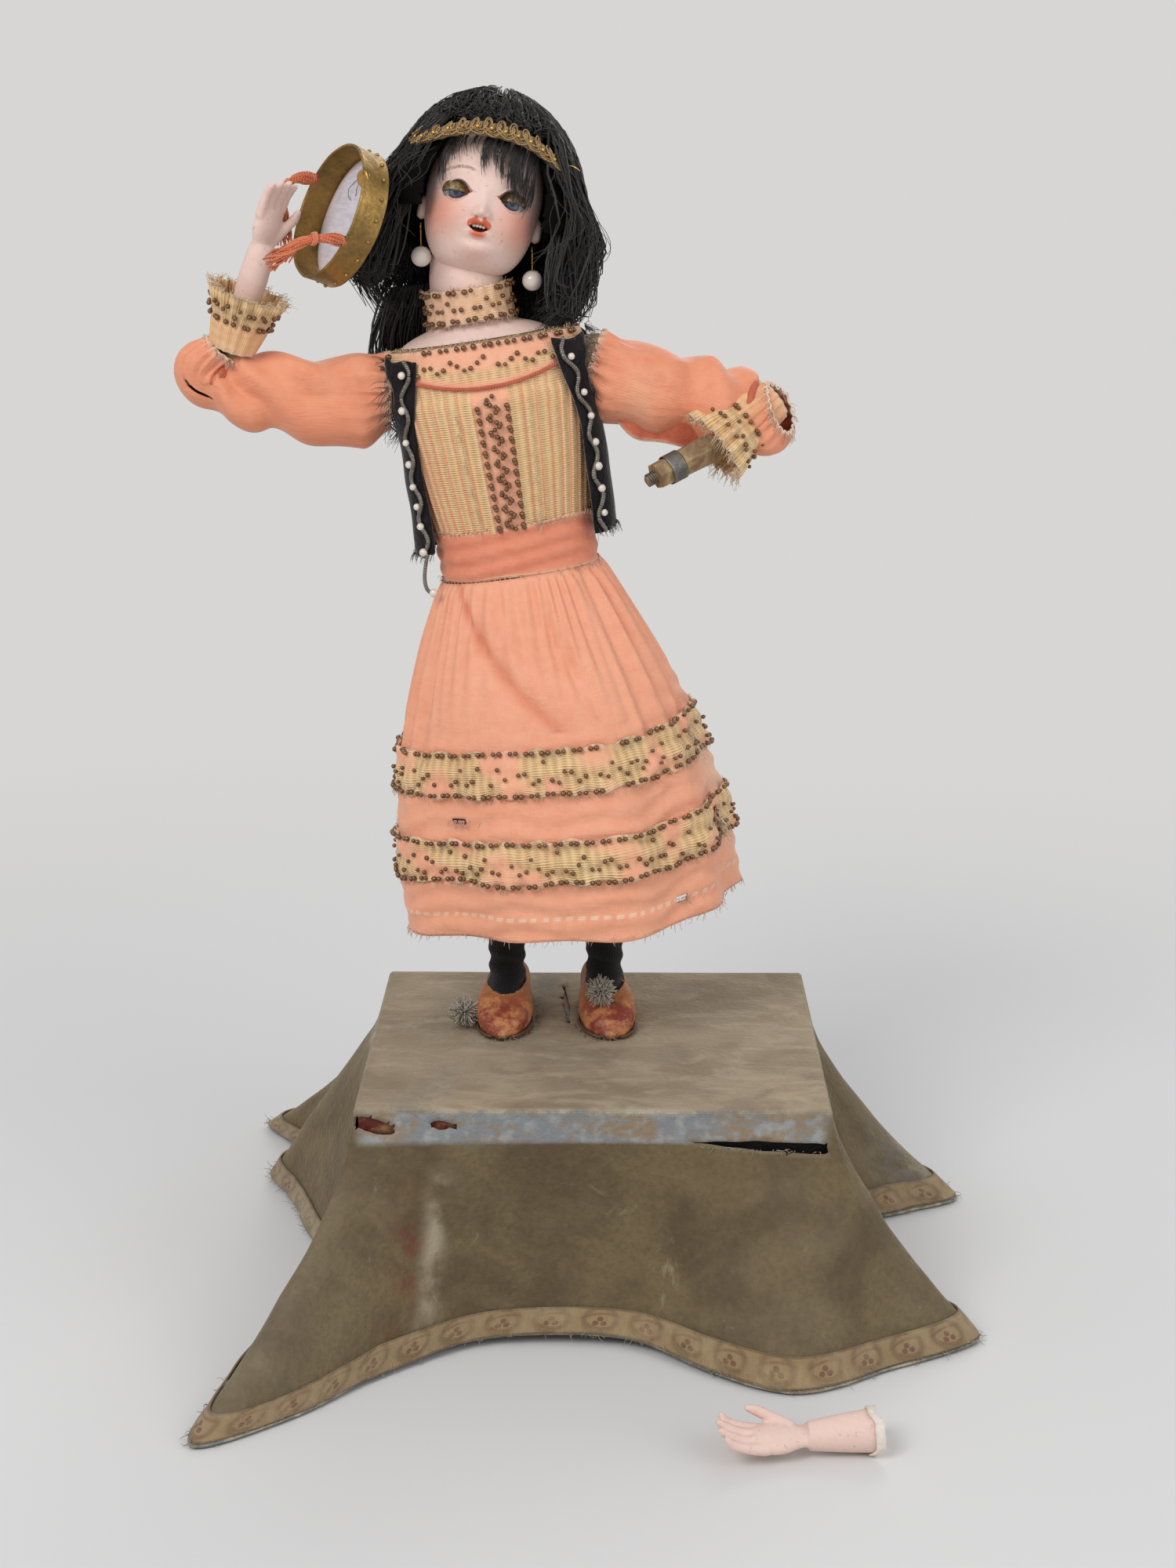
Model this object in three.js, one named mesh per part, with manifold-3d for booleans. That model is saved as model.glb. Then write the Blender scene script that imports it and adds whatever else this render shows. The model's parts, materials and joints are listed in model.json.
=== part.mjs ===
// Musical automaton doll: a bisque-headed dancer with a tambourine, standing on a
// velvet-draped wooden case that holds the clockwork. Millimetres, +Z up, front faces -Y.
// The origin is the middle of the case's underside.
import * as THREE from 'three';
import { mergeVertices } from 'three/addons/utils/BufferGeometryUtils.js';
import Module from 'manifold-3d';

const wasm = await Module();
wasm.setup();

// Clearances and overruns
const seatGap = 0.3;
const runGap = 0.5;
const swingGap = 1.2;
const cutOverrun = 6;

// Case
const baseWidth = 205;
const baseDepth = 173;
const baseHeight = 105;
const clothThickness = 1.5;
const lidThickness = 13;
const floorThickness = 8;
const wallThickness = 8;
const trimWidth = 16;
const trimThickness = 1.2;
const edgeRound = 1.5;
const tearLength = 40;
const tearHeight = 3;

// Clockwork
const toothModule = 1.2;
const gearThickness = 3;
const barrelTeeth = 36;
const pinionTeeth = 12;
const cylinderTeeth = 24;
const flyTeeth = 6;
const plateThickness = 3;
const plateHeight = 68;
const plateDepth = 100;
const plateLeftX = -64;
const plateRightX = 62;
const bedThickness = 4;
const bedMargin = 6;
const axleHeight = 42;
const barrelAxleY = 26;
const flyLift = 50;
const arborRadius = 3;
const ratchetRadius = 7;
const wheelX = -33;
const barrelRadius = 16;
const barrelLength = 21;
const cylinderRadius = 10;
const cylinderLength = 38;
const cylinderShaftRadius = 2;
const pinHeight = 0.8;
const flyShaftRadius = 1.5;
const flySpan = 6.5;
const camRadius = 7;
const camLobe = 4;
const camThickness = 3;
const combLength = 26;
const combThickness = 1;
const combTeeth = 10;
const keySpan = 24;
const keyThickness = 3;
const leverWidth = 5;
const leverShaftRadius = 2;
const leverShaftY = -40;
const leverHeight = 76;
const rodRadius = 1.5;

// Figure
const figureY = 28;
const legX = -18.4;
const legSpread = 45.8;
const legRadius = 8.7;
const pegRadius = 5.5;
const hipHeight = 218;
const hipPinRadius = 2.5;
const hipPinOverhang = 8;
const pelvisWidth = 64;
const pelvisDepth = 24;
const pelvisHeight = 24;
const bodyLean = 8.5;
const shoeLength = 62;
const shoeWidth = 26;
const shoeHeight = 17;
const pompomRadius = 7;
const cheekDepth = 5;
const torsoWidth = 66;
const torsoDepth = 46;
const bodyHeight = 232;
const neckRadius = 13;
const neckX = -4;
const shoulderDrop = 17.3;
const shoulderHalf = 46;
const shoulderBall = 13;
const dressThickness = 1.2;
const sashBottom = 102;
const sashHeight = 22;
const skirtBottom = -58;
const skirtWidth = 153;
const skirtDepth = 128;
const skirtThickness = 1.6;
const hemLift = 4;
const bandHeight = 20;
const collarHeight = 15;
const collarRadius = 19.5;
const vestThickness = 2;
const vestOverlap = 8;

// Head
const headWidth = 50;
const headDepth = 56;
const headHeight = 68;
const headWall = 3;
const headRise = 35.4;
const headShift = 10;
const headBack = -2;
const headRoll = 11.5;
const headPitch = -13;
const headYaw = 3;
const nodBall = 7;
const eyeRadius = 6;
const eyeSpacing = 24;
const eyeLift = -4.6;
const hairThickness = 11;
const hairSpread = 13;
const hairFallDepth = 7;
const hairDrop = 76;
const earHeight = 11.5;
const earringDrop = 13.5;
const bandThickness = 1.4;
const headbandHeight = 7;
const pearlRadius = 4.25;
const wireRadius = 0.5;

// Arms
const armRadius = 6.5;
const upperArmLength = 72;
const forearmLength = 64;
const handSize = 38;
const sleeveRadius = 17;
const cuffRadius = 15;
const stumpWidth = 12;
const stumpLength = 30;
const drumRadius = 29.5;
const drumDepth = 12.5;
const drumWall = 1;
const skinThickness = 0.6;
const jingleRing = 3.2;
const jingleHole = 1.3;
const tasselRadius = 4.4;
const tasselHole = 2.2;
const handLength = 68;
const looseHandX = 86;
const looseHandY = -186;

const paint = (color, roughness, metalness = 0) =>
  new THREE.MeshStandardMaterial({ color, roughness, metalness });
const redPaint = paint(0x7c2a22, 0.6);
const oldWood = paint(0x9c7448, 0.75);
const velvet = paint(0x6b5f48, 0.95);
const galloon = paint(0x8a6d48, 0.85);
const brass = paint(0xb08d4a, 0.35, 1);
const steel = paint(0x8f9294, 0.35, 1);
const iron = paint(0x3c3c3e, 0.6, 0.8);
const stocking = paint(0x151414, 0.9);
const leather = paint(0xb5683a, 0.7);
const silk = paint(0xb9b3a4, 0.9);
const satin = paint(0xeb9a78, 0.5);
const ribbon = paint(0xdba866, 0.6);
const blackVelvet = paint(0x1b1719, 0.95);
const bisque = paint(0xe8c3b4, 0.5);
const mohair = paint(0x0d0c0d, 0.6);
const parchment = paint(0xd6d4d4, 0.7);
const yarn = paint(0xd9784a, 0.9);
const eyeGlass = paint(0x5d6a70, 0.15);
const pearl = paint(0xe9ddd0, 0.25);

const radians = THREE.MathUtils.degToRad;
const point = (x, y, z) => new THREE.Vector3(x, y, z);
const upward = point(0, 0, 1);
const turn = (share) => share * Math.PI * 2;
const weldDistance = 1e-4;

// Joining and cutting of closed solids
function solidOf(geometry) {
  const bare = geometry.clone();
  bare.deleteAttribute('normal');
  bare.deleteAttribute('uv');
  const merged = mergeVertices(bare, weldDistance);
  const from = merged.index.array;
  const index = [];
  for (let i = 0; i < from.length; i += 3) {
    const [a, b, c] = [from[i], from[i + 1], from[i + 2]];
    if (a !== b && b !== c && c !== a) index.push(a, b, c);
  }
  return new wasm.Manifold(new wasm.Mesh({
    numProp: 3,
    vertProperties: Float32Array.from(merged.attributes.position.array),
    triVerts: Uint32Array.from(index),
  }));
}

function geometryOf(solid) {
  const mesh = solid.getMesh();
  const geometry = new THREE.BufferGeometry();
  geometry.setAttribute('position', new THREE.Float32BufferAttribute(mesh.vertProperties, 3));
  geometry.setIndex(Array.from(mesh.triVerts));
  geometry.computeVertexNormals();
  return geometry;
}

const cut = (body, ...tools) =>
  geometryOf(tools.reduce((solid, tool) => solid.subtract(solidOf(tool)), solidOf(body)));
const join = (body, ...others) =>
  geometryOf(others.reduce((solid, other) => solid.add(solidOf(other)), solidOf(body)));

// A mesh from rows of points: closed round each row, and closed by fans or by a second skin
function meshOf(points, index) {
  const geometry = new THREE.BufferGeometry();
  const places = points.flatMap((p) => [p.x, p.y, p.z]);
  geometry.setAttribute('position', new THREE.Float32BufferAttribute(places, 3));
  let volume = 0;
  for (let i = 0; i < index.length; i += 3) {
    const [a, b, c] = [points[index[i]], points[index[i + 1]], points[index[i + 2]]];
    volume += a.dot(b.clone().cross(c));
  }
  geometry.setIndex(volume > 0 ? index : index.reverse());
  geometry.computeVertexNormals();
  return geometry;
}

const middleOf = (row) => row.reduce((sum, p) => sum.add(p), point(0, 0, 0)).divideScalar(row.length);

// Quads between rows of equal length, open or closed round each row
function strips(rows, first, wrap, flip) {
  const index = [];
  const count = rows[0].length;
  for (let r = 0; r + 1 < rows.length; r += 1) {
    for (let s = 0; s < (wrap ? count : count - 1); s += 1) {
      const a = first + r * count + s;
      const b = first + r * count + (s + 1) % count;
      const quad = [a, b, b + count, a, b + count, a + count];
      index.push(...(flip ? quad.reverse() : quad));
    }
  }
  return index;
}

// A closed solid through rings of points, with a fan over each end
function loft(rings) {
  const count = rings[0].length;
  const points = [...rings.flat(), middleOf(rings[0]), middleOf(rings.at(-1))];
  const index = strips(rings, 0, true, false);
  const last = (rings.length - 1) * count;
  for (let s = 0; s < count; s += 1) {
    const next = (s + 1) % count;
    index.push(points.length - 2, next, s, points.length - 1, last + s, last + next);
  }
  return meshOf(points, index);
}

// A thin closed shell between two skins with the same rows, open at both ends, or capped at the first
function shell(outer, inner, { wrap = true, capped = false } = {}) {
  const count = outer[0].length;
  const size = outer.length * count;
  const points = [...outer.flat(), ...inner.flat()];
  const index = [...strips(outer, 0, wrap, false), ...strips(inner, size, wrap, true)];
  const seam = (a, b) => index.push(b, a, size + a, b, size + a, size + b);
  const spans = wrap ? count : count - 1;
  const last = size - count;
  for (let s = 0; s < spans; s += 1) {
    const next = (s + 1) % count;
    seam(last + next, last + s);
    if (!capped) seam(s, next);
  }
  if (!wrap) {
    for (let r = 0; r + 1 < outer.length; r += 1) {
      seam((r + 1) * count, r * count);
      seam(r * count + count - 1, (r + 1) * count + count - 1);
    }
  }
  if (capped) {
    points.push(middleOf(outer[0]), middleOf(inner[0]));
    for (let s = 0; s < count; s += 1) {
      const next = (s + 1) % count;
      index.push(points.length - 2, next, s, points.length - 1, size + s, size + next);
    }
  }
  return meshOf(points, index);
}

// The skin that lies a given distance inside another, moved along the skin's own normals
function inset(rows, distance, wrap = true) {
  const count = rows[0].length;
  const centre = middleOf(rows.flat());
  const normals = rows.map((row, r) => row.map((p, s) => {
    const before = wrap ? row[(s + count - 1) % count] : row[Math.max(s - 1, 0)];
    const after = wrap ? row[(s + 1) % count] : row[Math.min(s + 1, count - 1)];
    const down = rows[Math.min(r + 1, rows.length - 1)][s].clone().sub(rows[Math.max(r - 1, 0)][s]);
    return after.clone().sub(before).cross(down).normalize();
  }));
  const way = Math.sign(rows.flat().reduce(
    (sum, p, i) => sum + p.clone().sub(centre).dot(normals[Math.floor(i / count)][i % count]), 0));
  return rows.map((row, r) => row.map((p, s) => p.clone().addScaledVector(normals[r][s], -distance * way)));
}

// An ellipse of points square to an axis, with softened corners where roundness is below 1
function ring(centre, half, depth, sides, roundness = 1) {
  return Array.from({ length: sides }, (_, i) => {
    const angle = turn(i / sides);
    const [c, s] = [Math.cos(angle), Math.sin(angle)];
    return point(
      centre.x + half * Math.sign(c) * Math.abs(c) ** roundness,
      centre.y + depth * Math.sign(s) * Math.abs(s) ** roundness,
      centre.z,
    );
  });
}

// Rings carried along a line of points, each square to the line
function ringsAlong(path, radii, sides, flatness = 1, across = point(0, 1, 0)) {
  return path.map((at, i) => {
    const way = path[Math.min(i + 1, path.length - 1)].clone().sub(path[Math.max(i - 1, 0)]).normalize();
    const side = across.clone().addScaledVector(way, -across.dot(way)).normalize();
    const other = way.clone().cross(side);
    return Array.from({ length: sides }, (_, s) => at.clone()
      .addScaledVector(side, radii[i] * Math.cos(turn(s / sides)))
      .addScaledVector(other, radii[i] * flatness * Math.sin(turn(s / sides))));
  });
}

const tube = (path, radii, sides, flatness, across) => loft(ringsAlong(path, radii, sides, flatness, across));
const between = (a, b, share) => a.clone().lerp(b, share);

function box(x0, x1, y0, y1, z0, z1) {
  return new THREE.BoxGeometry(x1 - x0, y1 - y0, z1 - z0)
    .translate((x0 + x1) / 2, (y0 + y1) / 2, (z0 + z1) / 2);
}

const roundSides = 12;
const bar = (radius, length, sides = roundSides) => new THREE.CylinderGeometry(radius, radius, length, sides);
const barX = (radius, x0, x1, y, z, sides) =>
  bar(radius, x1 - x0, sides).rotateZ(Math.PI / 2).translate((x0 + x1) / 2, y, z);
const barY = (radius, x, y0, y1, z, sides) => bar(radius, y1 - y0, sides).translate(x, (y0 + y1) / 2, z);
const barZ = (radius, x, y, z0, z1, sides) =>
  bar(radius, z1 - z0, sides).rotateX(Math.PI / 2).translate(x, y, (z0 + z1) / 2);
const ball = (radius, at, wide = 14, high = 10) =>
  new THREE.SphereGeometry(radius, wide, high).translate(at.x, at.y, at.z);

const model = new THREE.Group();
const torso = new THREE.Group();
const head = new THREE.Group();
model.add(torso);

function piece(name, geometry, material, parent = model) {
  const mesh = new THREE.Mesh(geometry, material);
  mesh.name = name;
  parent.add(mesh);
  return mesh;
}

// Case: a lid and a floor with four walls between them, under the velvet
const skinGap = clothThickness + seatGap;
const caseHalfX = baseWidth / 2 - skinGap;
const caseHalfY = baseDepth / 2 - skinGap;
const lidTop = baseHeight - skinGap;
const lidBottom = lidTop - lidThickness;
const legs = [legX - legSpread / 2, legX + legSpread / 2];
const legNames = ['right', 'left'];
const pegHole = (x, z0, z1) => barZ(pegRadius + seatGap, x, figureY, z0 - cutOverrun, z1 + cutOverrun);
const keyAt = { y: barrelAxleY, z: axleHeight };

piece('top_board', cut(box(-caseHalfX, caseHalfX, -caseHalfY, caseHalfY, lidBottom, lidTop),
  ...legs.map((x) => pegHole(x, lidBottom, lidTop))), redPaint);
piece('bottom_board', box(-caseHalfX, caseHalfX, -caseHalfY, caseHalfY, 0, floorThickness), oldWood);
const wallBox = (x0, x1, y0, y1) => box(x0, x1, y0, y1, floorThickness, lidBottom);
const innerHalfY = caseHalfY - wallThickness;
piece('case_front', wallBox(-caseHalfX, caseHalfX, -caseHalfY, -innerHalfY), redPaint);
piece('case_back', wallBox(-caseHalfX, caseHalfX, innerHalfY, caseHalfY), redPaint);
piece('case_right_side', cut(
  wallBox(-caseHalfX, wallThickness - caseHalfX, -innerHalfY, innerHalfY),
  barX(arborRadius + runGap, -caseHalfX - cutOverrun, wallThickness - caseHalfX + cutOverrun, keyAt.y, keyAt.z),
), redPaint);
piece('case_left_side', wallBox(caseHalfX - wallThickness, caseHalfX, -innerHalfY, innerHalfY), redPaint);

// Velvet: a cloth over the lid that falls to the floor in long pointed corners.
// Each station is [share round the lid's edge, sideways share, depthwise share, height share, belly share];
// places are shares of half the base's width and depth, heights of the base's height.
const drapeShares = [
  [0.000, -0.10, -1.17, 0.045, 0.10], [0.050, 0.20, -1.22, 0.035, 0.10], [0.095, 0.50, -1.42, 0.020, 0.15],
  [0.135, 0.84, -1.56, 0.006, 0.30], [0.158, 1.20, -1.40, 0.004, 0.40], [0.172, 1.64, -1.08, 0.003, 0.45],
  [0.186, 1.52, -0.86, 0.006, 0.20], [0.215, 1.33, -0.60, 0.006, 0.20], [0.250, 1.40, -0.42, 0.003, 0.45],
  [0.275, 1.36, -0.12, 0.004, 0.40], [0.300, 1.22, 0.16, 0.012, 0.25], [0.330, 1.50, 0.36, 0.004, 0.25],
  [0.352, 1.74, 0.56, 0.003, 0.30], [0.372, 1.46, 0.92, 0.006, 0.25], [0.400, 1.10, 1.26, 0.006, 0.25],
  [0.450, 0.56, 1.22, 0.012, 0.15], [0.500, 0.10, 1.16, 0.020, 0.12], [0.560, -0.44, 1.26, 0.010, 0.20],
  [0.610, -0.90, 1.42, 0.004, 0.35], [0.640, -1.34, 1.62, 0.003, 0.35], [0.662, -1.68, 1.56, 0.003, 0.40],
  [0.690, -1.50, 1.16, 0.005, 0.50], [0.720, -1.60, 0.84, 0.003, 0.75], [0.748, -1.48, 0.54, 0.005, 0.75],
  [0.775, -1.36, 0.16, 0.008, 0.50], [0.805, -1.24, -0.28, 0.010, 0.20], [0.830, -1.28, -0.80, 0.010, 0.20],
  [0.850, -1.52, -1.70, 0.004, 0.25], [0.862, -1.54, -2.10, 0.003, 0.25], [0.878, -1.20, -1.88, 0.003, 0.20],
  [0.905, -0.84, -1.46, 0.010, 0.15], [0.945, -0.50, -1.18, 0.030, 0.10],
];
const drapeColumns = 48;
const fallShares = [0.13, 0.32, 0.52, 0.72, 0.88, 1];

// The lid's edge as a loop that starts at the middle of its front
const lidStops = [0, 0.164, 0.364, 0.636, 0.856, 1];
function lidEdge(share, grow, z) {
  const [a, b] = [baseWidth / 2 + grow, baseDepth / 2 + grow];
  const corners = [[0, -b], [a, -b], [a, b], [-a, b], [-a, -b], [0, -b]];
  const leg = lidStops.findIndex((stop) => share < stop);
  const along = (share - lidStops[leg - 1]) / (lidStops[leg] - lidStops[leg - 1]);
  const [from, to] = [corners[leg - 1], corners[leg]];
  return point(from[0] + (to[0] - from[0]) * along, from[1] + (to[1] - from[1]) * along, z);
}

const hemCurve = new THREE.CatmullRomCurve3(drapeShares.map(([, x, y, z]) =>
  point(x * baseWidth / 2, y * baseDepth / 2, z * baseHeight)), true, 'centripetal');
const bellyCurve = new THREE.CatmullRomCurve3(drapeShares.map((row) => point(row[4], 0, 0)), true);

// Each column's place round the lid's edge, with the nearest column moved to each corner
const columnShares = Array.from({ length: drapeColumns }, (_, i) => {
  const at = i / drapeColumns * drapeShares.length;
  const station = Math.floor(at);
  const nextShare = station + 1 < drapeShares.length ? drapeShares[station + 1][0] : 1;
  return drapeShares[station][0] + (nextShare - drapeShares[station][0]) * (at - station);
});
lidStops.slice(1, 5).forEach((stop) => {
  const away = columnShares.map((share) => Math.abs(share - stop));
  columnShares[away.indexOf(Math.min(...away))] = stop;
});

function drapeColumn(i) {
  const at = i / drapeColumns;
  const hem = hemCurve.getPoint(at);
  hem.z = Math.max(hem.z, 0);
  const edge = lidEdge(columnShares[i], 0, baseHeight - edgeRound);
  const belly = Math.max(bellyCurve.getPoint(at).x, 0);
  const fall = fallShares.map((down) => {
    const out = down ** (2.1 - 1.5 * belly);
    const place = edge.clone().lerp(hem, out);
    place.z = edge.z + (hem.z - edge.z) * down;
    return place;
  });
  return [lidEdge(columnShares[i], -edgeRound, baseHeight), edge, ...fall];
}

const columns = Array.from({ length: drapeColumns }, (_, i) => drapeColumn(i));
const drapeRows = columns[0].map((_, r) => columns.map((column) => column[r]));
const drapeLining = inset(drapeRows, clothThickness).map((row, r) => row.map((p, i) => (r < 2
  ? lidEdge(columnShares[i], -clothThickness, baseHeight - (r ? clothThickness * 2 : clothThickness))
  : point(p.x, p.y, Math.max(p.z, 0)))));
const tearAt = { x: baseWidth * 0.37, z: lidBottom };
piece('velvet_drape', cut(shell(drapeRows, drapeLining, { capped: true }),
  ...legs.map((x) => barZ(pegRadius + seatGap, x, figureY, lidTop, baseHeight + cutOverrun)),
  box(tearAt.x - tearLength / 2, tearAt.x + tearLength / 2, -baseDepth / 2 - cutOverrun, -caseHalfY,
    tearAt.z - tearHeight, tearAt.z),
  box(-caseHalfX - seatGap, caseHalfX + seatGap, -caseHalfY - seatGap, caseHalfY + seatGap,
    -cutOverrun, lidBottom),
), velvet);

// Galloon along the hem, on the outside of the velvet
function trimRow(share) {
  return columns.map((column) => {
    const hem = column.at(-1);
    const above = column.at(-2);
    const reach = Math.min(trimWidth / hem.distanceTo(above), 1);
    return between(hem, above, share * reach);
  });
}
const trimSkin = [1, 0.12].map(trimRow);
const trimOuter = inset(trimSkin, -seatGap - trimThickness)
  .map((row) => row.map((p) => point(p.x, p.y, Math.max(p.z, 0))));
const trimInner = inset(trimSkin, -seatGap);
piece('braid_trim', cut(shell(trimOuter, trimInner), shell(drapeRows, drapeLining, { capped: true })), galloon);

// Clockwork: an iron bed with two plates, the spring barrel, the music cylinder with its cams, and the fly
const bedTop = floorThickness + bedThickness;
const plateTop = bedTop + plateHeight;
const pitchRadius = (teeth) => teeth * toothModule / 2;
const cylinderAxleY = barrelAxleY - pitchRadius(barrelTeeth) - pitchRadius(pinionTeeth);
const flyReach = pitchRadius(cylinderTeeth) + pitchRadius(flyTeeth) + seatGap / 2;
const flyAxle = {
  y: cylinderAxleY + flyReach * Math.cos(radians(flyLift)),
  z: axleHeight + flyReach * Math.sin(radians(flyLift)),
};
const trainX = plateRightX - plateThickness - gearThickness - runGap;

// Toothed wheel, its teeth narrower than the gaps; phase turns it so a gap or a tooth meets its mate
function gear(teeth, x0, thickness, y, z, phase, bore) {
  const pitch = pitchRadius(teeth);
  const outline = new THREE.Shape();
  const stops = [[-0.27, -1.2], [-0.14, 0.85], [0.14, 0.85], [0.27, -1.2]];
  for (let i = 0; i < teeth; i += 1) {
    stops.forEach(([share, rise], k) => {
      const angle = phase + turn((i + share) / teeth);
      const reach = pitch + rise * toothModule;
      const draw = i + k === 0 ? 'moveTo' : 'lineTo';
      outline[draw](reach * Math.cos(angle), reach * Math.sin(angle));
    });
  }
  if (bore) outline.holes.push(new THREE.Path().absarc(0, 0, bore, 0, turn(1), true));
  return new THREE.ExtrudeGeometry(outline, { depth: thickness, bevelEnabled: false, curveSegments: 8 })
    .rotateY(Math.PI / 2).rotateX(Math.PI / 2).translate(x0, y, z);
}

const axleHole = (radius, x, y, z) =>
  barX(radius + runGap, x - cutOverrun, x + plateThickness + cutOverrun, y, z);
function plate(x, ...holes) {
  return cut(box(x, x + plateThickness, -plateDepth / 2, plateDepth / 2, bedTop, plateTop),
    ...holes.map(([radius, y, z]) => axleHole(radius, x, y, z)));
}
piece('right_plate', plate(plateLeftX, [arborRadius, barrelAxleY, axleHeight],
  [cylinderShaftRadius, cylinderAxleY, axleHeight]), brass);
const insideLeft = plateLeftX + plateThickness;
const insideRight = plateRightX - plateThickness;
const flyStart = insideRight - combLength;
const flySides = [flyAxle.y - leverWidth, flyAxle.y + leverWidth];
const flyBearing = cut(join(
  box(flyStart, flyStart + plateThickness, ...flySides, flyAxle.z - leverWidth, plateTop),
  box(flyStart, insideRight + runGap, ...flySides, plateTop - plateThickness, plateTop),
), axleHole(flyShaftRadius, flyStart, flyAxle.y, flyAxle.z));
piece('left_plate', join(plate(insideRight, [arborRadius, barrelAxleY, axleHeight],
  [cylinderShaftRadius, cylinderAxleY, axleHeight], [cylinderShaftRadius, flyAxle.y, flyAxle.z]), flyBearing,
  barX(leverShaftRadius, insideLeft + seatGap, insideRight + runGap, leverShaftY, leverHeight, 12)), brass);

piece('spring_barrel', cut(join(
  barX(barrelRadius, wheelX - barrelLength, wheelX + runGap, barrelAxleY, axleHeight, 18),
  gear(barrelTeeth, wheelX, gearThickness, barrelAxleY, axleHeight, 0, 0),
), barX(arborRadius + seatGap, wheelX - barrelLength - cutOverrun, wheelX + gearThickness + cutOverrun,
  barrelAxleY, axleHeight)), brass);
const keyStart = -caseHalfX - keySpan * 0.8;
piece('winding_arbor', join(
  barX(arborRadius, keyStart + keySpan * 0.5, plateRightX + runGap, barrelAxleY, axleHeight),
  barX(ratchetRadius, plateLeftX - plateThickness - runGap, plateLeftX - runGap, barrelAxleY, axleHeight, 12),
), steel);
piece('winding_key', cut(join(
  barX(arborRadius * 1.8, keyStart + keySpan * 0.3, -caseHalfX - runGap * 4, keyAt.y, keyAt.z),
  box(keyStart, keyStart + keySpan * 0.5, keyAt.y - keySpan / 2, keyAt.y + keySpan / 2,
    keyAt.z - keyThickness / 2, keyAt.z + keyThickness / 2),
), barX(arborRadius + seatGap, keyStart + keySpan * 0.45, -caseHalfX + cutOverrun, keyAt.y, keyAt.z)), iron);

const halfTooth = (teeth) => Math.PI / teeth;
const combX = insideRight - gearThickness - cylinderLength - runGap * 6;
const cylinderEnd = combX + cylinderLength;
const pinRows = 5;
function pins() {
  const found = [];
  for (let row = 0; row < pinRows; row += 1) {
    for (let column = row % 2; column < combTeeth; column += 4) {
      const angle = turn((row + 0.5) / pinRows);
      const reach = cylinderRadius + pinHeight / 2;
      found.push(new THREE.BoxGeometry(pinHeight, pinHeight, pinHeight * 2).rotateX(angle - Math.PI / 2)
        .translate(combX + cylinderLength * (column + 1) / (combTeeth + 1),
          cylinderAxleY + reach * Math.cos(angle), axleHeight + reach * Math.sin(angle)));
    }
  }
  return found;
}
const camSides = 16;
// A cam: a disc whose rim rises once a turn, the lobe's top at the rest pose under its follower
function cam(x) {
  const outline = Array.from({ length: camSides }, (_, i) => {
    const angle = turn(i / camSides);
    const reach = camRadius + camLobe * Math.max(Math.cos(angle), 0) ** 2;
    return new THREE.Vector2(reach * Math.sin(angle), reach * Math.cos(angle));
  });
  return new THREE.ExtrudeGeometry(new THREE.Shape(outline), { depth: camThickness, bevelEnabled: false })
    .rotateY(Math.PI / 2).rotateX(Math.PI / 2).translate(x - camThickness / 2, cylinderAxleY, axleHeight);
}
piece('music_cylinder', join(
  barX(cylinderRadius, combX, cylinderEnd, cylinderAxleY, axleHeight, 20),
  ...pins(),
  barX(cylinderShaftRadius, plateLeftX - runGap, plateRightX + runGap, cylinderAxleY, axleHeight, 12),
  gear(pinionTeeth, wheelX, gearThickness, cylinderAxleY, axleHeight, halfTooth(pinionTeeth), 0),
  gear(cylinderTeeth, trainX, gearThickness, cylinderAxleY, axleHeight, radians(flyLift), 0),
  ...legs.map(cam),
), brass);

piece('fly_governor', join(
  barX(flyShaftRadius, flyStart, plateRightX + runGap, flyAxle.y, flyAxle.z, 10),
  gear(flyTeeth, trainX, gearThickness, flyAxle.y, flyAxle.z,
    radians(flyLift) + Math.PI + halfTooth(flyTeeth), 0),
  box(flyStart + runGap * 8, trainX - runGap * 4, flyAxle.y - flySpan, flyAxle.y + flySpan,
    flyAxle.z - runGap, flyAxle.z + runGap),
), brass);

// Iron bed with the comb's block, and the steel comb, its teeth ending just short of the pins
const combTip = cylinderAxleY - cylinderRadius - pinHeight - runGap;
const combBack = combTip - combLength / 2;
const toothGap = cylinderLength / (combTeeth + 1);
piece('movement_bed', join(
  box(plateLeftX - bedMargin, plateRightX + bedMargin, -plateDepth / 2 - bedMargin,
    plateDepth / 2 + bedMargin, floorThickness, bedTop),
  box(combX, cylinderEnd, combBack - leverWidth / 2, combBack + leverWidth, bedTop - runGap, axleHeight),
), iron);
piece('music_comb', cut(
  box(combX, cylinderEnd, combBack - leverWidth / 2, combTip, axleHeight, axleHeight + combThickness),
  ...Array.from({ length: combTeeth }, (_, i) => box(
    combX + toothGap * (i + 1) - runGap / 2, combX + toothGap * (i + 1) + runGap / 2,
    combBack + leverWidth, combTip + cutOverrun, axleHeight - cutOverrun, axleHeight + cutOverrun)),
), steel);

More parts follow.
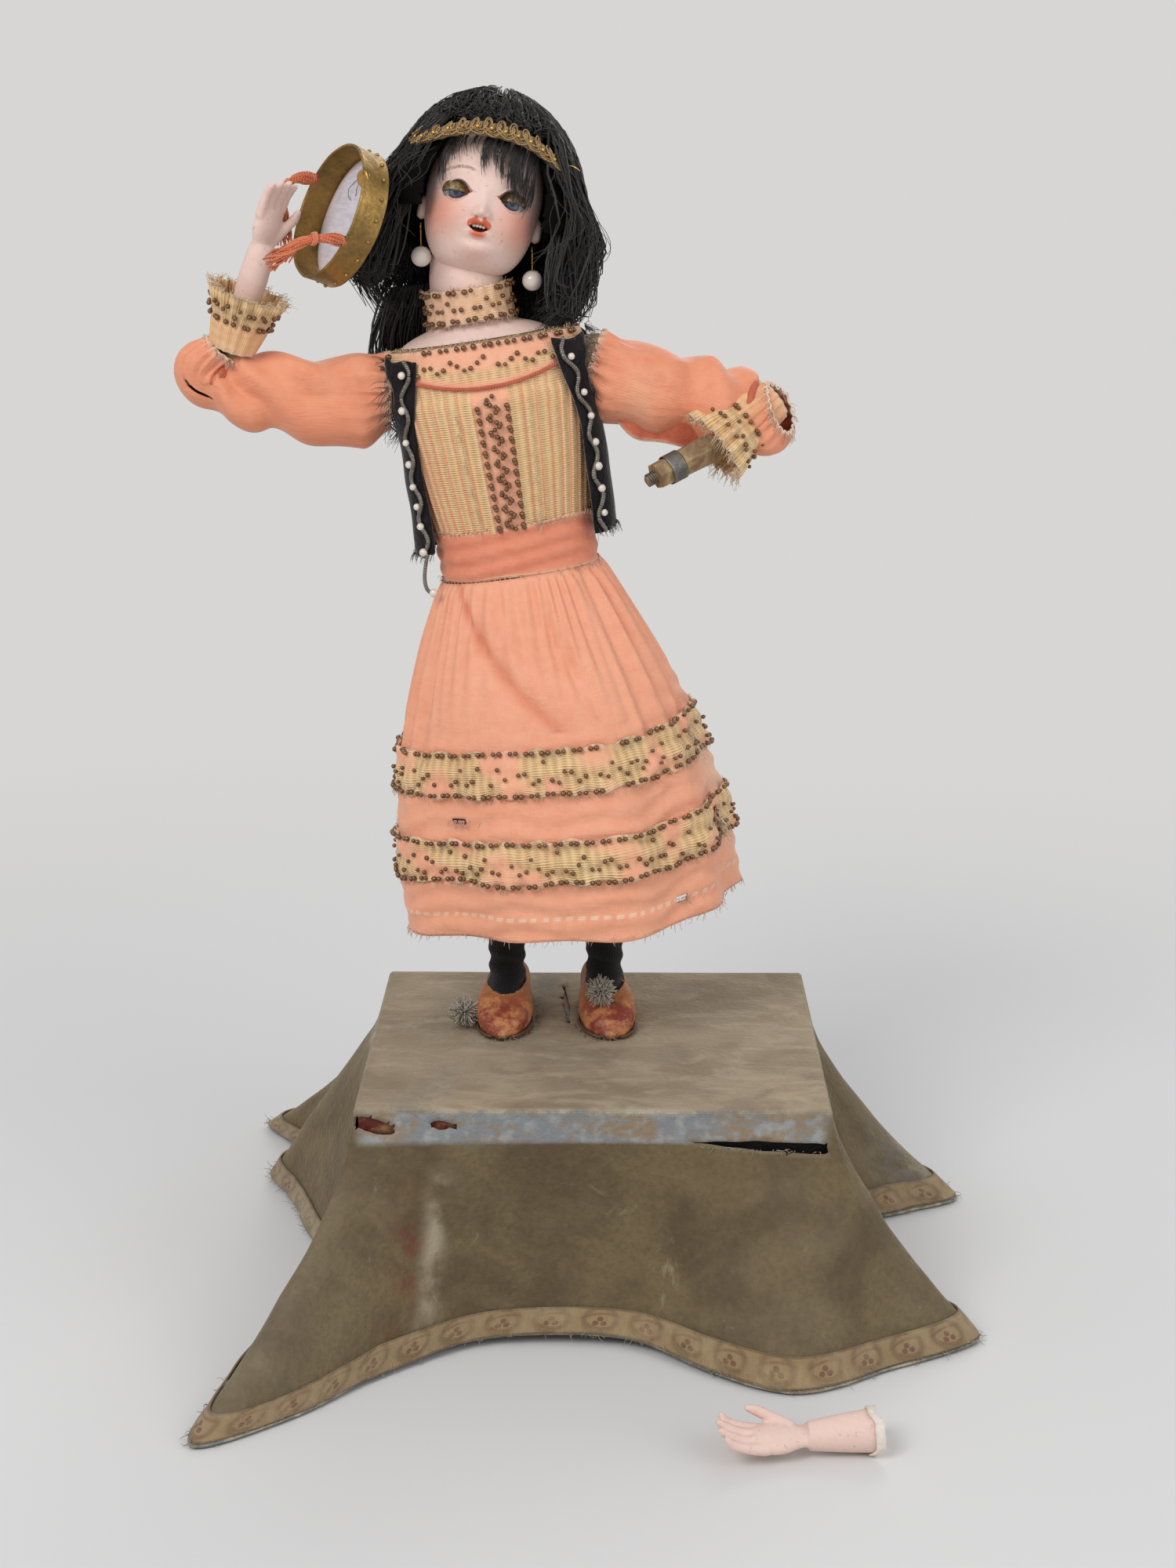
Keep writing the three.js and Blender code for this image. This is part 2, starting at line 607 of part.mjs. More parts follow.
// Cam levers on one fixed shaft, each under a push rod that climbs a leg
const followerTop = axleHeight + camRadius + camLobe + runGap;
const rodFoot = leverHeight + leverWidth / 2 + seatGap;
const rodTop = hipHeight + pelvisHeight / 2 + runGap * 4;
const leverNames = ['sway', 'arm'];
legs.forEach((x, i) => {
  const bar = box(x - camThickness / 2, x + camThickness / 2, leverShaftY - leverWidth, figureY + leverWidth,
    leverHeight - leverWidth / 2, leverHeight + leverWidth / 2);
  const foot = box(x - camThickness / 2, x + camThickness / 2, cylinderAxleY - leverWidth / 2,
    cylinderAxleY + leverWidth / 2, followerTop, leverHeight);
  piece(`${leverNames[i]}_lever`, cut(join(bar, foot),
    barX(leverShaftRadius + seatGap, x - cutOverrun, x + cutOverrun, leverShaftY, leverHeight, 12)), brass);
  piece(`${leverNames[i]}_push_rod`, barZ(rodRadius, x, figureY, rodFoot, rodTop, 10), steel);
});

// Legs and shoes: a peg through the velvet and the lid, a stockinged leg bored for its rod
const shoeSole = baseHeight + seatGap;
const legTop = hipHeight - pelvisHeight / 2 - seatGap;
const legHeights = [[0.0, 1.05], [0.12, 1.0], [0.3, 0.98], [0.6, 1.1], [1, 1.15]];
const footForward = figureY - shoeLength * 0.24;
const toeOut = [-0.085, 0.23].map((share) => share * shoeWidth);
const pompomAt = [
  point(legs[0] - shoeWidth * 0.5 - pompomRadius * 0.92, figureY - shoeLength * 0.3, shoeSole + pompomRadius),
  point(legs[1] - shoeWidth * 0.06, figureY - shoeLength * 0.42,
    shoeSole + shoeHeight * 0.95 + pompomRadius * 0.6),
];
const shoeSides = 10;
legs.forEach((x, i) => {
  const side = legNames[i];
  const core = loft(legHeights.map(([share, swell]) => ring(
    point(x, figureY, shoeSole + (legTop - shoeSole) * share), legRadius * swell, legRadius * swell, 12)));
  const instep = (grow) => new THREE.SphereGeometry(1, 8, 6)
    .scale(shoeWidth * 0.34 + grow, shoeLength * 0.36 + grow, shoeHeight * 0.66 + grow)
    .translate(x + toeOut[i] * 0.3, footForward + shoeLength * 0.13, shoeSole + shoeHeight * 0.72);
  const bore = barZ(rodRadius + runGap, x, figureY, lidBottom - cutOverrun, legTop + cutOverrun, 10);
  const peg = barZ(pegRadius, x, figureY, lidBottom, shoeSole + seatGap, 16);
  piece(`${side}_leg`, cut(join(core, instep(0), peg), bore), stocking);
  const lengthShares = [0, 0.04, 0.14, 0.3, 0.48, 0.66, 0.84, 0.95, 1];
  const widthShares = [0.2, 0.52, 0.84, 1, 0.94, 0.78, 0.74, 0.62, 0.3];
  const heightShares = [0.3, 0.5, 0.7, 0.92, 1.1, 1.15, 1.2, 1.15, 0.9];
  const last = (grow) => loft(lengthShares.map((share, r) => {
    const y = figureY + shoeLength * (share - 0.58);
    const lean = x + toeOut[i] * (0.55 - share);
    const half = shoeWidth / 2 * widthShares[r] + grow;
    const rise = shoeHeight * heightShares[r] / 2 + grow / 2;
    return Array.from({ length: shoeSides }, (_, s) => {
      const [c, h] = [Math.cos(turn(s / shoeSides)), Math.sin(turn(s / shoeSides))];
      return point(lean + half * Math.sign(c) * Math.abs(c) ** 0.8, y,
        shoeSole + rise + rise * Math.sign(h) * Math.abs(h) ** 0.6);
    });
  }));
  const opening = new THREE.SphereGeometry(1, 10, 5)
    .scale(shoeWidth * 0.36, shoeLength * 0.34, shoeHeight * 0.9)
    .translate(x + toeOut[i] * 0.1, figureY, shoeSole + shoeHeight * 1.25);
  const ankleTop = shoeSole + shoeHeight * 2;
  const ankle = barZ(legRadius * 1.05 + seatGap, x, figureY, shoeSole - cutOverrun, ankleTop, 12);
  piece(`${side}_shoe`, cut(last(0), instep(seatGap), opening, ankle), leather);
  piece(`${side}_pompom`, cut(new THREE.SphereGeometry(pompomRadius, 10, 6).scale(1, 0.8, 1)
    .translate(pompomAt[i].x, pompomAt[i].y, pompomAt[i].z), last(seatGap), instep(seatGap)), silk);
});

// Hips: a block on the legs with the pin that the body sways on
const pinReach = pelvisDepth / 2 + hipPinOverhang;
const rodBore = (x) =>
  barZ(rodRadius + runGap, x, figureY, hipHeight - pelvisHeight, hipHeight + pelvisHeight, 10);
piece('pelvis_block', cut(join(
  box(legX - pelvisWidth / 2, legX + pelvisWidth / 2, figureY - pelvisDepth / 2, figureY + pelvisDepth / 2,
    hipHeight - pelvisHeight / 2, hipHeight + pelvisHeight / 2),
  barY(hipPinRadius, legX, figureY - pinReach, figureY + pinReach, hipHeight),
), ...legs.map(rodBore)), oldWood);

// Everything above sways on the pin; from here places are counted from it, up the leaning body
torso.position.set(legX, figureY, hipHeight);
torso.rotation.y = radians(-bodyLean);

// Body outline: [height share of the whole body, half width share, half depth share]
const bodyShares = [
  [0.10, 0.40, 0.40], [0.25, 0.44, 0.44], [0.42, 0.50, 0.48], [0.47, 0.49, 0.47], [0.52, 0.50, 0.48],
  [0.64, 0.57, 0.55], [0.76, 0.63, 0.60], [0.84, 0.66, 0.58], [0.885, 0.62, 0.46],
];
function bodyRing(z, grow, sides, from = 0, to = 1) {
  const share = z / bodyHeight;
  const k = Math.max(1, Math.min(bodyShares.findIndex(([at]) => at >= share), bodyShares.length - 1));
  const low = bodyShares[k - 1];
  const high = bodyShares[k];
  const along = THREE.MathUtils.clamp((share - low[0]) / (high[0] - low[0]), 0, 1);
  const half = torsoWidth * (low[1] + (high[1] - low[1]) * along) + grow;
  const depth = torsoDepth * (low[2] + (high[2] - low[2]) * along) + grow;
  const whole = to - from === 1;
  return Array.from({ length: sides }, (_, i) => {
    const angle = turn(from + (to - from) * i / (whole ? sides : sides - 1)) - Math.PI / 2;
    const [c, s] = [Math.cos(angle), Math.sin(angle)];
    return point(half * Math.sign(c) * Math.abs(c) ** 0.85, depth * Math.sign(s) * Math.abs(s) ** 0.85, z);
  });
}
const bodyTop = bodyHeight * 0.885;
const shoulderHeight = bodyTop - shoulderDrop;
const shoulders = [-1, 1].map((side) => point(side * shoulderHalf, 0, shoulderHeight));
const [socketSides, socketRows] = [10, 7];
const socket = (grow) => shoulders.map((at) => ball(shoulderBall + runGap + grow, at, socketSides, socketRows));
const bodySides = 16;
const cheek = (y0, y1) => join(
  box(-torsoWidth * 0.16, torsoWidth * 0.16, y0, y1, 0, bodyHeight * 0.12),
  barY(torsoWidth * 0.16, 0, y0, y1, 0, 16),
);
const cheekGap = pelvisDepth / 2 + swingGap;
piece('body_core', cut(join(
  loft(bodyShares.map(([share]) => bodyRing(share * bodyHeight, 0, bodySides))),
  cheek(-cheekGap - cheekDepth, -cheekGap), cheek(cheekGap, cheekGap + cheekDepth),
), ...socket(0), barY(hipPinRadius + runGap, 0, -torsoDepth, torsoDepth, 0)), oldWood, torso);

// Bisque shoulder plate: it spreads over the chest and carries the neck
const yokeTop = bodyTop + seatGap;
const yokeRings = (grow) => [
  [0, torsoWidth * 0.5, torsoDepth * 0.42], [0.2, torsoWidth * 0.42, torsoDepth * 0.38],
  [0.5, neckRadius * 1.3, neckRadius * 1.15], [0.8, neckRadius, neckRadius],
  [1.6, neckRadius * 0.92, neckRadius * 0.92],
].map(([rise, half, depth]) =>
  ring(point(neckX, 0, yokeTop + collarHeight * rise), half + grow, depth + grow, 16));
piece('shoulder_plate', cut(loft(yokeRings(0)), ...socket(0)), bisque, torso);
const yokeKeep = loft(yokeRings(seatGap));
const neckTop = yokeTop + collarHeight * 1.6;

// Dress: bodice, sash and skirt over the body, then the vest and the collar
const heightsBetween = (z0, z1) => [z1, ...bodyShares.map(([share]) => share * bodyHeight).reverse()
  .filter((z) => z > z0 + runGap && z < z1 - runGap), z0];
const dressShell = (z0, z1, grow, thickness, sides) => {
  const heights = heightsBetween(z0, z1);
  return shell(...[grow + thickness, grow].map((out) => heights.map((z) => bodyRing(z, out, sides))));
};
const sashTop = sashBottom + sashHeight;
piece('bodice', cut(dressShell(sashTop + seatGap, bodyTop - runGap, runGap, dressThickness, bodySides),
  ...socket(0)), ribbon, torso);
const sashGap = seatGap * 2 + dressThickness;
piece('waist_sash', dressShell(sashBottom, sashTop, sashGap, dressThickness, bodySides), satin, torso);

// Skirt: gathered at the waist, falling in soft pleats to an uneven hem
const skirtTop = sashBottom - seatGap;
const pleats = 9;
const skirtDrop = skirtTop - skirtBottom;
const bandHalfShare = bandHeight / skirtDrop / 2;
const bandShares = [0.52, 0.77];
const bandEdgeShares = bandShares.flatMap((at) => [at - bandHalfShare, at + bandHalfShare]);
const skirtRowShares = [0, 0.1, 0.26, ...bandEdgeShares, 1];
const skirtSwell = (share) => 1 - (1 - Math.min(share / 0.85, 1)) ** 1.7;
const skirtColumns = 36;
const skirtRows = skirtRowShares.map((share) => {
  const waist = bodyRing(skirtTop, sashGap + skirtThickness, skirtColumns);
  return waist.map((p, i) => {
    const angle = turn(i / skirtColumns) - Math.PI / 2;
    const pleat = 0.035 * Math.cos(pleats * angle + 2 * Math.sin(angle));
    const fold = 1 + share * (pleat + 0.02 * Math.sin(4 * angle));
    const lift = hemLift * (0.6 - Math.cos(angle) + 0.4 * Math.cos(3 * angle));
    const z = skirtTop + (lift - skirtDrop) * share;
    const [halfX, halfY] = [skirtWidth / 2 * fold, skirtDepth / 2 * fold];
    const wide = point(halfX * Math.cos(angle), halfY * Math.sin(angle), z);
    return point(p.x, p.y, z).lerp(wide, skirtSwell(share));
  });
});
piece('skirt', shell(skirtRows, inset(skirtRows, skirtThickness)), satin, torso);
const bandOuter = inset(skirtRows, -seatGap - dressThickness);
const bandInner = inset(skirtRows, -seatGap);
['upper', 'lower'].forEach((name, n) => {
  const [first, last] = [3 + n * 2, 5 + n * 2];
  piece(`${name}_skirt_band`, shell(bandOuter.slice(first, last), bandInner.slice(first, last)), ribbon, torso);
});

// Black velvet vest, open down the front, with round armholes
const vestBottom = sashTop - vestOverlap;
const vestOpening = 0.13;
const vestGap = seatGap * 2 + dressThickness * 2 + runGap * 2;
const vestHeights = heightsBetween(vestBottom, bodyTop - runGap * 2);
const vestRows = (grow) =>
  vestHeights.map((z) => bodyRing(z, vestGap + grow, bodySides, vestOpening, 1 - vestOpening));
const vestShell = shell(vestRows(vestThickness), vestRows(0), { wrap: false });
piece('vest', cut(vestShell, ...socket(swingGap)), blackVelvet, torso);

// Beaded collar, with the room that it keeps clear below the head
const collarRing = (radius, z) => ring(point(neckX, 0, z), radius, radius * 0.95, 14);
const collarLow = yokeTop + collarHeight * 0.5;
const collarRows = (radius) => [0, 1].map((share) => collarRing(radius, collarLow + collarHeight * share));
const collarShell = shell(collarRows(collarRadius), collarRows(collarRadius - dressThickness * 4));
piece('collar', cut(collarShell, yokeKeep), ribbon, torso);
const neckKeep = (grow) =>
  barZ(collarRadius + grow, neckX, 0, yokeTop - collarHeight, collarLow + collarHeight + grow);

// Arms: each swings in its shoulder socket; places from the shoulder, up the leaning body
function arm([from, elbow, to], radii) {
  return tube([from, between(from, elbow, 0.5), elbow, between(elbow, to, 0.5), to], radii, 10);
}
const spare = (radius) => radius + seatGap;
// A point reached from another by shares of one length along each direction
const stepFrom = (from, length, [x, y, z]) => from.clone().add(point(x, y, z).multiplyScalar(length));
const rightShoulder = shoulders[0];
const rightElbow = stepFrom(rightShoulder, upperArmLength, [-1, -0.11, 0.167]);
const rightWrist = stepFrom(rightElbow, forearmLength, [0.469, -0.125, 0.875]);
const rightPalm = stepFrom(rightWrist, handSize, [0.31, -0.074, 0.671]);
const armRadii = [armRadius, armRadius, armRadius * 1.05, armRadius * 0.85, armRadius * 0.8];
const rightJoints = [rightShoulder, rightElbow, between(rightElbow, rightWrist, 0.3)];
const shoulderJoint = (at) => ball(shoulderBall - runGap, at, socketSides, socketRows);
piece('right_upper_arm', join(arm(rightJoints, armRadii), shoulderJoint(rightShoulder)), oldWood, torso);

// Tambourine: a brass hoop with a skin across its far end
const drum = new THREE.Group();
const drumAxis = point(-0.74, -0.47, 0.48).normalize();
const drumCentre = stepFrom(rightPalm, drumRadius, [0.86, -0.13, -0.53]);
drum.position.copy(drumCentre);
drum.quaternion.setFromUnitVectors(upward, drumAxis);
torso.add(drum);
const drumSides = 28;
const hoop = (grow) => new THREE.LatheGeometry([
  [drumRadius - drumWall - grow, -drumDepth / 2 - grow], [drumRadius + grow, -drumDepth / 2 - grow],
  [drumRadius + grow, drumDepth / 2 + grow], [drumRadius - drumWall - grow, drumDepth / 2 + grow],
  [drumRadius - drumWall - grow, -drumDepth / 2 - grow],
].map(([x, y]) => new THREE.Vector2(x, y)), drumSides).rotateX(Math.PI / 2);
const tasselTurns = [0.42, 0.68];
const hoopHoles = tasselTurns.map((share) =>
  barX(tasselHole, 0, drumRadius + cutOverrun, 0, 0, 10).rotateZ(turn(share)));
const jingleTurn = 0.93;
const jingleHoleZ = drumDepth / 2 - jingleHole * 2;
const jingleBore = barX(jingleHole, drumRadius * 0.8, drumRadius + cutOverrun, 0, jingleHoleZ, 8)
  .rotateZ(turn(jingleTurn));
piece('tambourine_rim', cut(hoop(0), ...hoopHoles, jingleBore), brass, drum);
const skinLow = skinThickness / 2 - drumDepth / 2;
const skinRadius = drumRadius - drumWall - seatGap;
piece('tambourine_skin', barZ(skinRadius, 0, 0, skinLow, skinLow + skinThickness, drumSides), parchment, drum);

// A hand: palm, four fingers and a thumb, along +Z from the wrist
function hand(length, curl) {
  const limb = (shares, radiusShares, sides, flatness) => tube(
    shares.map((share) => point(...share).multiplyScalar(length)),
    radiusShares.map((share) => share * length), sides, flatness, point(1, 0, 0));
  const palmShares = [[0, 0, -0.16], [0, 0, 0.05], [0, 0, 0.28], [0, 0, 0.5]];
  const palm = limb(palmShares, [0.13, 0.135, 0.2, 0.17], 10, 0.55);
  const fingers = [-0.15, -0.05, 0.05, 0.14].map((place, i) => limb([
    [place, 0, 0.4], [place * 1.15, -0.08 * curl, 0.66],
    [place * 1.25, -0.26 * curl, 0.88 - 0.05 * Math.abs(i - 1.5)],
  ], [0.062, 0.056, 0.036], 5, 1));
  const thumbShares = [[0.12, -0.02, 0.16], [0.24, -0.1, 0.36], [0.22, -0.22, 0.56]];
  return join(palm, ...fingers, limb(thumbShares, [0.07, 0.06, 0.04], 5, 1));
}
const handWay = rightPalm.clone().sub(rightWrist).normalize();
const handTurn = new THREE.Matrix4().makeRotationFromQuaternion(
  new THREE.Quaternion().setFromUnitVectors(upward, handWay)).setPosition(rightWrist);
const drumGap = hoop(seatGap).applyQuaternion(drum.quaternion)
  .translate(drumCentre.x, drumCentre.y, drumCentre.z);
const handSolid = join(hand(handSize, 0.5).rotateZ(Math.PI * 0.3).applyMatrix4(handTurn),
  tube([between(rightElbow, rightWrist, 0.31), between(rightElbow, rightWrist, 0.8), rightWrist.clone(),
    between(rightWrist, rightPalm, 0.12)], [armRadius * 0.8, armRadius, armRadius * 0.9, armRadius * 0.8], 10));
piece('right_forearm', cut(handSolid, drumGap), bisque, torso);

// The two yarn tassels start at the hoop's holes and hang across its open side
const tasselPath = (share, end) => {
  const start = point(drumRadius - drumWall * 2, 0, 0).applyAxisAngle(upward, turn(share))
    .applyQuaternion(drum.quaternion).add(drumCentre);
  return [start, between(start, end, 0.5), end];
};
const tasselRadii = [0.4, 1, 0.77].map((share) => share * tasselRadius);
const tasselEndShares = [[-0.36, -0.1, 0.34], [-0.5, -0.66, -0.16]];
const tasselEnds = tasselEndShares.map((share) => stepFrom(drumCentre, drumRadius, share));
['upper', 'lower'].forEach((name, i) => piece(`${name}_tassel`,
  cut(tube(tasselPath(tasselTurns[i], tasselEnds[i]), tasselRadii, 8), drumGap, handSolid), yarn, torso));

// A jingle disc on a wire ring that passes through its hole and round the hoop's open edge, hanging plumb
const plumbDown = point(0, 0, -1).applyAxisAngle(point(0, 1, 0), radians(bodyLean))
  .applyQuaternion(drum.quaternion.clone().invert());
const hoopOut = point(1, 0, 0).applyAxisAngle(upward, turn(jingleTurn));
const hoopSide = hoopOut.clone().cross(upward);
const ringCentre = hoopOut.clone().multiplyScalar(drumRadius - drumWall / 2)
  .add(point(0, 0, jingleHoleZ + jingleRing));
const ringDown = plumbDown.clone().addScaledVector(hoopSide, -plumbDown.dot(hoopSide)).normalize();
const discWay = hoopOut.clone().addScaledVector(plumbDown, -plumbDown.dot(hoopOut)).normalize();
const discRadius = jingleRing * 1.2;
const discCentre = ringCentre.clone().addScaledVector(ringDown, jingleRing)
  .addScaledVector(plumbDown, discRadius * 0.8);
piece('jingles', join(
  new THREE.TorusGeometry(jingleRing, wireRadius, 5, 12).rotateX(Math.PI / 2).rotateZ(turn(jingleTurn))
    .translate(ringCentre.x, ringCentre.y, ringCentre.z),
  new THREE.CylinderGeometry(discRadius, discRadius, wireRadius * 2, 12)
    .applyQuaternion(new THREE.Quaternion().setFromUnitVectors(point(0, 1, 0), discWay))
    .translate(discCentre.x, discCentre.y, discCentre.z),
), brass, drum);

// Sleeves and cuffs: cloth tubes round the arms, clear of the vest
function sleeve(path, radii, flatness, sides = 12) {
  const outer = ringsAlong(path, radii, sides, flatness);
  return shell(outer, inset(outer, dressThickness));
}
const sleeveShares = [0.26, 0.45, 0.7, 0.92];
const rightPath = [...sleeveShares.map((s) => between(rightShoulder, rightElbow, s)),
  stepFrom(rightElbow, sleeveRadius, [-0.24, -0.06, 0.35]),
  stepFrom(between(rightElbow, rightWrist, 0.28), sleeveRadius, [-0.06, 0, 0])];
const rightRadii = [0.72, 0.9, 1.05, 1.1, 0.95, 0.72].map((share) => share * sleeveRadius);
const cuffRows = (a, b) => [0, 0.35, 0.7, 1].map((share) => between(a, b, share));
const cuffShape = [0.72, 0.86, 0.98, 1.05].map((share) => share * cuffRadius);
const rightCuffRows = cuffRows(between(rightElbow, rightWrist, 0.31), between(rightElbow, rightWrist, 0.71));
const cuffRoom = (path) => tube(path, cuffShape.map((radius) => radius + seatGap * 2), 12);
piece('right_sleeve', cut(sleeve(rightPath, rightRadii, 1), cuffRoom(rightCuffRows),
  arm(rightJoints, armRadii.map(spare))), satin, torso);
piece('right_cuff', sleeve(rightCuffRows, cuffShape, 1), ribbon, torso);

// The left arm ends in a bare wooden peg: its hand has come off
const leftShoulder = shoulders[1];
const leftElbow = stepFrom(leftShoulder, upperArmLength, [1, -0.11, -0.39]);
const leftWrist = stepFrom(leftElbow, forearmLength, [-0.406, -0.156, -0.234]);
const stumpTip = stepFrom(leftWrist, stumpLength, [-0.87, -0.43, -0.24]);
const leftJoints = [leftShoulder, leftElbow, between(leftElbow, leftWrist, 0.3)];
piece('left_upper_arm', join(arm(leftJoints, armRadii), shoulderJoint(leftShoulder)), oldWood, torso);
const leftPath = [
  ...sleeveShares.map((s) => stepFrom(between(leftShoulder, leftElbow, s), sleeveRadius, [0.06, 0, -0.53 * s])),
  stepFrom(leftElbow, sleeveRadius, [0.35, -0.24, -0.18]),
];
const leftRadii = [0.75, 1, 1.1, 0.95, 0.7].map((share) => share * sleeveRadius);
const leftCuffRows = cuffRows(stepFrom(leftElbow, cuffRadius, [0.2, 0.13, 0.07]), leftWrist);
const leftArmKeep = arm(leftJoints, armRadii.map(spare));
const pegPath = [between(leftElbow, leftWrist, 0.45), leftWrist, stumpTip];
const pegRadii = [0.5, 0.58, 0.5].map((share) => share * stumpWidth);
const pegKeep = tube(pegPath, pegRadii.map(spare), 6);
const leftCuffRoom = cuffRoom([...leftCuffRows.slice(0, 3), leftWrist.clone().add(point(-swingGap, 0, 0))]);
piece('left_sleeve', cut(sleeve(leftPath, leftRadii, 1.05), leftCuffRoom, leftArmKeep, pegKeep), satin, torso);
piece('left_cuff', cut(sleeve(leftCuffRows, cuffShape, 1), leftArmKeep, pegKeep), ribbon, torso);
const screwWay = stumpTip.clone().sub(leftWrist).normalize();
const alongPeg = (distance) => stumpTip.clone().addScaledVector(screwWay, distance);
piece('left_forearm_peg', join(
  tube(pegPath, pegRadii, 6),
  tube([alongPeg(-runGap), alongPeg(stumpWidth * 0.4)], [stumpWidth * 0.2, stumpWidth * 0.16], 8),
), oldWood, torso);

// Head: a hollow bisque shell, open at the crown, the neck, the eyes and the mouth
head.position.set(headShift, headBack, neckTop + headRise);
head.rotation.set(radians(headPitch), radians(headRoll + bodyLean), radians(headYaw), 'YXZ');
torso.add(head);
head.updateMatrix();
const intoHead = head.matrix.clone().invert();
const headColumns = 18;
const headRows = 11;
const skull = (tilt, angle, grow) => {
  const low = Math.max(-Math.cos(tilt), 0);
  const narrow = 1 - 0.34 * low ** 1.4;
  const [c, s] = [Math.cos(angle), Math.sin(angle)];
  const front = Math.max(-s, 0);
  const chin = 0.05 * front ** 6 * Math.max(0, 1 - Math.abs(Math.cos(tilt) + 0.82) * 5);
  const nose = 0.12 * front ** 90 * Math.max(0, 1 - Math.abs(Math.cos(tilt) + 0.39) * 5);
  const reach = Math.sin(tilt) * (1 + chin + nose);
  return point(
    (headWidth / 2 + grow) * narrow * c * reach,
    (headDepth / 2 + grow) * (1 - 0.2 * low ** 2) * s * reach,
    (headHeight / 2 + grow) * Math.cos(tilt),
  );
};
function skullRows(grow, from = 0.04, to = 0.96, rows = headRows, columns = headColumns) {
  return Array.from({ length: rows }, (_, r) => {
    const tilt = Math.PI * (from + (to - from) * r / (rows - 1));
    return Array.from({ length: columns }, (__, i) => skull(tilt, turn(i / columns), grow));
  });
}
const faceAtEye = headDepth / 2 * Math.sqrt(1 - (eyeSpacing / headWidth) ** 2);
const eyeAt = (side) => point(side * eyeSpacing / 2, eyeRadius + headWall / 2 - faceAtEye, eyeLift);
const eyeCut = (side) => new THREE.SphereGeometry(1, 10, 6)
  .scale(eyeRadius * 0.9, headWall * 4, eyeRadius * 0.48)
  .translate(side * eyeSpacing / 2, -headDepth / 2 + headWall, eyeLift);
const mouthAt = { y: -headDepth * 0.44, z: -headHeight * 0.27 };
const mouthCut = new THREE.SphereGeometry(1, 10, 6)
  .scale(headWidth * 0.07, headWall * 4, headWidth * 0.025)
  .translate(0, mouthAt.y, mouthAt.z);
const earDrop = 0.17;
const ears = (grow) => [-1, 1].map((side) => new THREE.SphereGeometry(1, 7, 5)
  .scale(headWall * 0.8 + grow, headWall * 1.4 + grow, earHeight / 2 + grow)
  .translate(side * headWidth * 0.49, headDepth * 0.02, -headHeight * earDrop));
const neckRoom = neckRadius + swingGap * 1.5;
const neckOpening = barZ(neckRoom, neckX, headDepth * 0.04, -headHeight, -headHeight * 0.2, 14);
const crownOpening = barZ(headWidth * 0.3, 0, 0, headHeight * 0.3, headHeight, 14);
const eyeBall = (side, grow) => ball(eyeRadius + grow, eyeAt(side), 8, 6);
const headHollow = loft(skullRows(-headWall, 0.04, 0.96, 7, 12));
piece('head', cut(join(loft(skullRows(0)), ...ears(0)), headHollow, eyeCut(-1), eyeCut(1), mouthCut,
  eyeBall(-1, seatGap), eyeBall(1, seatGap), crownOpening, neckOpening), bisque, head);
piece('sleep_eyes', join(eyeBall(-1, 0), eyeBall(1, 0),
  barX(wireRadius * 2, -eyeSpacing / 2, eyeSpacing / 2, eyeAt(1).y, eyeLift, 8),
  barY(wireRadius * 2, 0, eyeAt(1).y - wireRadius, eyeAt(1).y + headDepth * 0.36, eyeLift, 8),
  ball(wireRadius * 7, point(0, eyeAt(1).y + headDepth * 0.36, eyeLift), 8, 6)), eyeGlass, head);
piece('teeth', box(-headWidth * 0.035, headWidth * 0.035, mouthAt.y + headWall, mouthAt.y + headWall * 1.5,
  mouthAt.z - wireRadius / 4, mouthAt.z + wireRadius * 1.6), pearl, head);

// Neck joint: a wooden nodding ball between the shoulder plate and the head
const neckBall = (grow) => ball(nodBall + grow, point(neckX, 0, neckTop + nodBall + seatGap), 10, 6);
piece('neck_joint', neckBall(0), oldWood, torso);

// Wig: a cap of mohair with side locks, cut open round the face
const hairWiden = (z) =>
  1 + hairSpread / headWidth * 1.4 * THREE.MathUtils.smoothstep(-z, -headHeight * 0.37, headHeight * 0.22);
const hairRows = (grow) => skullRows(grow, 0.02, 0.98).map((row) =>
  row.map((p) => point(p.x * hairWiden(p.z), p.y + hairThickness * 0.2, p.z)));
const wigBottom = -headHeight * 0.46;
const faceWindow = new THREE.SphereGeometry(1, 16, 10)
  .scale(headWidth * 0.53, headDepth * 0.62, headHeight * 0.53)
  .translate(0, -headDepth * 0.38, -headHeight * 0.1);
const belowHair = (back, top) => box(-headWidth * 1.5, headWidth * 1.5, -headDepth, back, -headHeight, top);
piece('wig', cut(loft(hairRows(hairThickness)), loft(skullRows(seatGap)), ...ears(seatGap * 2), faceWindow,
  belowHair(headDepth * 0.14, -headHeight * 0.2), belowHair(headDepth, wigBottom),
  neckOpening, join(neckKeep(swingGap * 2.5), neckBall(swingGap * 4)).applyMatrix4(intoHead)), mohair, head);
const bandRow = 3;
const bandEdges = (grow) => {
  const rows = inset(hairRows(hairThickness), -grow);
  const reach = headbandHeight / rows[bandRow][0].distanceTo(rows[bandRow + 1][0]);
  const [upper, lower] = [rows[bandRow], rows[bandRow + 1]];
  return [0, reach].map((share) => upper.map((p, i) => between(p, lower[i], share)));
};
piece('headband', shell(bandEdges(seatGap + bandThickness), bandEdges(seatGap)), ribbon, head);

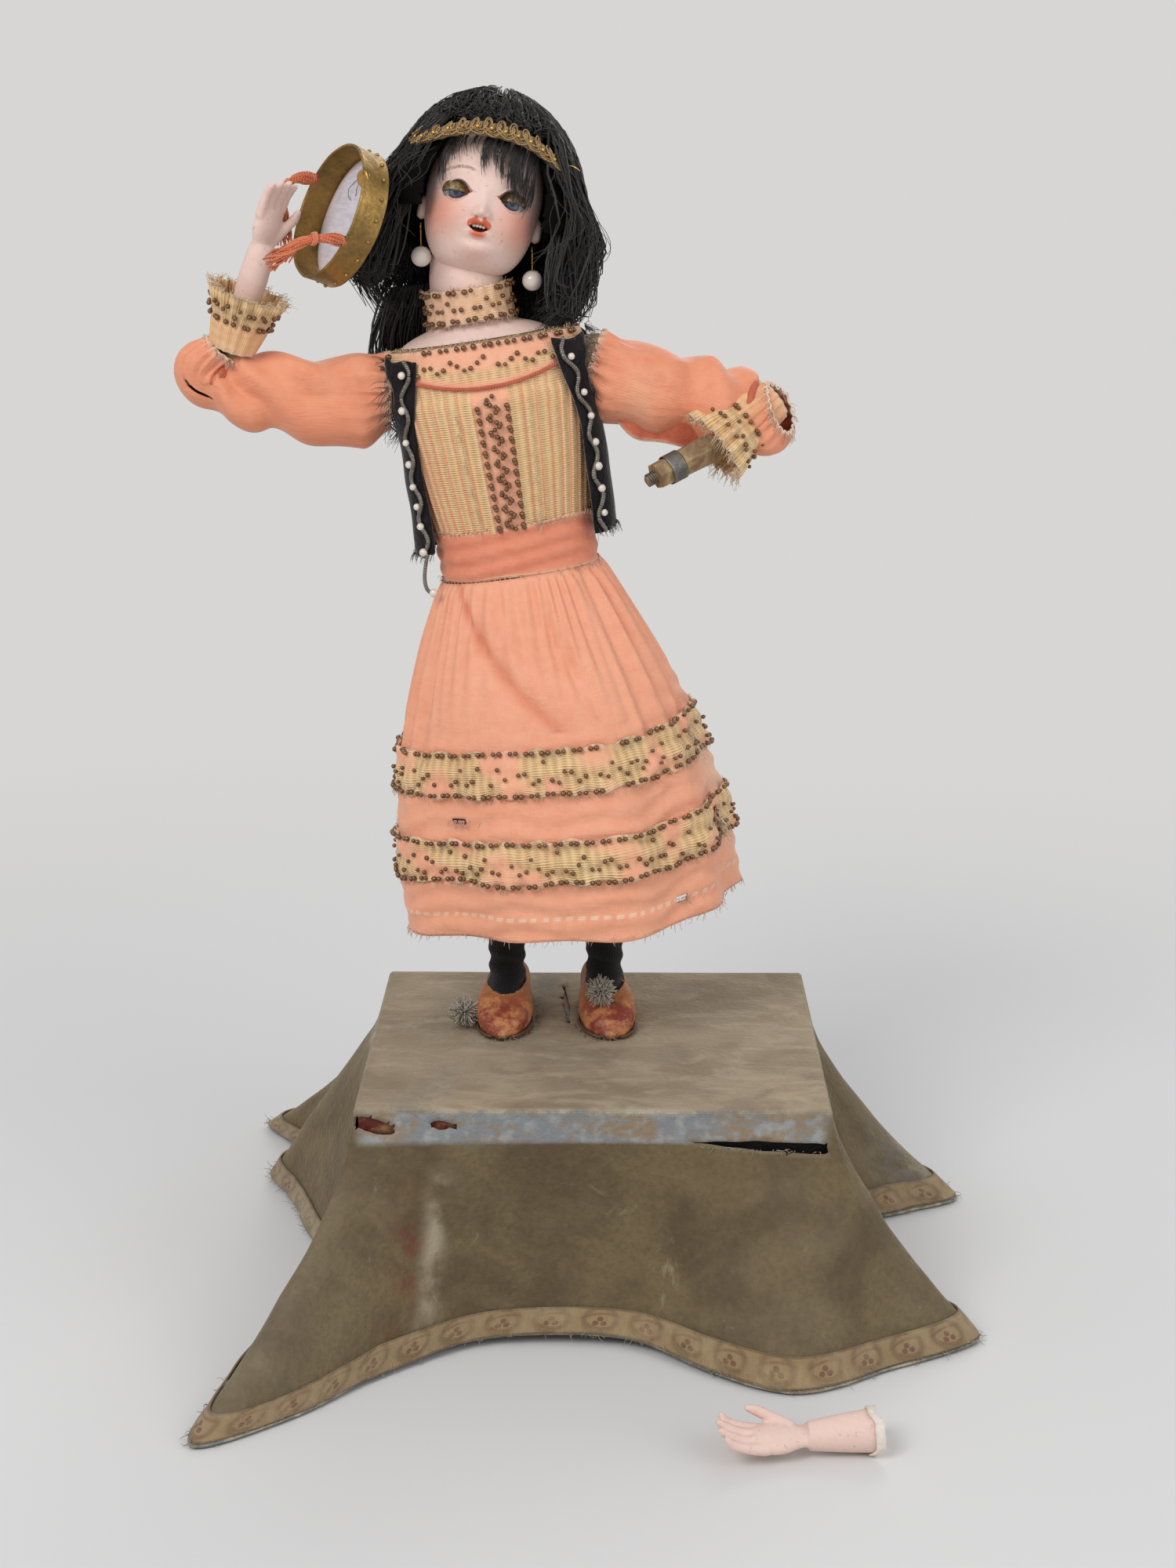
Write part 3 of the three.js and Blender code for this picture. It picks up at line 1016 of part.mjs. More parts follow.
// Long hair behind the shoulders, hung from the neck so that it nods but doesn't turn
const hairSides = 14;
const backGap = torsoDepth * 0.6 + vestGap + vestThickness + swingGap;
const hairRoot = point(0, headDepth * 0.42, wigBottom - runGap);
const hairTop = ring(hairRoot, headWidth * 0.74, hairFallDepth * 1.2, hairSides)
  .map((p) => p.applyMatrix4(head.matrix));
const hairFallShares = [[0.3, 0.74, 1], [0.6, 0.66, 0.9], [0.85, 0.46, 0.7], [1, 0.24, 0.4]];
const hairFallAt = (share) => point(
  -torsoWidth * (0.02 + 0.3 * share),
  backGap + hairFallDepth * (1 + share * 0.2),
  bodyTop + seatGap - hairDrop * (share - 0.3),
);
const hairFallRows = hairFallShares.map(([share, wide, deep]) =>
  ring(hairFallAt(share), torsoWidth * wide, hairFallDepth * deep, hairSides));
const hairFallKeep = join(neckKeep(swingGap * 1.6), loft(yokeRings(swingGap)), neckBall(swingGap));
piece('hair_fall', cut(loft([hairTop, ...hairFallRows]), hairFallKeep), mohair, torso);

// Earrings: a pearl on a wire hook, hanging plumb
const plumb = new THREE.Quaternion().setFromAxisAngle(point(0, 1, 0), radians(bodyLean));
const hookHeight = -headHeight * earDrop - earHeight / 2 - seatGap - wireRadius * 2;
['right', 'left'].forEach((side, i) => {
  const hook = point(headWidth * 0.49 * (2 * i - 1), -headDepth * 0.03, hookHeight);
  const at = hook.applyMatrix4(head.matrix);
  const mesh = piece(`${side}_earring`, join(
    ball(pearlRadius, point(0, 0, -earringDrop), 8, 6),
    barZ(wireRadius, 0, 0, -earringDrop, 0, 6),
    ball(wireRadius * 2, point(0, 0, 0), 6, 4),
  ), pearl, torso);
  mesh.position.copy(at);
  mesh.quaternion.copy(plumb);
});

// The broken-off left hand, lying on the ground before the case
const looseHand = new THREE.Group();
looseHand.position.set(looseHandX, looseHandY, handLength * 0.118);
looseHand.quaternion.setFromUnitVectors(upward, point(-0.98, -0.12, -0.03).normalize());
model.add(looseHand);
const wristTube = (shares, radiusShares, sides) => tube(
  shares.map((share) => point(0, 0, share * handLength)),
  radiusShares.map((share) => share * handLength), sides);
const looseSolid = join(hand(handLength * 0.62, 0.6).rotateZ(Math.PI / 2),
  wristTube([-0.4, -0.2, 0], [0.13, 0.11, 0.085], 12));
piece('loose_left_hand', cut(looseSolid, wristTube([-0.5, -0.1], [0.09, 0.06], 10)), bisque, looseHand);

export default model;
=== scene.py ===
"""Looks of an automaton doll with a tambourine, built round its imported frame.

Arrays are worked out in millimetres and written to the meshes in metres.
"""

import json
import math

import bpy
import numpy as np
from mathutils import Matrix, Vector

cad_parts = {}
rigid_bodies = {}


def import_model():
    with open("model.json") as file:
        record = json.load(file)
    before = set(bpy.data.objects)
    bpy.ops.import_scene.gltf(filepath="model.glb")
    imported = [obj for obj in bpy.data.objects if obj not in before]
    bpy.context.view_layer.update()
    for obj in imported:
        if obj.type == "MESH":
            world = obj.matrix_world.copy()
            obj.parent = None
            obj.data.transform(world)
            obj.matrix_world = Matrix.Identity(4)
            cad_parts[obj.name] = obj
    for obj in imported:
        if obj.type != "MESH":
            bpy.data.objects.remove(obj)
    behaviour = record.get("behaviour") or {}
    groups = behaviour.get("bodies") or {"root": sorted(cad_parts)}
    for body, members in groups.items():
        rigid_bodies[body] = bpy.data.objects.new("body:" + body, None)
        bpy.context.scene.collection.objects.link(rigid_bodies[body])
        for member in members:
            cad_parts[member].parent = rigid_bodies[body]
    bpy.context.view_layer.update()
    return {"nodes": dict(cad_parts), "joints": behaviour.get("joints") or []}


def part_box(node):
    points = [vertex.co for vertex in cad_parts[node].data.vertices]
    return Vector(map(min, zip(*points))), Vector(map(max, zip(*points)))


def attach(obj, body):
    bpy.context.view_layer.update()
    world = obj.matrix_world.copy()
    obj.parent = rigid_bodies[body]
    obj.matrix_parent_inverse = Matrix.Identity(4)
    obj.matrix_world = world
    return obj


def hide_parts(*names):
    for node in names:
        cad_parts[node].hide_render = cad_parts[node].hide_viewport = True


bl_info = {
    "name": "Automaton doll looks",
    "version": (1, 0, 0),
    "blender": (4, 5, 0),
    "location": "View3D > Sidebar > Doll",
    "description": "Dresses the packed frame of a dancing automaton doll",
    "category": "Object",
}

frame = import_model()
NODES = frame["nodes"]
MM = 0.001
FULL = 2 * math.pi

# The leaning body's frame: origin on the hip pin, rows are its axes in the world
LEAN = math.radians(8.5)
HIP = np.array([-18.4, 28.0, 218.0])
TORSO_AXES = np.array([
    [math.cos(LEAN), 0, math.sin(LEAN)],
    [0, 1, 0],
    [-math.sin(LEAN), 0, math.cos(LEAN)],
])
# The head's frame, from the joints that turn it and its eyes
JOINTS = {joint["name"]: joint for joint in frame["joints"]}
HEAD_ORIGIN = np.array(JOINTS["head_turn"]["pos_m"]) * 1000
HEAD_X = np.array(JOINTS["eyes_blink"]["axis"], float)
HEAD_Z = np.array(JOINTS["head_turn"]["axis"], float)
HEAD_X /= np.linalg.norm(HEAD_X)
HEAD_Z /= np.linalg.norm(HEAD_Z)
HEAD_AXES = np.array([HEAD_X, np.cross(HEAD_Z, HEAD_X), HEAD_Z])


def on_torso(points):
    """Points of the leaning body's frame, put in the world."""
    return HIP + np.asarray(points, float) @ TORSO_AXES


def on_head(points):
    """Points of the head's frame, put in the world."""
    return HEAD_ORIGIN + np.asarray(points, float) @ HEAD_AXES


# Small sums


def xyz(x, y, z):
    """Three arrays or numbers as one array of points."""
    return np.stack(np.broadcast_arrays(x, y, z), -1).astype(float)


def unit(vectors):
    """Vectors divided by their lengths."""
    return vectors / np.maximum(np.linalg.norm(vectors, axis=-1, keepdims=True), 1e-9)


def soft_step(value, low, high):
    """0 below low, 1 above high, and 3t^2 - 2t^3 between, where t is the share of the way."""
    share = np.clip((value - low) / (high - low), 0, 1)
    return share * share * (3 - 2 * share)


def hump(value, centre, width):
    """A bell: e to the power of minus the square of the distance over the width."""
    return np.exp(-(((value - centre) / width) ** 2))


def ripples(seed, places, count, low, high):
    """Sines of random direction and wave number from low to high, summed over the places, about -1 to 1."""
    rng = np.random.default_rng(seed)
    places = np.asarray(places, float)
    ways = unit(rng.normal(size=(count, places.shape[-1]))) * rng.uniform(low, high, (count, 1))
    total = np.zeros(places.shape[:-1])
    for way, phase in zip(ways, rng.uniform(0, FULL, count)):
        total += np.sin(places @ way + phase)
    return total / math.sqrt(count)


def on_ball(down, across):
    """Points on a ball of radius 1, from shares of the way down and round."""
    return xyz(np.sin(down * math.pi) * np.cos(across * FULL), np.sin(down * math.pi) * np.sin(across * FULL),
               np.cos(down * math.pi))


def signed_power(value, power):
    """Sign of the value times its size to a power."""
    return np.sign(value) * np.abs(value) ** power


def spline(stations, shares, closed=False):
    """Points at shares 0 to 1 of a Catmull-Rom curve whose knots are spaced by the root of each span."""
    stations = np.asarray(stations, float)
    count = len(stations)
    spans = count if closed else count - 1
    at = np.clip(np.asarray(shares, float), 0, 1) * spans
    first = np.minimum(at.astype(int), spans - 1)
    t = (at - first)[..., None]
    if closed:
        p0, p1, p2, p3 = (stations[(first + k) % count] for k in (-1, 0, 1, 2))
    else:
        padded = np.concatenate([2 * stations[:1] - stations[1:2], stations,
                                 2 * stations[-1:] - stations[-2:-1]])
        p0, p1, p2, p3 = (padded[first + k] for k in (0, 1, 2, 3))
    d0, d1, d2 = (np.maximum(np.linalg.norm(b - a, axis=-1, keepdims=True) ** 0.5, 1e-6)
                  for a, b in ((p0, p1), (p1, p2), (p2, p3)))
    m1 = ((p1 - p0) / d0 - (p2 - p0) / (d0 + d1) + (p2 - p1) / d1) * d1
    m2 = ((p2 - p1) / d1 - (p3 - p1) / (d1 + d2) + (p3 - p2) / d2) * d1
    return ((2 * t**3 - 3 * t**2 + 1) * p1 + (t**3 - 2 * t**2 + t) * m1
            + (3 * t**2 - 2 * t**3) * p2 + (t**3 - t**2) * m2)


# Meshes


class Heap:
    """Points, faces, UVs in metres and point values of several shapes, gathered for one mesh."""

    def __init__(self):
        self.points, self.faces, self.size = [], {3: [], 4: []}, 0
        self.values = {}

    def add(self, points, quads=None, tris=None, slot=0, **values):
        """Takes points (n, 3) and faces as pairs (corners, UVs of the corners)."""
        points = np.asarray(points, float).reshape(-1, 3)
        for sides, given in ((4, quads), (3, tris)):
            if given is not None and len(given[0]):
                self.faces[sides].append((given[0] + self.size, given[1], np.full(len(given[0]), slot)))
        for name, value in values.items():
            self.values.setdefault(name, []).append((self.size, np.broadcast_to(value, (len(points),))))
        self.points.append(points)
        self.size += len(points)

    def grid(self, points, wrap=False, caps=(False, False), keep=None, uv=None, out=None, slot=0, **values):
        """Quads between rows and columns of points (rows, columns, 3), with a fan over a capped end."""
        points = np.asarray(points, float)
        rows, columns = points.shape[:2]
        uv = sheet_uv(points, wrap) if uv is None else uv
        r, c = np.meshgrid(np.arange(rows - 1), np.arange(columns if wrap else columns - 1), indexing="ij")
        r, c = r.ravel(), c.ravel()
        if keep is not None:
            if keep.dtype != bool:
                points = eased(points, keep, wrap)
                keep = keep > 0
            chosen = keep[r, c] & keep[r + 1, c] & keep[r, (c + 1) % columns] & keep[r + 1, (c + 1) % columns]
            r, c = r[chosen], c[chosen]
        corners = [(r, c), (r, c + 1), (r + 1, c + 1), (r + 1, c)]
        quads = np.stack([a * columns + b % columns for a, b in corners], 1)
        quad_uv = np.stack([uv[a, b] for a, b in corners], 1)
        flat = points.reshape(-1, 3)
        tris, tri_uv = np.zeros((0, 3), int), np.zeros((0, 3, 2))
        ring = np.arange(columns)
        for end, capped in zip((0, rows - 1), caps):
            if capped:
                tip = len(flat)
                flat = np.concatenate([flat, points[end].mean(0, keepdims=True)])
                fan = np.stack([np.full(columns, tip), end * columns + (ring + 1) % columns,
                                end * columns + ring], 1)
                if end:
                    fan = fan[:, ::-1]
                tris = np.concatenate([tris, fan])
                middle = uv[end].mean(0)
                fan_uv = np.stack([np.broadcast_to(middle, (columns, 2)), uv[end, ring], uv[end, ring]], 1)
                tri_uv = np.concatenate([tri_uv, fan_uv])
        flip = faces_inward(flat, quads) if out is None else not out
        if flip:
            quads, quad_uv = quads[:, ::-1], quad_uv[:, ::-1]
            tris, tri_uv = tris[:, ::-1], tri_uv[:, ::-1]
        extra = len(flat) - rows * columns
        values = {k: np.concatenate([np.broadcast_to(v, (rows, columns)).ravel(), np.zeros(extra)])
                  for k, v in values.items()}
        self.add(flat, (quads, quad_uv), (tris, tri_uv), slot, **values)

    def tubes(self, paths, radii, sides=5, up=None, slot=0, flat=1.0, **values):
        """Strands along many lines at once: a ring about each point, square to the line."""
        paths = np.asarray(paths, float)
        count, steps = paths.shape[:2]
        radii = np.broadcast_to(np.asarray(radii, float), (count, steps))
        way = unit(np.gradient(paths, axis=1))
        if up is None:
            chord = np.abs(paths[:, -1] - paths[:, 0])
            up = np.eye(3)[np.argmin(chord, axis=1)]
        up = np.broadcast_to(up, (count, 3))
        side = unit(np.cross(way, up[:, None]))
        other = np.cross(way, side)
        angle = FULL * np.arange(sides) / sides
        ring = (np.cos(angle)[:, None] * side[:, :, None] + np.sin(angle)[:, None] * flat * other[:, :, None])
        points = paths[:, :, None] + radii[:, :, None, None] * ring
        tips = np.stack([paths[:, 0], paths[:, -1]], 1).reshape(-1, 3)
        n, p, s = np.meshgrid(np.arange(count), np.arange(steps - 1), np.arange(sides), indexing="ij")
        base = lambda pp, ss: ((n * steps + pp) * sides + ss % sides).ravel()
        quads = np.stack([base(p, s), base(p, s + 1), base(p + 1, s + 1), base(p + 1, s)], 1)
        run = np.concatenate([np.zeros((count, 1)),
                              np.cumsum(np.linalg.norm(np.diff(paths, axis=1), axis=2), 1)], 1)
        u = lambda ss: (ss / sides * FULL * radii.mean()).ravel()
        quad_uv = np.stack([np.stack([u(a), run[n, b].ravel()], 1) for a, b in
                            ((s, p), (s + 1, p), (s + 1, p + 1), (s, p + 1))], 1) * MM
        first = count * steps * sides
        n2, s2 = (a.ravel() for a in np.meshgrid(np.arange(count), np.arange(sides), indexing="ij"))
        near = [n2 * 2 + first, (n2 * steps) * sides + (s2 + 1) % sides, (n2 * steps) * sides + s2]
        last = (n2 * steps + steps - 1) * sides
        far = [n2 * 2 + 1 + first, last + s2, last + (s2 + 1) % sides]
        tris = np.concatenate([np.stack(near, 1), np.stack(far, 1)])
        spread = {}
        for name, value in values.items():
            value = np.broadcast_to(np.asarray(value, float).reshape(count, -1), (count, steps))
            spread[name] = np.concatenate([np.repeat(value.ravel(), sides), value[:, [0, -1]].ravel()])
        self.add(np.concatenate([points.reshape(-1, 3), tips]), (quads, quad_uv),
                 (tris, np.zeros((len(tris), 3, 2))), slot, **spread)

    def beads(self, centres, radius, rows=4, sides=6, squash=None, slot=0, **values):
        """Balls of a few faces, rings between two poles, drawn in along squash (way, share)."""
        centres = np.asarray(centres, float).reshape(-1, 3)
        radius = np.broadcast_to(np.asarray(radius, float), (len(centres),))
        tilt = math.pi * np.arange(1, rows) / rows
        angle = FULL * np.arange(sides) / sides
        rings = xyz(np.sin(tilt)[:, None] * np.cos(angle), np.sin(tilt)[:, None] * np.sin(angle),
                    np.cos(tilt)[:, None] + 0 * angle).reshape(-1, 3)
        ball = np.concatenate([rings, [[0, 0, 1], [0, 0, -1]]])
        size = len(ball)
        offset = radius[:, None, None] * ball
        if squash is not None:
            way = unit(np.broadcast_to(squash[0], centres.shape))
            offset = (offset - ((offset * way[:, None]).sum(-1, keepdims=True) * way[:, None])
                      * (1 - squash[1]))
        r, s = (a.ravel() for a in np.meshgrid(np.arange(rows - 2), np.arange(sides), indexing="ij"))
        quads = np.stack([r * sides + s, (r + 1) * sides + s, (r + 1) * sides + (s + 1) % sides,
                          r * sides + (s + 1) % sides], 1)
        s = np.arange(sides)
        low = (rows - 2) * sides
        tris = np.concatenate([
            np.stack([np.full(sides, size - 2), s, (s + 1) % sides], 1),
            np.stack([np.full(sides, size - 1), low + (s + 1) % sides, low + s], 1)])
        step = (np.arange(len(centres)) * size)[:, None, None]
        quads = (quads + step).reshape(-1, 4)
        tris = (tris + step).reshape(-1, 3)
        values = {k: np.repeat(np.broadcast_to(v, (len(centres),)), size) for k, v in values.items()}
        self.add((centres[:, None] + offset).reshape(-1, 3), (quads, np.zeros((len(quads), 4, 2))),
                 (tris, np.zeros((len(tris), 3, 2))), slot, **values)

    def build(self, name, *materials, body="torso", slot=None, replaces=(), thickness=0, inner=0,
              offset=-1.0):
        """Writes the mesh, gives it its materials, and has the piece ride its body."""
        mesh = bpy.data.meshes.new(name)
        mesh.vertices.add(self.size)
        mesh.vertices.foreach_set("co", (np.concatenate(self.points) * MM).astype(np.float32).ravel())
        found = [(sides, face) for sides in (4, 3) for face in self.faces[sides]]
        corners = np.concatenate([face[0].ravel() for _, face in found])
        counts = np.concatenate([np.full(len(face[0]), sides) for sides, face in found])
        mesh.loops.add(len(corners))
        mesh.loops.foreach_set("vertex_index", corners.astype(np.int32))
        mesh.polygons.add(len(counts))
        mesh.polygons.foreach_set("loop_start",
                                  np.concatenate([[0], np.cumsum(counts)[:-1]]).astype(np.int32))
        mesh.update(calc_edges=True)
        mesh.polygons.foreach_set("material_index",
                                  np.concatenate([face[2] for _, face in found]).astype(np.int32))
        mesh.polygons.foreach_set("use_smooth", np.ones(len(counts), bool))
        layer = mesh.uv_layers.new(name="UVMap")
        layer.data.foreach_set("uv", np.concatenate([face[1].reshape(-1, 2) for _, face in found])
                               .astype(np.float32).ravel())
        for label, parts in self.values.items():
            full = np.zeros(self.size, np.float32)
            for start, value in parts:
                full[start:start + len(value)] = value
            mesh.attributes.new(label, "FLOAT", "POINT").data.foreach_set("value", full)
        for material in materials:
            mesh.materials.append(material)
        piece = bpy.data.objects.new(name, mesh)
        bpy.context.scene.collection.objects.link(piece)
        if thickness:
            wall = piece.modifiers.new("wall", "SOLIDIFY")
            wall.thickness = thickness * MM
            wall.offset = offset
            wall.material_offset = inner
            wall.material_offset_rim = 0
        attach(piece, body)
        if replaces:
            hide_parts(*replaces)
        return piece


def eased(points, level, wrap):
    """Moves the kept points at a hole's edge to where the level passes zero, so that the edge runs smooth."""
    best = np.full(level.shape, 0.96)
    moved = points.copy()
    for down in (-1, 0, 1):
        for along in (-1, 0, 1):
            other = np.roll(level, (down, along), (0, 1))
            place = np.roll(points, (down, along), (0, 1))
            near = (level > 0) & (other <= 0)
            if down:
                near[0 if down > 0 else -1] = False
            if along and not wrap:
                near[:, 0 if along > 0 else -1] = False
            share = level / np.where(near, level - other, 1)
            take = near & (share < best)
            best[take] = share[take]
            moved[take] = (points + (place - points) * share[..., None])[take]
    return moved


def faces_inward(points, quads):
    """True where most quads look towards the middle of the shape."""
    a, b, c, d = (points[quads[:, k]] for k in range(4))
    normal = np.cross(c - a, d - b)
    centre = (a + b + c + d) / 4
    return float((normal * (centre - centre.mean(0))).sum()) < 0


def sheet_uv(points, wrap):
    """UVs in metres: u is the mean length along the rows, v the mean length down the columns."""
    closed = np.concatenate([points, points[:, :1]], 1) if wrap else points
    across = np.linalg.norm(np.diff(closed, axis=1), axis=2).mean(0)
    down = np.linalg.norm(np.diff(closed, axis=0), axis=2).mean(1)
    u = np.concatenate([[0], np.cumsum(across)])
    v = np.concatenate([[0], np.cumsum(down)])
    return np.stack(np.broadcast_arrays(u[None, :], v[:, None]), -1) * MM


def lattice(rows, columns, low=(0, 0), high=(1, 1), wrap=False):
    """Two arrays of shares: down from low[0] to high[0], and across from low[1] to high[1]."""
    down = np.linspace(low[0], high[0], rows)
    across = np.linspace(low[1], high[1], columns, endpoint=not wrap)
    return np.meshgrid(down, across, indexing="ij")


def lifted(surface, across, down, out):
    """Points of surface(across, down) moved out by a distance along its normal, from small steps each way."""
    step = 1e-3
    along = surface(across + step, down) - surface(across - step, down)
    below = surface(across, down + step) - surface(across, down - step)
    return surface(across, down) + unit(np.cross(below, along)) * np.asarray(out, float)[..., None]


def tube_surface(path, radii, ups):
    """A surface round a curved line: surface(turn, share) has the radius of that share of the line."""
    path, radii = np.asarray(path, float), np.asarray(radii, float)

    def surface(turns, shares):
        middle = spline(path, shares)
        way = unit(spline(path, np.clip(shares + 0.01, 0, 1)) - spline(path, np.clip(shares - 0.01, 0, 1)))
        side = unit(np.asarray(ups, float) - (way @ np.asarray(ups, float))[..., None] * way)
        other = np.cross(way, side)
        radius = spline(radii[:, None], shares)
        angle = turns[..., None] * FULL
        return middle + radius * (np.cos(angle) * side - np.sin(angle) * other)

    return surface


# Shader nodes


def rgb(code):
    """A colour given as a web code, in the linear values that shaders use."""
    parts = [int(code[i:i + 2], 16) / 255 for i in (1, 3, 5)]
    return tuple(p / 12.92 if p <= 0.04045 else ((p + 0.055) / 1.055) ** 2.4 for p in parts)


def colour_of(value):
    """The linear colour that a web code or the name of one of the panel's colours stands for."""
    if isinstance(value, str):
        return rgb(value) if value.startswith("#") else tuple(getattr(looks(), value))
    return value


class Tree:
    """Short words for laying shader nodes in one node tree."""

    def __init__(self, tree):
        self.tree = tree

    def plug(self, socket, value):
        if isinstance(value, bpy.types.NodeSocket):
            self.tree.links.new(value, socket)
        elif socket.type == "RGBA":
            socket.default_value = (*colour_of(value), 1)
        else:
            socket.default_value = value

    def add(self, kind, *args, settings=None, **named):
        made = self.tree.nodes.new("ShaderNode" + kind)
        for key, value in (settings or {}).items():
            setattr(made, key, value)
        for i, value in enumerate(args):
            if value is not None:
                self.plug(made.inputs[i], value)
        for key, value in named.items():
            self.plug(made.inputs[key.replace("_", " ")], value)
        return made

    def sum(self, operation, *args, clamp=False):
        return self.add("Math", *args, settings={"operation": operation, "use_clamp": clamp}).outputs[0]

    def mul(self, a, b):
        return self.sum("MULTIPLY", a, b)

    def plus(self, a, b):
        return self.sum("ADD", a, b)

    def less(self, a, b, clamp=False):
        return self.sum("SUBTRACT", a, b, clamp=clamp)

    def over(self, a, b):
        return self.sum("DIVIDE", a, b)

    def most(self, first, *others):
        for other in others:
            first = self.sum("MAXIMUM", first, other)
        return first

    def mix(self, share, a, b, blend="MIX"):
        made = self.add("Mix", settings={"data_type": "RGBA", "blend_type": blend})
        for socket, value in zip((made.inputs[0], made.inputs[6], made.inputs[7]), (share, a, b)):
            self.plug(socket, value)
        return made.outputs[2]

    def step(self, value, low, high):
        made = self.add("MapRange", value, low, high, settings={"interpolation_type": "SMOOTHSTEP"})
        return made.outputs[0]

    def noise(self, vector, scale, detail=4.0, roughness=0.55, distortion=0.0):
        return self.add("TexNoise", Vector=vector, Scale=scale, Detail=detail, Roughness=roughness,
                        Distortion=distortion).outputs[0]

    def place(self, vector, scale=(1, 1, 1), turn=(0, 0, 0), shift=(0, 0, 0)):
        return self.add("Mapping", Vector=vector, Location=shift, Rotation=turn, Scale=scale).outputs[0]

    def objects(self):
        return self.add("TexCoord").outputs["Object"]

    def uv(self):
        return self.add("TexCoord").outputs["UV"]

    def value(self, name):
        return self.add("Attribute", settings={"attribute_name": name}).outputs["Fac"]

    def split(self, vector):
        return self.add("SeparateXYZ", vector).outputs

    def group(self, tree, **inputs):
        made = self.add("Group", settings={"node_tree": tree}, **inputs)
        return made.outputs


def shared_group(name, inputs, outputs, lay):
    """A shader node group with inputs (label, kind, value), laid once by lay(tree, sockets)."""
    tree = bpy.data.node_groups.get(name)
    if tree:
        return tree
    tree = bpy.data.node_groups.new(name, "ShaderNodeTree")
    for label, kind, value in inputs:
        socket = tree.interface.new_socket(label, in_out="INPUT", socket_type="NodeSocket" + kind)
        if value is not None:
            socket.default_value = value
    for label, kind in outputs:
        tree.interface.new_socket(label, in_out="OUTPUT", socket_type="NodeSocket" + kind)
    start = tree.nodes.new("NodeGroupInput")
    end = tree.nodes.new("NodeGroupOutput")
    for label, socket in lay(Tree(tree), start.outputs).items():
        tree.links.new(socket, end.inputs[label])
    return tree


def weave_group():
    """Threads: the product of two sines gives height, and a fine noise gives each thread its tone."""

    def lay(t, ins):
        u, v, _ = t.split(ins["Vector"])
        warp = t.sum("SINE", t.mul(u, ins["Across"]))
        weft = t.sum("SINE", t.mul(v, ins["Along"]))
        height = t.plus(t.mul(warp, ins["Rib"]), t.mul(t.mul(warp, weft), 0.5))
        tone = t.noise(t.place(ins["Vector"], (900, 60, 1)), 1.0, 2)
        return {"Height": height, "Tone": tone}

    return shared_group("Thread weave", [("Vector", "Vector", None), ("Across", "Float", 3000.0),
                                         ("Along", "Float", 3000.0), ("Rib", "Float", 0.5)],
                        [("Height", "Float"), ("Tone", "Float")], lay)


def mottle_group():
    """Broad and fine patches: noises at the scale and at nine times it, pulled towards 0 and 1."""

    def lay(t, ins):
        broad = t.step(t.noise(ins["Vector"], ins["Scale"], 5, 0.6, 0.6), 0.35, 0.65)
        fine = t.step(t.noise(ins["Vector"], t.mul(ins["Scale"], 9.0), 3, 0.6), 0.35, 0.65)
        return {"Broad": broad, "Fine": fine}

    return shared_group("Mottle", [("Vector", "Vector", None), ("Scale", "Float", 40.0)],
                        [("Broad", "Float"), ("Fine", "Float")], lay)


def rub_group():
    """Edge wear: convex places broken up by a noise, from 0 to 1."""

    def lay(t, ins):
        edge = t.step(t.add("NewGeometry").outputs["Pointiness"], 0.5, 0.56)
        broken = t.step(t.noise(ins["Vector"], ins["Scale"], 6, 0.7), 0.42, 0.62)
        scratch = t.step(t.noise(t.place(ins["Vector"], (1, 1, 9)), t.mul(ins["Scale"], 1.7), 3), 0.62, 0.72)
        worn = t.most(t.mul(edge, broken), t.mul(scratch, ins["Scratches"]))
        return {"Worn": t.mul(worn, ins["Amount"])}

    return shared_group("Rubbed edges", [("Vector", "Vector", None), ("Scale", "Float", 160.0),
                                         ("Scratches", "Float", 0.3), ("Amount", "Float", 1.0)],
                        [("Worn", "Float")], lay)


def dust_group():
    """Dust: faces that look up, times a broad noise."""

    def lay(t, ins):
        up = t.step(t.split(t.add("NewGeometry").outputs["Normal"])[2], 0.25, 1.0)
        return {"Dust": t.mul(t.mul(up, t.noise(ins["Vector"], 55.0, 5)), ins["Amount"])}

    return shared_group("Settled dust", [("Vector", "Vector", None), ("Amount", "Float", 0.5)],
                        [("Dust", "Float")], lay)


def spot_group():
    """A soft-edged ellipse on the face: 1 inside, 0 outside, from half widths and half heights."""

    def lay(t, ins):
        u, v, _ = t.split(ins["Vector"])
        across = t.over(t.less(u, ins["X"]), ins["Half width"])
        down = t.over(t.less(v, ins["Y"]), ins["Half height"])
        far = t.sum("SQRT", t.plus(t.mul(across, across), t.mul(down, down)))
        inner = t.less(1.0, ins["Softness"])
        outer = t.plus(1.0, ins["Softness"])
        return {"Inside": t.less(1.0, t.step(far, inner, outer))}

    return shared_group("Painted spot", [("Vector", "Vector", None), ("X", "Float", 0.0), ("Y", "Float", 0.0),
                                         ("Half width", "Float", 1.0), ("Half height", "Float", 1.0),
                                         ("Softness", "Float", 0.2)], [("Inside", "Float")], lay)


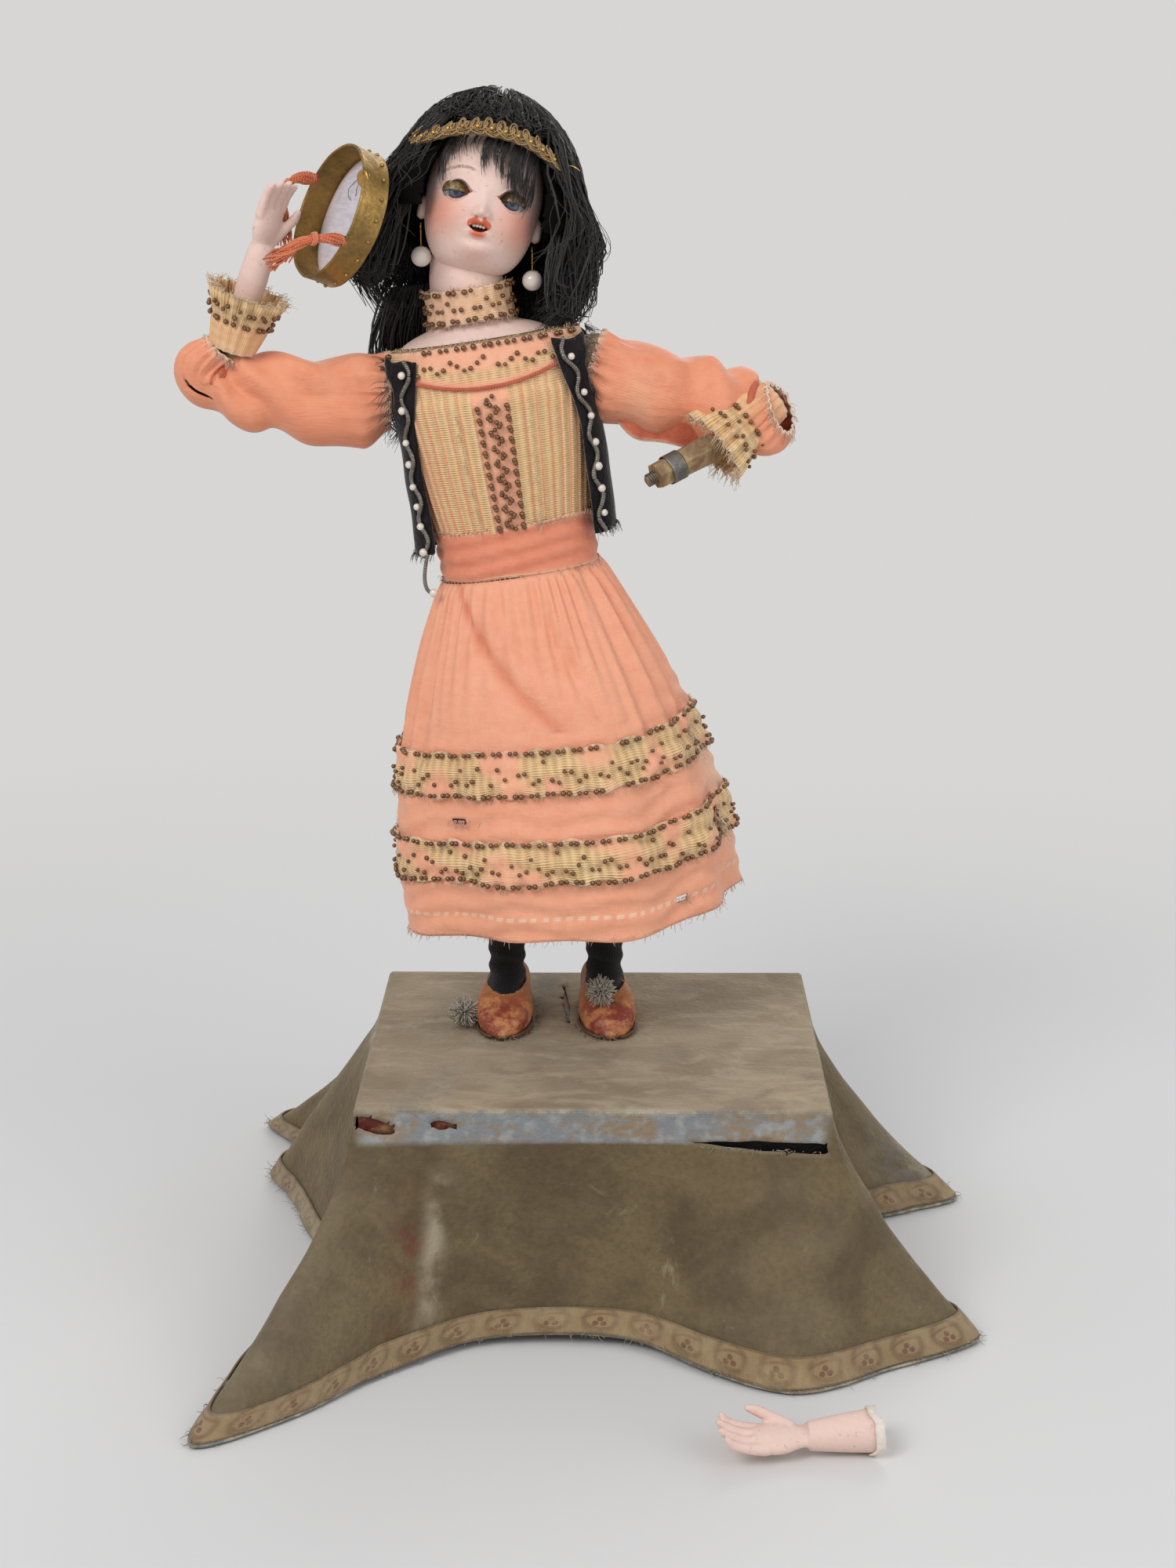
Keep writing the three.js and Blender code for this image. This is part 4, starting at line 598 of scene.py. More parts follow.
def arc_group():
    """A painted arc on the face: a parabola through X, Y with a bend, fading at both ends."""

    def lay(t, ins):
        u, v, _ = t.split(ins["Vector"])
        across = t.less(u, ins["X"])
        share = t.over(across, ins["Half width"])
        line = t.plus(ins["Y"], t.plus(t.mul(t.mul(share, share), ins["Bend"]), t.mul(share, ins["Tilt"])))
        near = t.sum("ABSOLUTE", t.less(v, line))
        end = t.less(1.0, t.step(t.sum("ABSOLUTE", share), 0.75, 1.05))
        thick = t.mul(ins["Thickness"], t.plus(0.4, t.mul(end, 0.6)))
        inside = t.less(1.0, t.step(t.over(near, thick), 0.5, 1.1))
        return {"Inside": t.mul(inside, end)}

    return shared_group("Painted arc", [("Vector", "Vector", None), ("X", "Float", 0.0), ("Y", "Float", 0.0),
                                        ("Half width", "Float", 1.0), ("Bend", "Float", 0.0),
                                        ("Tilt", "Float", 0.0), ("Thickness", "Float", 0.5)],
                        [("Inside", "Float")], lay)


def material(name, lay, bump=0.0002, **shader):
    """A Principled material: constants go on its own sockets, lay(tree) gives what changes."""
    found = bpy.data.materials.get(name)
    if found:
        return found
    made = bpy.data.materials.new(name)
    made.use_nodes = True
    principled = made.node_tree.nodes["Principled BSDF"]
    t = Tree(made.node_tree)
    for key, value in shader.items():
        t.plug(principled.inputs[key.replace("_", " ")], value)
    for label, value in lay(t).items():
        if label == "Height":
            made_bump = t.add("Bump", Height=value, Distance=bump, Strength=1.0)
            t.plug(principled.inputs["Normal"], made_bump.outputs[0])
        else:
            t.plug(principled.inputs[label], value)
    return made


# Finishes

BACKDROP = "#dddcda"

# Base, shade and glow; base and shade; bright, dull, roughness and brushing
YARNS = {
    "Velvet threads": ("#a4987c", "#70664f", "#c9bfa4"), "Trim threads": ("#b09a70", "#7d6744", "#d0bd92"),
    "Coral cord": ("#d2694a", "#a8452f", "#e58f6c"), "Frayed silk": ("#ecd0a4", "#c99a66", "#f6e3c4"),
    "Sash threads": ("#e8b594", "#b86a4b", "#f5dcc2"), "Skirt threads": ("#f0bd9c", "#c98360", "#fae0c8"),
    "Black threads": ("#1c1819", "#3a3332", "#57504c"), "Gilt braid": ("#a67f49", "#6f4f2c", "#d9b878"),
    "Tassel yarn": ("yarn", "#b9482a", "#f29a6c"), "Pompom silk": ("#b3a692", "#776b58", "#ded4c2"),
}
GARMENTS = {
    "Bodice satin": ("#f0ad8b", "#dd8f6c", "#f7cfae"), "Sash satin": ("coral", "#c66c4c", "#efab8a"),
    "Skirt satin": ("salmon", "#df8c6a", "#f6bf9e"), "Skirt inside": ("#d99a78", "#b57351", "#e6b392"),
    "Band ribbon": ("#f0a988", "#dd8c69", "#f7cfb0"), "Choker satin": ("#ecc09d", "#d69a74", "#f7dcc0"),
    "Band gilt": ("#7b5c36", "#503820", "#a5834f"), "Sleeve satin": ("#ea9873", "#d07756", "#f4b592"),
    "Sleeve inside": ("#c56346", "#a04830", "#dc8263"), "Cuff ribbon": ("#ecb184", "#cf8f5c", "#f5dab3"),
}
BEADS = {"Amber beads": ("#96683f", "#4a301e"), "Dark beads": ("#8c857c", "#3c3938")}
METALS = {
    "Aged brass": ("#ae8c50", "#544329", 0.36, (1, 1, 1)),
    "Lead weight": ("#8c8c8a", "#5e5c58", 0.45, (1, 1, 1)),
    "Gilt": ("#d5a95c", "#8a6231", 0.3, (1, 1, 1)), "Grey iron": ("#85827c", "#46423d", 0.45, (1, 1, 1)),
    "Works brass": ("#c8a052", "#7c6236", 0.3, (1, 1, 12)),
    "Works steel": ("#9a9892", "#5b5650", 0.35, (1, 12, 1)),
}
# Dark, light, paint, wear and grain
WOODS = {
    "Broken bisque": ("#efe6da", "#d9cbbb", None, 0.6, (60, 60, 60)),
    "Red painted wood": ("#7a5434", "#a98559", "#6f2a22", 0.7, (4, 60, 60)),
    "Old wood": ("#7c6044", "#b09469", None, 0.6, (60, 60, 4)),
}


def velvet_finish():
    """Short worn pile, threadbare where bare is high, with a stain, creases and dust."""

    def lay(t):
        at = t.objects()
        patches = t.group(mottle_group(), Vector=at, Scale=26.0)
        nap = t.noise(at, 420.0, 3)
        pile = t.mix(patches["Broad"], "velvet_dark", "velvet_light")
        pile = t.mix(t.mul(patches["Fine"], 0.16), pile, "#7d6c50")
        pile = t.mix(t.mul(t.step(nap, 0.4, 0.7), 0.3), pile, "#4f4634")
        streak = t.step(t.noise(t.place(at, (1, 2.6, 1)), 34.0, 5, 0.7, 0.8), 0.45, 0.68)
        lid = t.mix(patches["Broad"], "#7d6b55", "#95836b")
        lid = t.mix(t.mul(streak, 0.5), lid, "#b9a78b")
        pile = t.mix(t.value("top"), pile, lid)
        wisps = t.step(t.noise(t.place(at, (1.6, 1, 0.8)), 24.0, 6, 0.75, 1.2), 0.6, 0.72)
        pile = t.mix(t.mul(wisps, 0.55), pile, "#a2957a")
        bare = t.mul(t.value("bare"),
                     t.plus(0.35, t.mul(t.step(t.noise(at, 170.0, 5, 0.7), 0.38, 0.62), 0.75)))
        threads = t.mix(t.step(t.noise(at, 70.0, 3), 0.4, 0.6), "#c6bda6", "#8f9496")
        colour = t.mix(t.sum("MINIMUM", bare, 1.0), pile, threads)
        worn = t.mix(t.step(t.noise(t.place(at, (1, 1, 2.5)), 30.0, 5, 0.7, 0.5), 0.44, 0.6), "#83878a",
                     "#8f7d66")
        worn = t.mix(t.step(t.noise(at, 150.0, 4), 0.45, 0.7), worn, "#9b9d9c")
        colour = t.mix(t.mul(t.value("strip"), 0.95), colour, worn)
        colour = t.mix(t.mul(t.value("stain"), t.step(t.noise(at, 60.0, 5, 0.7), 0.4, 0.7)), colour,
                       "#6b3a2b")
        colour = t.mix(t.mul(t.value("crease"), t.step(t.noise(at, 50.0, 4), 0.35, 0.65)), colour, "#a79c84")
        colour = t.mix(t.group(dust_group(), Vector=at, Amount=0.35)["Dust"], colour, "#b0a593")
        weave = t.group(weave_group(), Vector=t.uv(), Across=5200.0, Along=5200.0, Rib=0.3)
        height = t.plus(t.mul(nap, 1.1),
                        t.plus(t.mul(t.mul(weave["Height"], bare), 0.8), t.mul(patches["Fine"], 0.3)))
        return {"Base Color": colour, "Roughness": t.plus(0.8, t.mul(bare, 0.1)), "Height": height}

    return material("Worn velvet", lay, 0.0006, Sheen_Weight=0.45, Sheen_Roughness=0.4,
                    Sheen_Tint="#c9bda2", Specular_IOR_Level=0.15)


def lining_finish():
    """Dark coarse lining under the velvet."""

    def lay(t):
        at = t.objects()
        colour = t.mix(t.noise(at, 60.0), "#2b2620", "#4b4336")
        weave = t.group(weave_group(), Vector=t.uv(), Across=4200.0, Along=4200.0, Rib=0.4)
        return {"Base Color": colour, "Roughness": t.plus(0.85, t.mul(weave["Height"], 0.05)),
                "Height": weave["Height"]}

    return material("Drape lining", lay, 0.0002, Specular_IOR_Level=0.1)


def galloon_finish():
    """Woven trim: tan ribbed ground, brown arcs between stripes, and berries in threes."""

    def lay(t):
        u, v, _ = t.split(t.uv())
        step, width = 0.021, 0.016
        cell = t.less(t.sum("FRACT", t.over(u, step)), 0.5)
        x = t.mul(cell, step)
        y = t.less(v, width / 2)
        place = t.add("CombineXYZ", x, y, 0.0).outputs[0]
        spot = lambda px, py, r: t.group(spot_group(), Vector=place, X=px, Y=py,
                                         **{"Half width": r, "Half height": r}, Softness=0.25)["Inside"]
        berries = t.most(spot(-0.0018, 0.0012, 0.0013), spot(0.0018, 0.0012, 0.0013),
                         spot(0.0, -0.0014, 0.0013))
        ring = t.less(spot(0.0, -0.001, 0.0078), spot(0.0, -0.001, 0.0062))
        leaf = t.group(arc_group(), Vector=place, X=0.0, Y=0.0042, **{"Half width": 0.006}, Bend=-0.002,
                       Tilt=0.001, Thickness=0.0011)["Inside"]
        twig = t.group(arc_group(), Vector=place, X=0.0, Y=-0.0044, **{"Half width": 0.009}, Bend=0.0025,
                       Tilt=-0.001, Thickness=0.0009)["Inside"]
        stripe = t.step(t.sum("ABSOLUTE", y), 0.0066, 0.0071)
        at = t.objects()
        worn = t.step(t.noise(at, 90.0, 5, 0.7), 0.42, 0.68)
        ground = t.mix(t.noise(at, 35.0), "#8d7350", "#a98f66")
        colour = t.mix(t.mul(ring, 0.75), ground, "#5d4428")
        colour = t.mix(t.mul(berries, 0.8), colour, "#6d3a28")
        colour = t.mix(t.mul(t.most(leaf, twig), 0.7), colour, "#7c5a34")
        colour = t.mix(t.mul(stripe, 0.7), colour, "#6e5433")
        colour = t.mix(t.mul(worn, 0.45), colour, "#b8a47f")
        weave = t.group(weave_group(), Vector=t.uv(), Across=6500.0, Along=9000.0, Rib=0.5)
        raised = t.most(ring, leaf, berries)
        colour = t.mix(t.mul(weave["Tone"], 0.25), colour, "#5b4a31")
        return {"Base Color": colour, "Roughness": t.plus(0.62, t.mul(worn, 0.2)),
                "Height": t.plus(t.mul(weave["Height"], 0.35), raised)}

    return material("Woven galloon", lay, 0.0004, Sheen_Weight=0.2)


def wood_finish(name):
    """Wood: noise drawn out along the grain; under paint it shows only where edges and scratches are worn. On
    the painted pieces a near-black band from 82 to 93 mm up is painted shadow, for the gap under the lid.
    """
    dark, light, paint, wear, grain = WOODS[name]

    def lay(t):
        at = t.objects()
        lines = t.noise(t.place(at, grain), 4.0, 6, 0.65, 0.8)
        timber = t.mix(t.step(lines, 0.35, 0.7), dark, light)
        colour, height = timber, t.mul(lines, 0.6)
        rough = t.plus(0.62, t.mul(lines, 0.2))
        if paint:
            worn = t.group(rub_group(), Vector=at, Scale=110.0, Scratches=0.35, Amount=wear)["Worn"]
            coat = t.mix(t.noise(at, 18.0, 6), paint, "#4f1d17")
            colour = t.mix(worn, coat, timber)
            height = t.less(t.mul(lines, 0.3), t.mul(worn, 0.5))
            rough = t.plus(0.5, t.mul(worn, 0.3))
            # Painted shadow: a near-black band from 82 to 93 mm up, where the gap under the lid lies in shade
            up = t.split(at)[2]
            gap = t.mul(t.step(up, 0.082, 0.085), t.less(1.0, t.step(up, 0.0915, 0.0935)))
            colour = t.mix(gap, colour, "#0d0a09")
        colour = t.mix(t.group(dust_group(), Vector=at, Amount=0.4)["Dust"], colour, "#a89a86")
        return {"Base Color": colour, "Roughness": rough, "Height": height}

    return material(name, lay, 0.0003, Specular_IOR_Level=0.3)


def metal_finish(name):
    """Aged metal: patches of tarnish dull it, brushing and fine pits roughen it, edges stay bright."""
    bright, dull, rough, brushed = METALS[name]

    def lay(t):
        at = t.objects()
        patches = t.group(mottle_group(), Vector=at, Scale=70.0)
        worn = t.group(rub_group(), Vector=at, Scale=300.0, Scratches=0.5, Amount=1.0)["Worn"]
        lines = t.noise(t.place(at, brushed), 900.0, 3)
        dull_share = t.plus(t.mul(patches["Broad"], 0.5), t.mul(patches["Fine"], 0.2))
        tarnish = t.less(dull_share, worn, clamp=True)
        colour = t.mix(tarnish, bright, dull)
        roughness = t.plus(rough, t.plus(t.mul(tarnish, 0.25), t.mul(lines, 0.08)))
        metal = t.less(1.0, t.mul(tarnish, 0.35))
        return {"Base Color": colour, "Roughness": roughness, "Metallic": metal,
                "Height": t.plus(t.mul(lines, 0.4), patches["Fine"])}

    return material(name, lay, 0.00006)


def black_velvet_finish():
    """Black pile with a soft bloom and grey dust in the hollows."""

    def lay(t):
        at = t.objects()
        nap = t.noise(at, 500.0, 3)
        patches = t.group(mottle_group(), Vector=at, Scale=35.0)
        colour = t.mix(t.mul(patches["Broad"], 0.5), "#171316", "#2b2526")
        colour = t.mix(t.mul(t.step(nap, 0.5, 0.75), 0.3), colour, "#443b3a")
        return {"Base Color": colour, "Roughness": t.plus(0.8, t.mul(nap, 0.15)), "Height": nap}

    return material("Black velvet", lay, 0.0004, Sheen_Weight=0.3, Sheen_Roughness=0.35,
                    Specular_IOR_Level=0.12)


def bisque_finish():
    """Tinted bisque without paint: faint mottling, rubbed grey specks and small pits."""

    def lay(t):
        at = t.objects()
        return {**bisque_base(t, at), "Roughness": t.plus(0.46, t.mul(t.noise(at, 300.0), 0.15))}

    return material("Bisque", lay, 0.00008, Subsurface_Weight=0.06, Subsurface_Scale=0.002,
                    Specular_IOR_Level=0.4)


def bisque_base(t, at):
    """Colour and height that all bisque shares."""
    patches = t.group(mottle_group(), Vector=at, Scale=45.0)
    colour = t.mix(t.mul(patches["Broad"], 0.3), "bisque", "#eacbbb")
    colour = t.mix(t.mul(patches["Fine"], 0.14), colour, "#d8ada0")
    speck = t.step(t.noise(at, 520.0, 2), 0.66, 0.72)
    colour = t.mix(t.mul(speck, 0.35), colour, "#9b8277")
    return {"Base Color": colour, "Height": t.less(t.mul(patches["Fine"], 0.4), speck)}


def face_finish():
    """Painted bisque: blush, lips, brows, lashes and nostrils are spots and arcs on the face's UVs."""

    def lay(t):
        at = t.objects()
        made = bisque_base(t, at)
        face = t.uv()
        front = t.value("front")
        spot = lambda x, y, w, h, soft: t.group(
            spot_group(), Vector=face, X=x * MM, Y=y * MM,
            **{"Half width": w * MM, "Half height": h * MM}, Softness=soft)["Inside"]
        arc = lambda x, y, w, bend, tilt, thick: t.group(
            arc_group(), Vector=face, X=x * MM, Y=y * MM, Bend=bend * MM, Tilt=tilt * MM,
            **{"Half width": w * MM}, Thickness=thick * MM)["Inside"]
        blush = t.most(spot(-17, -14, 9, 8, 0.9), spot(17, -14, 9, 8, 0.9))
        chin = spot(0, -29, 5, 3.5, 0.9)
        brows = t.most(arc(-12.5, 4.6, 7.5, -1.8, 0.9, 0.9), arc(12.5, 4.6, 7.5, -1.8, -0.9, 0.9))
        hairs = t.step(t.noise(t.place(face, (2600, 700, 1)), 1.0, 2), 0.3, 0.6)
        lips = t.value("lips")
        lashes = t.value("lash")
        nostrils = t.most(spot(-1.7, -14.7, 0.8, 0.55, 0.5), spot(1.7, -14.7, 0.8, 0.55, 0.5))
        corners = t.most(spot(-6.2, -4.9, 0.6, 0.6, 0.5), spot(6.2, -4.9, 0.6, 0.6, 0.5))
        worn = t.step(t.noise(at, 260.0, 4), 0.62, 0.72)
        fade = lambda mask, amount: t.mul(t.mul(mask, front), amount)
        colour = t.mix(fade(blush, 0.66), made["Base Color"], "#e0876a")
        colour = t.mix(fade(chin, 0.3), colour, "#e0a08c")
        colour = t.mix(fade(t.mul(brows, hairs), 0.75), colour, "#6f4c36")
        colour = t.mix(fade(lashes, 0.95), colour, "#20130f")
        colour = t.mix(fade(t.less(lips, t.mul(worn, 0.4), clamp=True), 0.95), colour, "#d8653a")
        colour = t.mix(fade(t.most(nostrils, corners), 0.85), colour, "#cc5a3e")
        # Painted shade: the open mouth's pit is painted near black
        colour = t.mix(t.value("inside"), colour, "#2a1512")
        gloss = t.less(t.plus(0.46, t.mul(t.noise(at, 300.0), 0.15)), t.mul(fade(lips, 1.0), 0.2))
        return {"Base Color": colour, "Roughness": gloss, "Height": made["Height"]}

    return material("Painted bisque", lay, 0.00008, Subsurface_Weight=0.06, Subsurface_Scale=0.002,
                    Specular_IOR_Level=0.4)


def hair_finish():
    """Black mohair: each strand is a little lighter or browner, by its own number."""

    def lay(t):
        tone = t.value("tone")
        colour = t.mix(tone, "#0b0a0b", "#2e2522")
        rough = t.plus(0.38, t.mul(tone, 0.25))
        lines = t.noise(t.place(t.objects(), (1, 1, 0.15)), 900.0, 3)
        return {"Base Color": colour, "Roughness": rough, "Height": lines}

    return material("Black mohair", lay, 0.0003, Specular_IOR_Level=0.4, Sheen_Weight=0.1)


def cap_finish():
    """Matt black net under the hair, with the strands' fine lines."""

    def lay(t):
        lines = t.noise(t.place(t.objects(), (1, 1, 0.12)), 700.0, 4)
        return {"Base Color": t.mix(lines, "#050505", "#15110f"),
                "Roughness": t.plus(0.85, t.mul(lines, 0.1)), "Height": lines}

    return material("Wig net", lay, 0.001, Specular_IOR_Level=0.08)


def yarn_finish(name):
    """Spun yarn: slanting plies along the strand, uneven dye from noise."""
    base, shade, glow = YARNS[name]

    def lay(t):
        u, v, _ = t.split(t.uv())
        ply = t.sum("SINE", t.plus(t.mul(v, 5200.0), t.mul(u, 2600.0)))
        at = t.objects()
        colour = t.mix(t.noise(at, 120.0, 4), base, shade)
        colour = t.mix(t.mul(t.step(ply, -0.5, 1.0), 0.35), colour, glow)
        colour = t.mix(t.mul(t.value("tone"), 0.6), colour, glow)
        return {"Base Color": colour, "Roughness": t.plus(0.75, t.mul(ply, 0.08)), "Height": ply}

    return material(name, lay, 0.00015, Sheen_Weight=0.3, Specular_IOR_Level=0.15)


def leather_finish():
    """Scuffed leather: cell grain, dark red patches at the toes, pale scuffs on edges."""

    def lay(t):
        at = t.objects()
        cells = t.add("TexVoronoi", Vector=at, Scale=900.0).outputs["Distance"]
        patches = t.group(mottle_group(), Vector=at, Scale=48.0)
        colour = t.mix(patches["Broad"], "#cf8c58", "#b9744a")
        colour = t.mix(t.mul(t.value("toe"), t.step(t.noise(at, 110.0, 4, 0.7), 0.35, 0.6)), colour,
                       "#84382a")
        scuff = t.group(rub_group(), Vector=at, Scale=150.0, Scratches=0.6, Amount=1.0)["Worn"]
        colour = t.mix(t.mul(scuff, 0.8), colour, "#e2b98c")
        colour = t.mix(t.mul(t.value("sole"), 0.9), colour, "#4a2e1c")
        return {"Base Color": colour, "Roughness": t.plus(0.5, t.mul(patches["Fine"], 0.2)),
                "Height": t.less(cells, t.mul(scuff, 0.5))}

    return material("Shoe leather", lay, 0.00018, Specular_IOR_Level=0.35)


def stocking_finish():
    """Black knitted stocking: rows of loops as sines, thinner and greyer in places."""

    def lay(t):
        weave = t.group(weave_group(), Vector=t.uv(), Across=7500.0, Along=6000.0, Rib=0.6)
        worn = t.step(t.noise(t.objects(), 45.0, 4), 0.5, 0.75)
        colour = t.mix(t.mul(worn, 0.5), "#141213", "#35302f")
        colour = t.mix(t.mul(weave["Tone"], 0.25), colour, "#2b2728")
        return {"Base Color": colour, "Roughness": t.plus(0.8, t.mul(worn, 0.1)), "Height": weave["Height"]}

    return material("Stocking", lay, 0.0002, Sheen_Weight=0.2, Specular_IOR_Level=0.15)


def skin_finish():
    """Drum skin: milky with faint fibres, a yellowed rim and small stains."""

    def lay(t):
        at = t.objects()
        fibres = t.noise(t.place(at, (1, 1, 6)), 120.0, 6, 0.7)
        colour = t.mix(t.step(fibres, 0.35, 0.7), "#d8d2d6", "#c3bcc6")
        colour = t.mix(t.mul(t.value("rim"), 0.7), colour, "#b39c7c")
        colour = t.mix(t.mul(t.step(t.noise(at, 75.0, 5), 0.58, 0.72), 0.35), colour, "#a89a92")
        return {"Base Color": colour, "Roughness": t.plus(0.5, t.mul(fibres, 0.2)), "Height": fibres}

    return material("Drum skin", lay, 0.0002, Subsurface_Weight=0.1, Subsurface_Scale=0.001)


def pearl_finish():
    """Pearl: a pale body with a warm and cool bloom under a clear coat."""

    def lay(t):
        at = t.objects()
        colour = t.mix(t.noise(at, 260.0, 2), "#eadfd2", "#cdbfb4")
        return {"Base Color": colour, "Roughness": t.plus(0.2, t.mul(t.noise(at, 700.0), 0.1))}

    return material("Pearl", lay, Coat_Weight=0.6, Coat_Roughness=0.1, Sheen_Weight=0.2)


def bead_finish(name):
    """Glass seed beads, each with its own tone."""
    base, shade = BEADS[name]

    def lay(t):
        at = t.objects()
        return {"Base Color": t.mix(t.noise(at, 480.0, 2), base, shade),
                "Roughness": t.plus(0.2, t.mul(t.noise(at, 900.0, 2), 0.14))}

    return material(name, lay, Metallic=0.6, Coat_Weight=0.4, Coat_Roughness=0.08)


def eye_finish():
    """Sleeping eye: white glass, painted grey as the shade in the socket, with a ringed grey-blue iris and a
    dark pupil below a painted ochre lid.
    """

    def lay(t):
        at = t.objects()
        lid, iris, pupil, rim = (t.value(n) for n in ("lid", "iris", "pupil", "rim"))
        rays = t.noise(at, 900.0, 3)
        blue = t.mix(rays, "#2b3342", "#65728a")
        # The white is painted mid grey: painted shade for the eye's place deep in its socket
        colour = t.mix(iris, "#85888c", blue)
        colour = t.mix(t.most(pupil, t.mul(rim, 0.8)), colour, "#15161a")
        speck = t.step(t.noise(at, 700.0, 4, 0.7), 0.4, 0.62)
        skin = t.mix(speck, "#86693a", "#4a381e")
        skin = t.mix(t.step(t.noise(at, 260.0, 3), 0.5, 0.7), skin, "#62543a")
        colour = t.mix(lid, colour, skin)
        colour = t.mix(t.mul(t.value("edge"), 0.9), colour, "#20160f")
        return {"Base Color": colour, "Roughness": t.plus(0.08, t.mul(lid, 0.45)),
                "Height": t.mul(speck, lid)}

    return material("Sleeping eye", lay, 0.0001, Coat_Weight=0.4)


def tooth_finish():
    """Small white glass teeth with yellowed roots."""

    def lay(t):
        return {"Base Color": t.mix(t.noise(t.objects(), 600.0), "#efe9dc", "#d6c9ac"),
                "Roughness": t.plus(0.2, t.mul(t.noise(t.objects(), 900.0), 0.1))}

    return material("Teeth", lay)


def floor_finish():
    """Pale paper floor: a hint of tone, passing into the backdrop's colour for the camera further out."""

    def lay(t):
        at = t.objects()
        x, y, _ = t.split(at)
        away = t.sum("SQRT", t.plus(t.mul(x, x), t.mul(y, y)))
        path = t.add("LightPath").outputs
        seen = t.most(path["Is Camera Ray"], path["Is Glossy Ray"])
        far = t.mul(t.step(away, 0.3, 1.1), seen)
        paper = t.mix(t.mul(t.noise(at, 3.0), 0.3), "#dcdbd9", "#d3d2d0")
        return {"Base Color": t.mix(far, paper, (0.0, 0.0, 0.0)),
                "Emission Color": t.mix(far, (0.0, 0.0, 0.0), BACKDROP),
                "Roughness": t.plus(0.8, t.mul(t.noise(at, 400.0), 0.1))}

    return material("Pale floor", lay, Emission_Strength=0.94, Specular_IOR_Level=0.0)


# Settings


def length(name, value, low, high, text):
    """A size in millimetres, shown in the panel."""
    return bpy.props.FloatProperty(name=name, default=value, min=low, max=high,
                                   description=text + ", in millimetres")


def shade(name, code, text):
    """A colour, shown in the panel."""
    return bpy.props.FloatVectorProperty(name=name, default=rgb(code), subtype="COLOR", min=0, max=1,
                                         description=text)


class DollLooks(bpy.types.PropertyGroup):
    """Sizes and colours of the dressing."""

    bead_radius: length("Bead radius", 1.25, 0.4, 2, "Half the width of a seed bead")
    bead_spacing: length("Bead spacing", 6.9, 2, 12, "Distance between two pairs of beads")
    cloth_thickness: length("Cloth thickness", 1.1, 0.4, 2, "Thickness of the velvet drape")
    dress_thickness: length("Dress thickness", 0.8, 0.3, 1.5, "Thickness of satin and ribbon")
    pleat_depth: length("Pleat depth", 1.6, 0, 3, "How far a pleat stands out")
    strand_radius: length("Strand radius", 0.55, 0.2, 1.5, "Half the thickness of a lock of hair")
    thread_radius: length("Thread radius", 0.2, 0.1, 0.5, "Half the thickness of a loose thread")
    strands: bpy.props.IntProperty(name="Strands", default=1900, min=200, max=4000,
                                   description="Number of locks on the wig")
    velvet_dark: shade("Velvet, dark", "#5a4c38", "Worn velvet in its darker patches")
    velvet_light: shade("Velvet, light", "#716247", "Worn velvet in its lighter patches")
    bisque: shade("Bisque", "#e6c8bc", "Tinted bisque of head, shoulders and hand")
    salmon: shade("Skirt satin", "#eda583", "Salmon satin of the skirt")
    coral: shade("Sash satin", "#de8667", "Coral satin of sash and sleeves")
    ochre: shade("Ribbon", "#f6d69c", "Ochre ribbed ribbon")
    yarn: shade("Yarn", "#e06f42", "Coral orange yarn of the tassels")


def looks():
    """The settings of this scene."""
    return bpy.context.scene.doll_looks


def declare_cloth(points, wrap=True, area=None):
    """Works out the cut of a piece of cloth, its mean row length by its mean column length, and returns
    nothing.
    """
    size = sheet_uv(points, wrap)[-1, -1]
    flat = (float(max(size[0], 0.011)), float(max(size[1], 0.011)))
    if area:
        side = (area * 1.1 / (flat[0] * flat[1])) ** 0.5
        flat = (flat[0] * side, flat[1] * side)


def grid_area(points, wrap=True):
    """Area in square metres of a grid of points in millimetres."""
    closed = np.concatenate([points, points[:, :1]], 1) if wrap else points
    a, b, c, d = closed[:-1, :-1], closed[:-1, 1:], closed[1:, 1:], closed[1:, :-1]
    return float(np.linalg.norm(np.cross(c - a, d - b), axis=-1).sum() / 2) * MM * MM


def even_shares(surface, down, spacing, low=0.0, high=1.0, count=900):
    """Shares across a surface, at one height, whose points are evenly spaced along it."""
    fine = np.linspace(low, high, count)
    line = surface(fine, np.broadcast_to(down, fine.shape))
    run = np.concatenate([[0], np.cumsum(np.linalg.norm(np.diff(line, axis=0), axis=1))])
    number = max(int(run[-1] / spacing), 2)
    return np.interp(np.linspace(0, run[-1], number, endpoint=False), run, fine)


def bead_line(heap, surface, down, out, low=0.0, high=1.0, pairs=True, wave=0.0, waves=0, skip=0.05, seed=1,
              slot=0):
    """Seed beads along a surface: in pairs, or one by one on a scalloped string, with some lost."""
    rng = np.random.default_rng(seed)
    spacing = looks().bead_spacing if pairs else looks().bead_radius * 2.3
    at = even_shares(surface, down, spacing, low, high)
    radius = looks().bead_radius * (1.0 if pairs else 0.85)
    heights = down + wave * np.abs(np.sin(at * math.pi * waves)) if waves else np.full(at.shape, down)
    kept = rng.random(len(at)) > skip
    at, heights = at[kept], heights[kept]
    first = lifted(surface, at, heights, out + radius * 0.5)
    heap.beads(first, radius * rng.uniform(0.85, 1.12, len(at)), 4, 6, slot=slot)
    if pairs:
        near = at + (high - low) * 0.33 / max(len(kept), 1)
        heap.beads(lifted(surface, near, heights, out + radius * 0.5),
                   radius * rng.uniform(0.8, 1.1, len(at)), 4, 6, slot=slot)


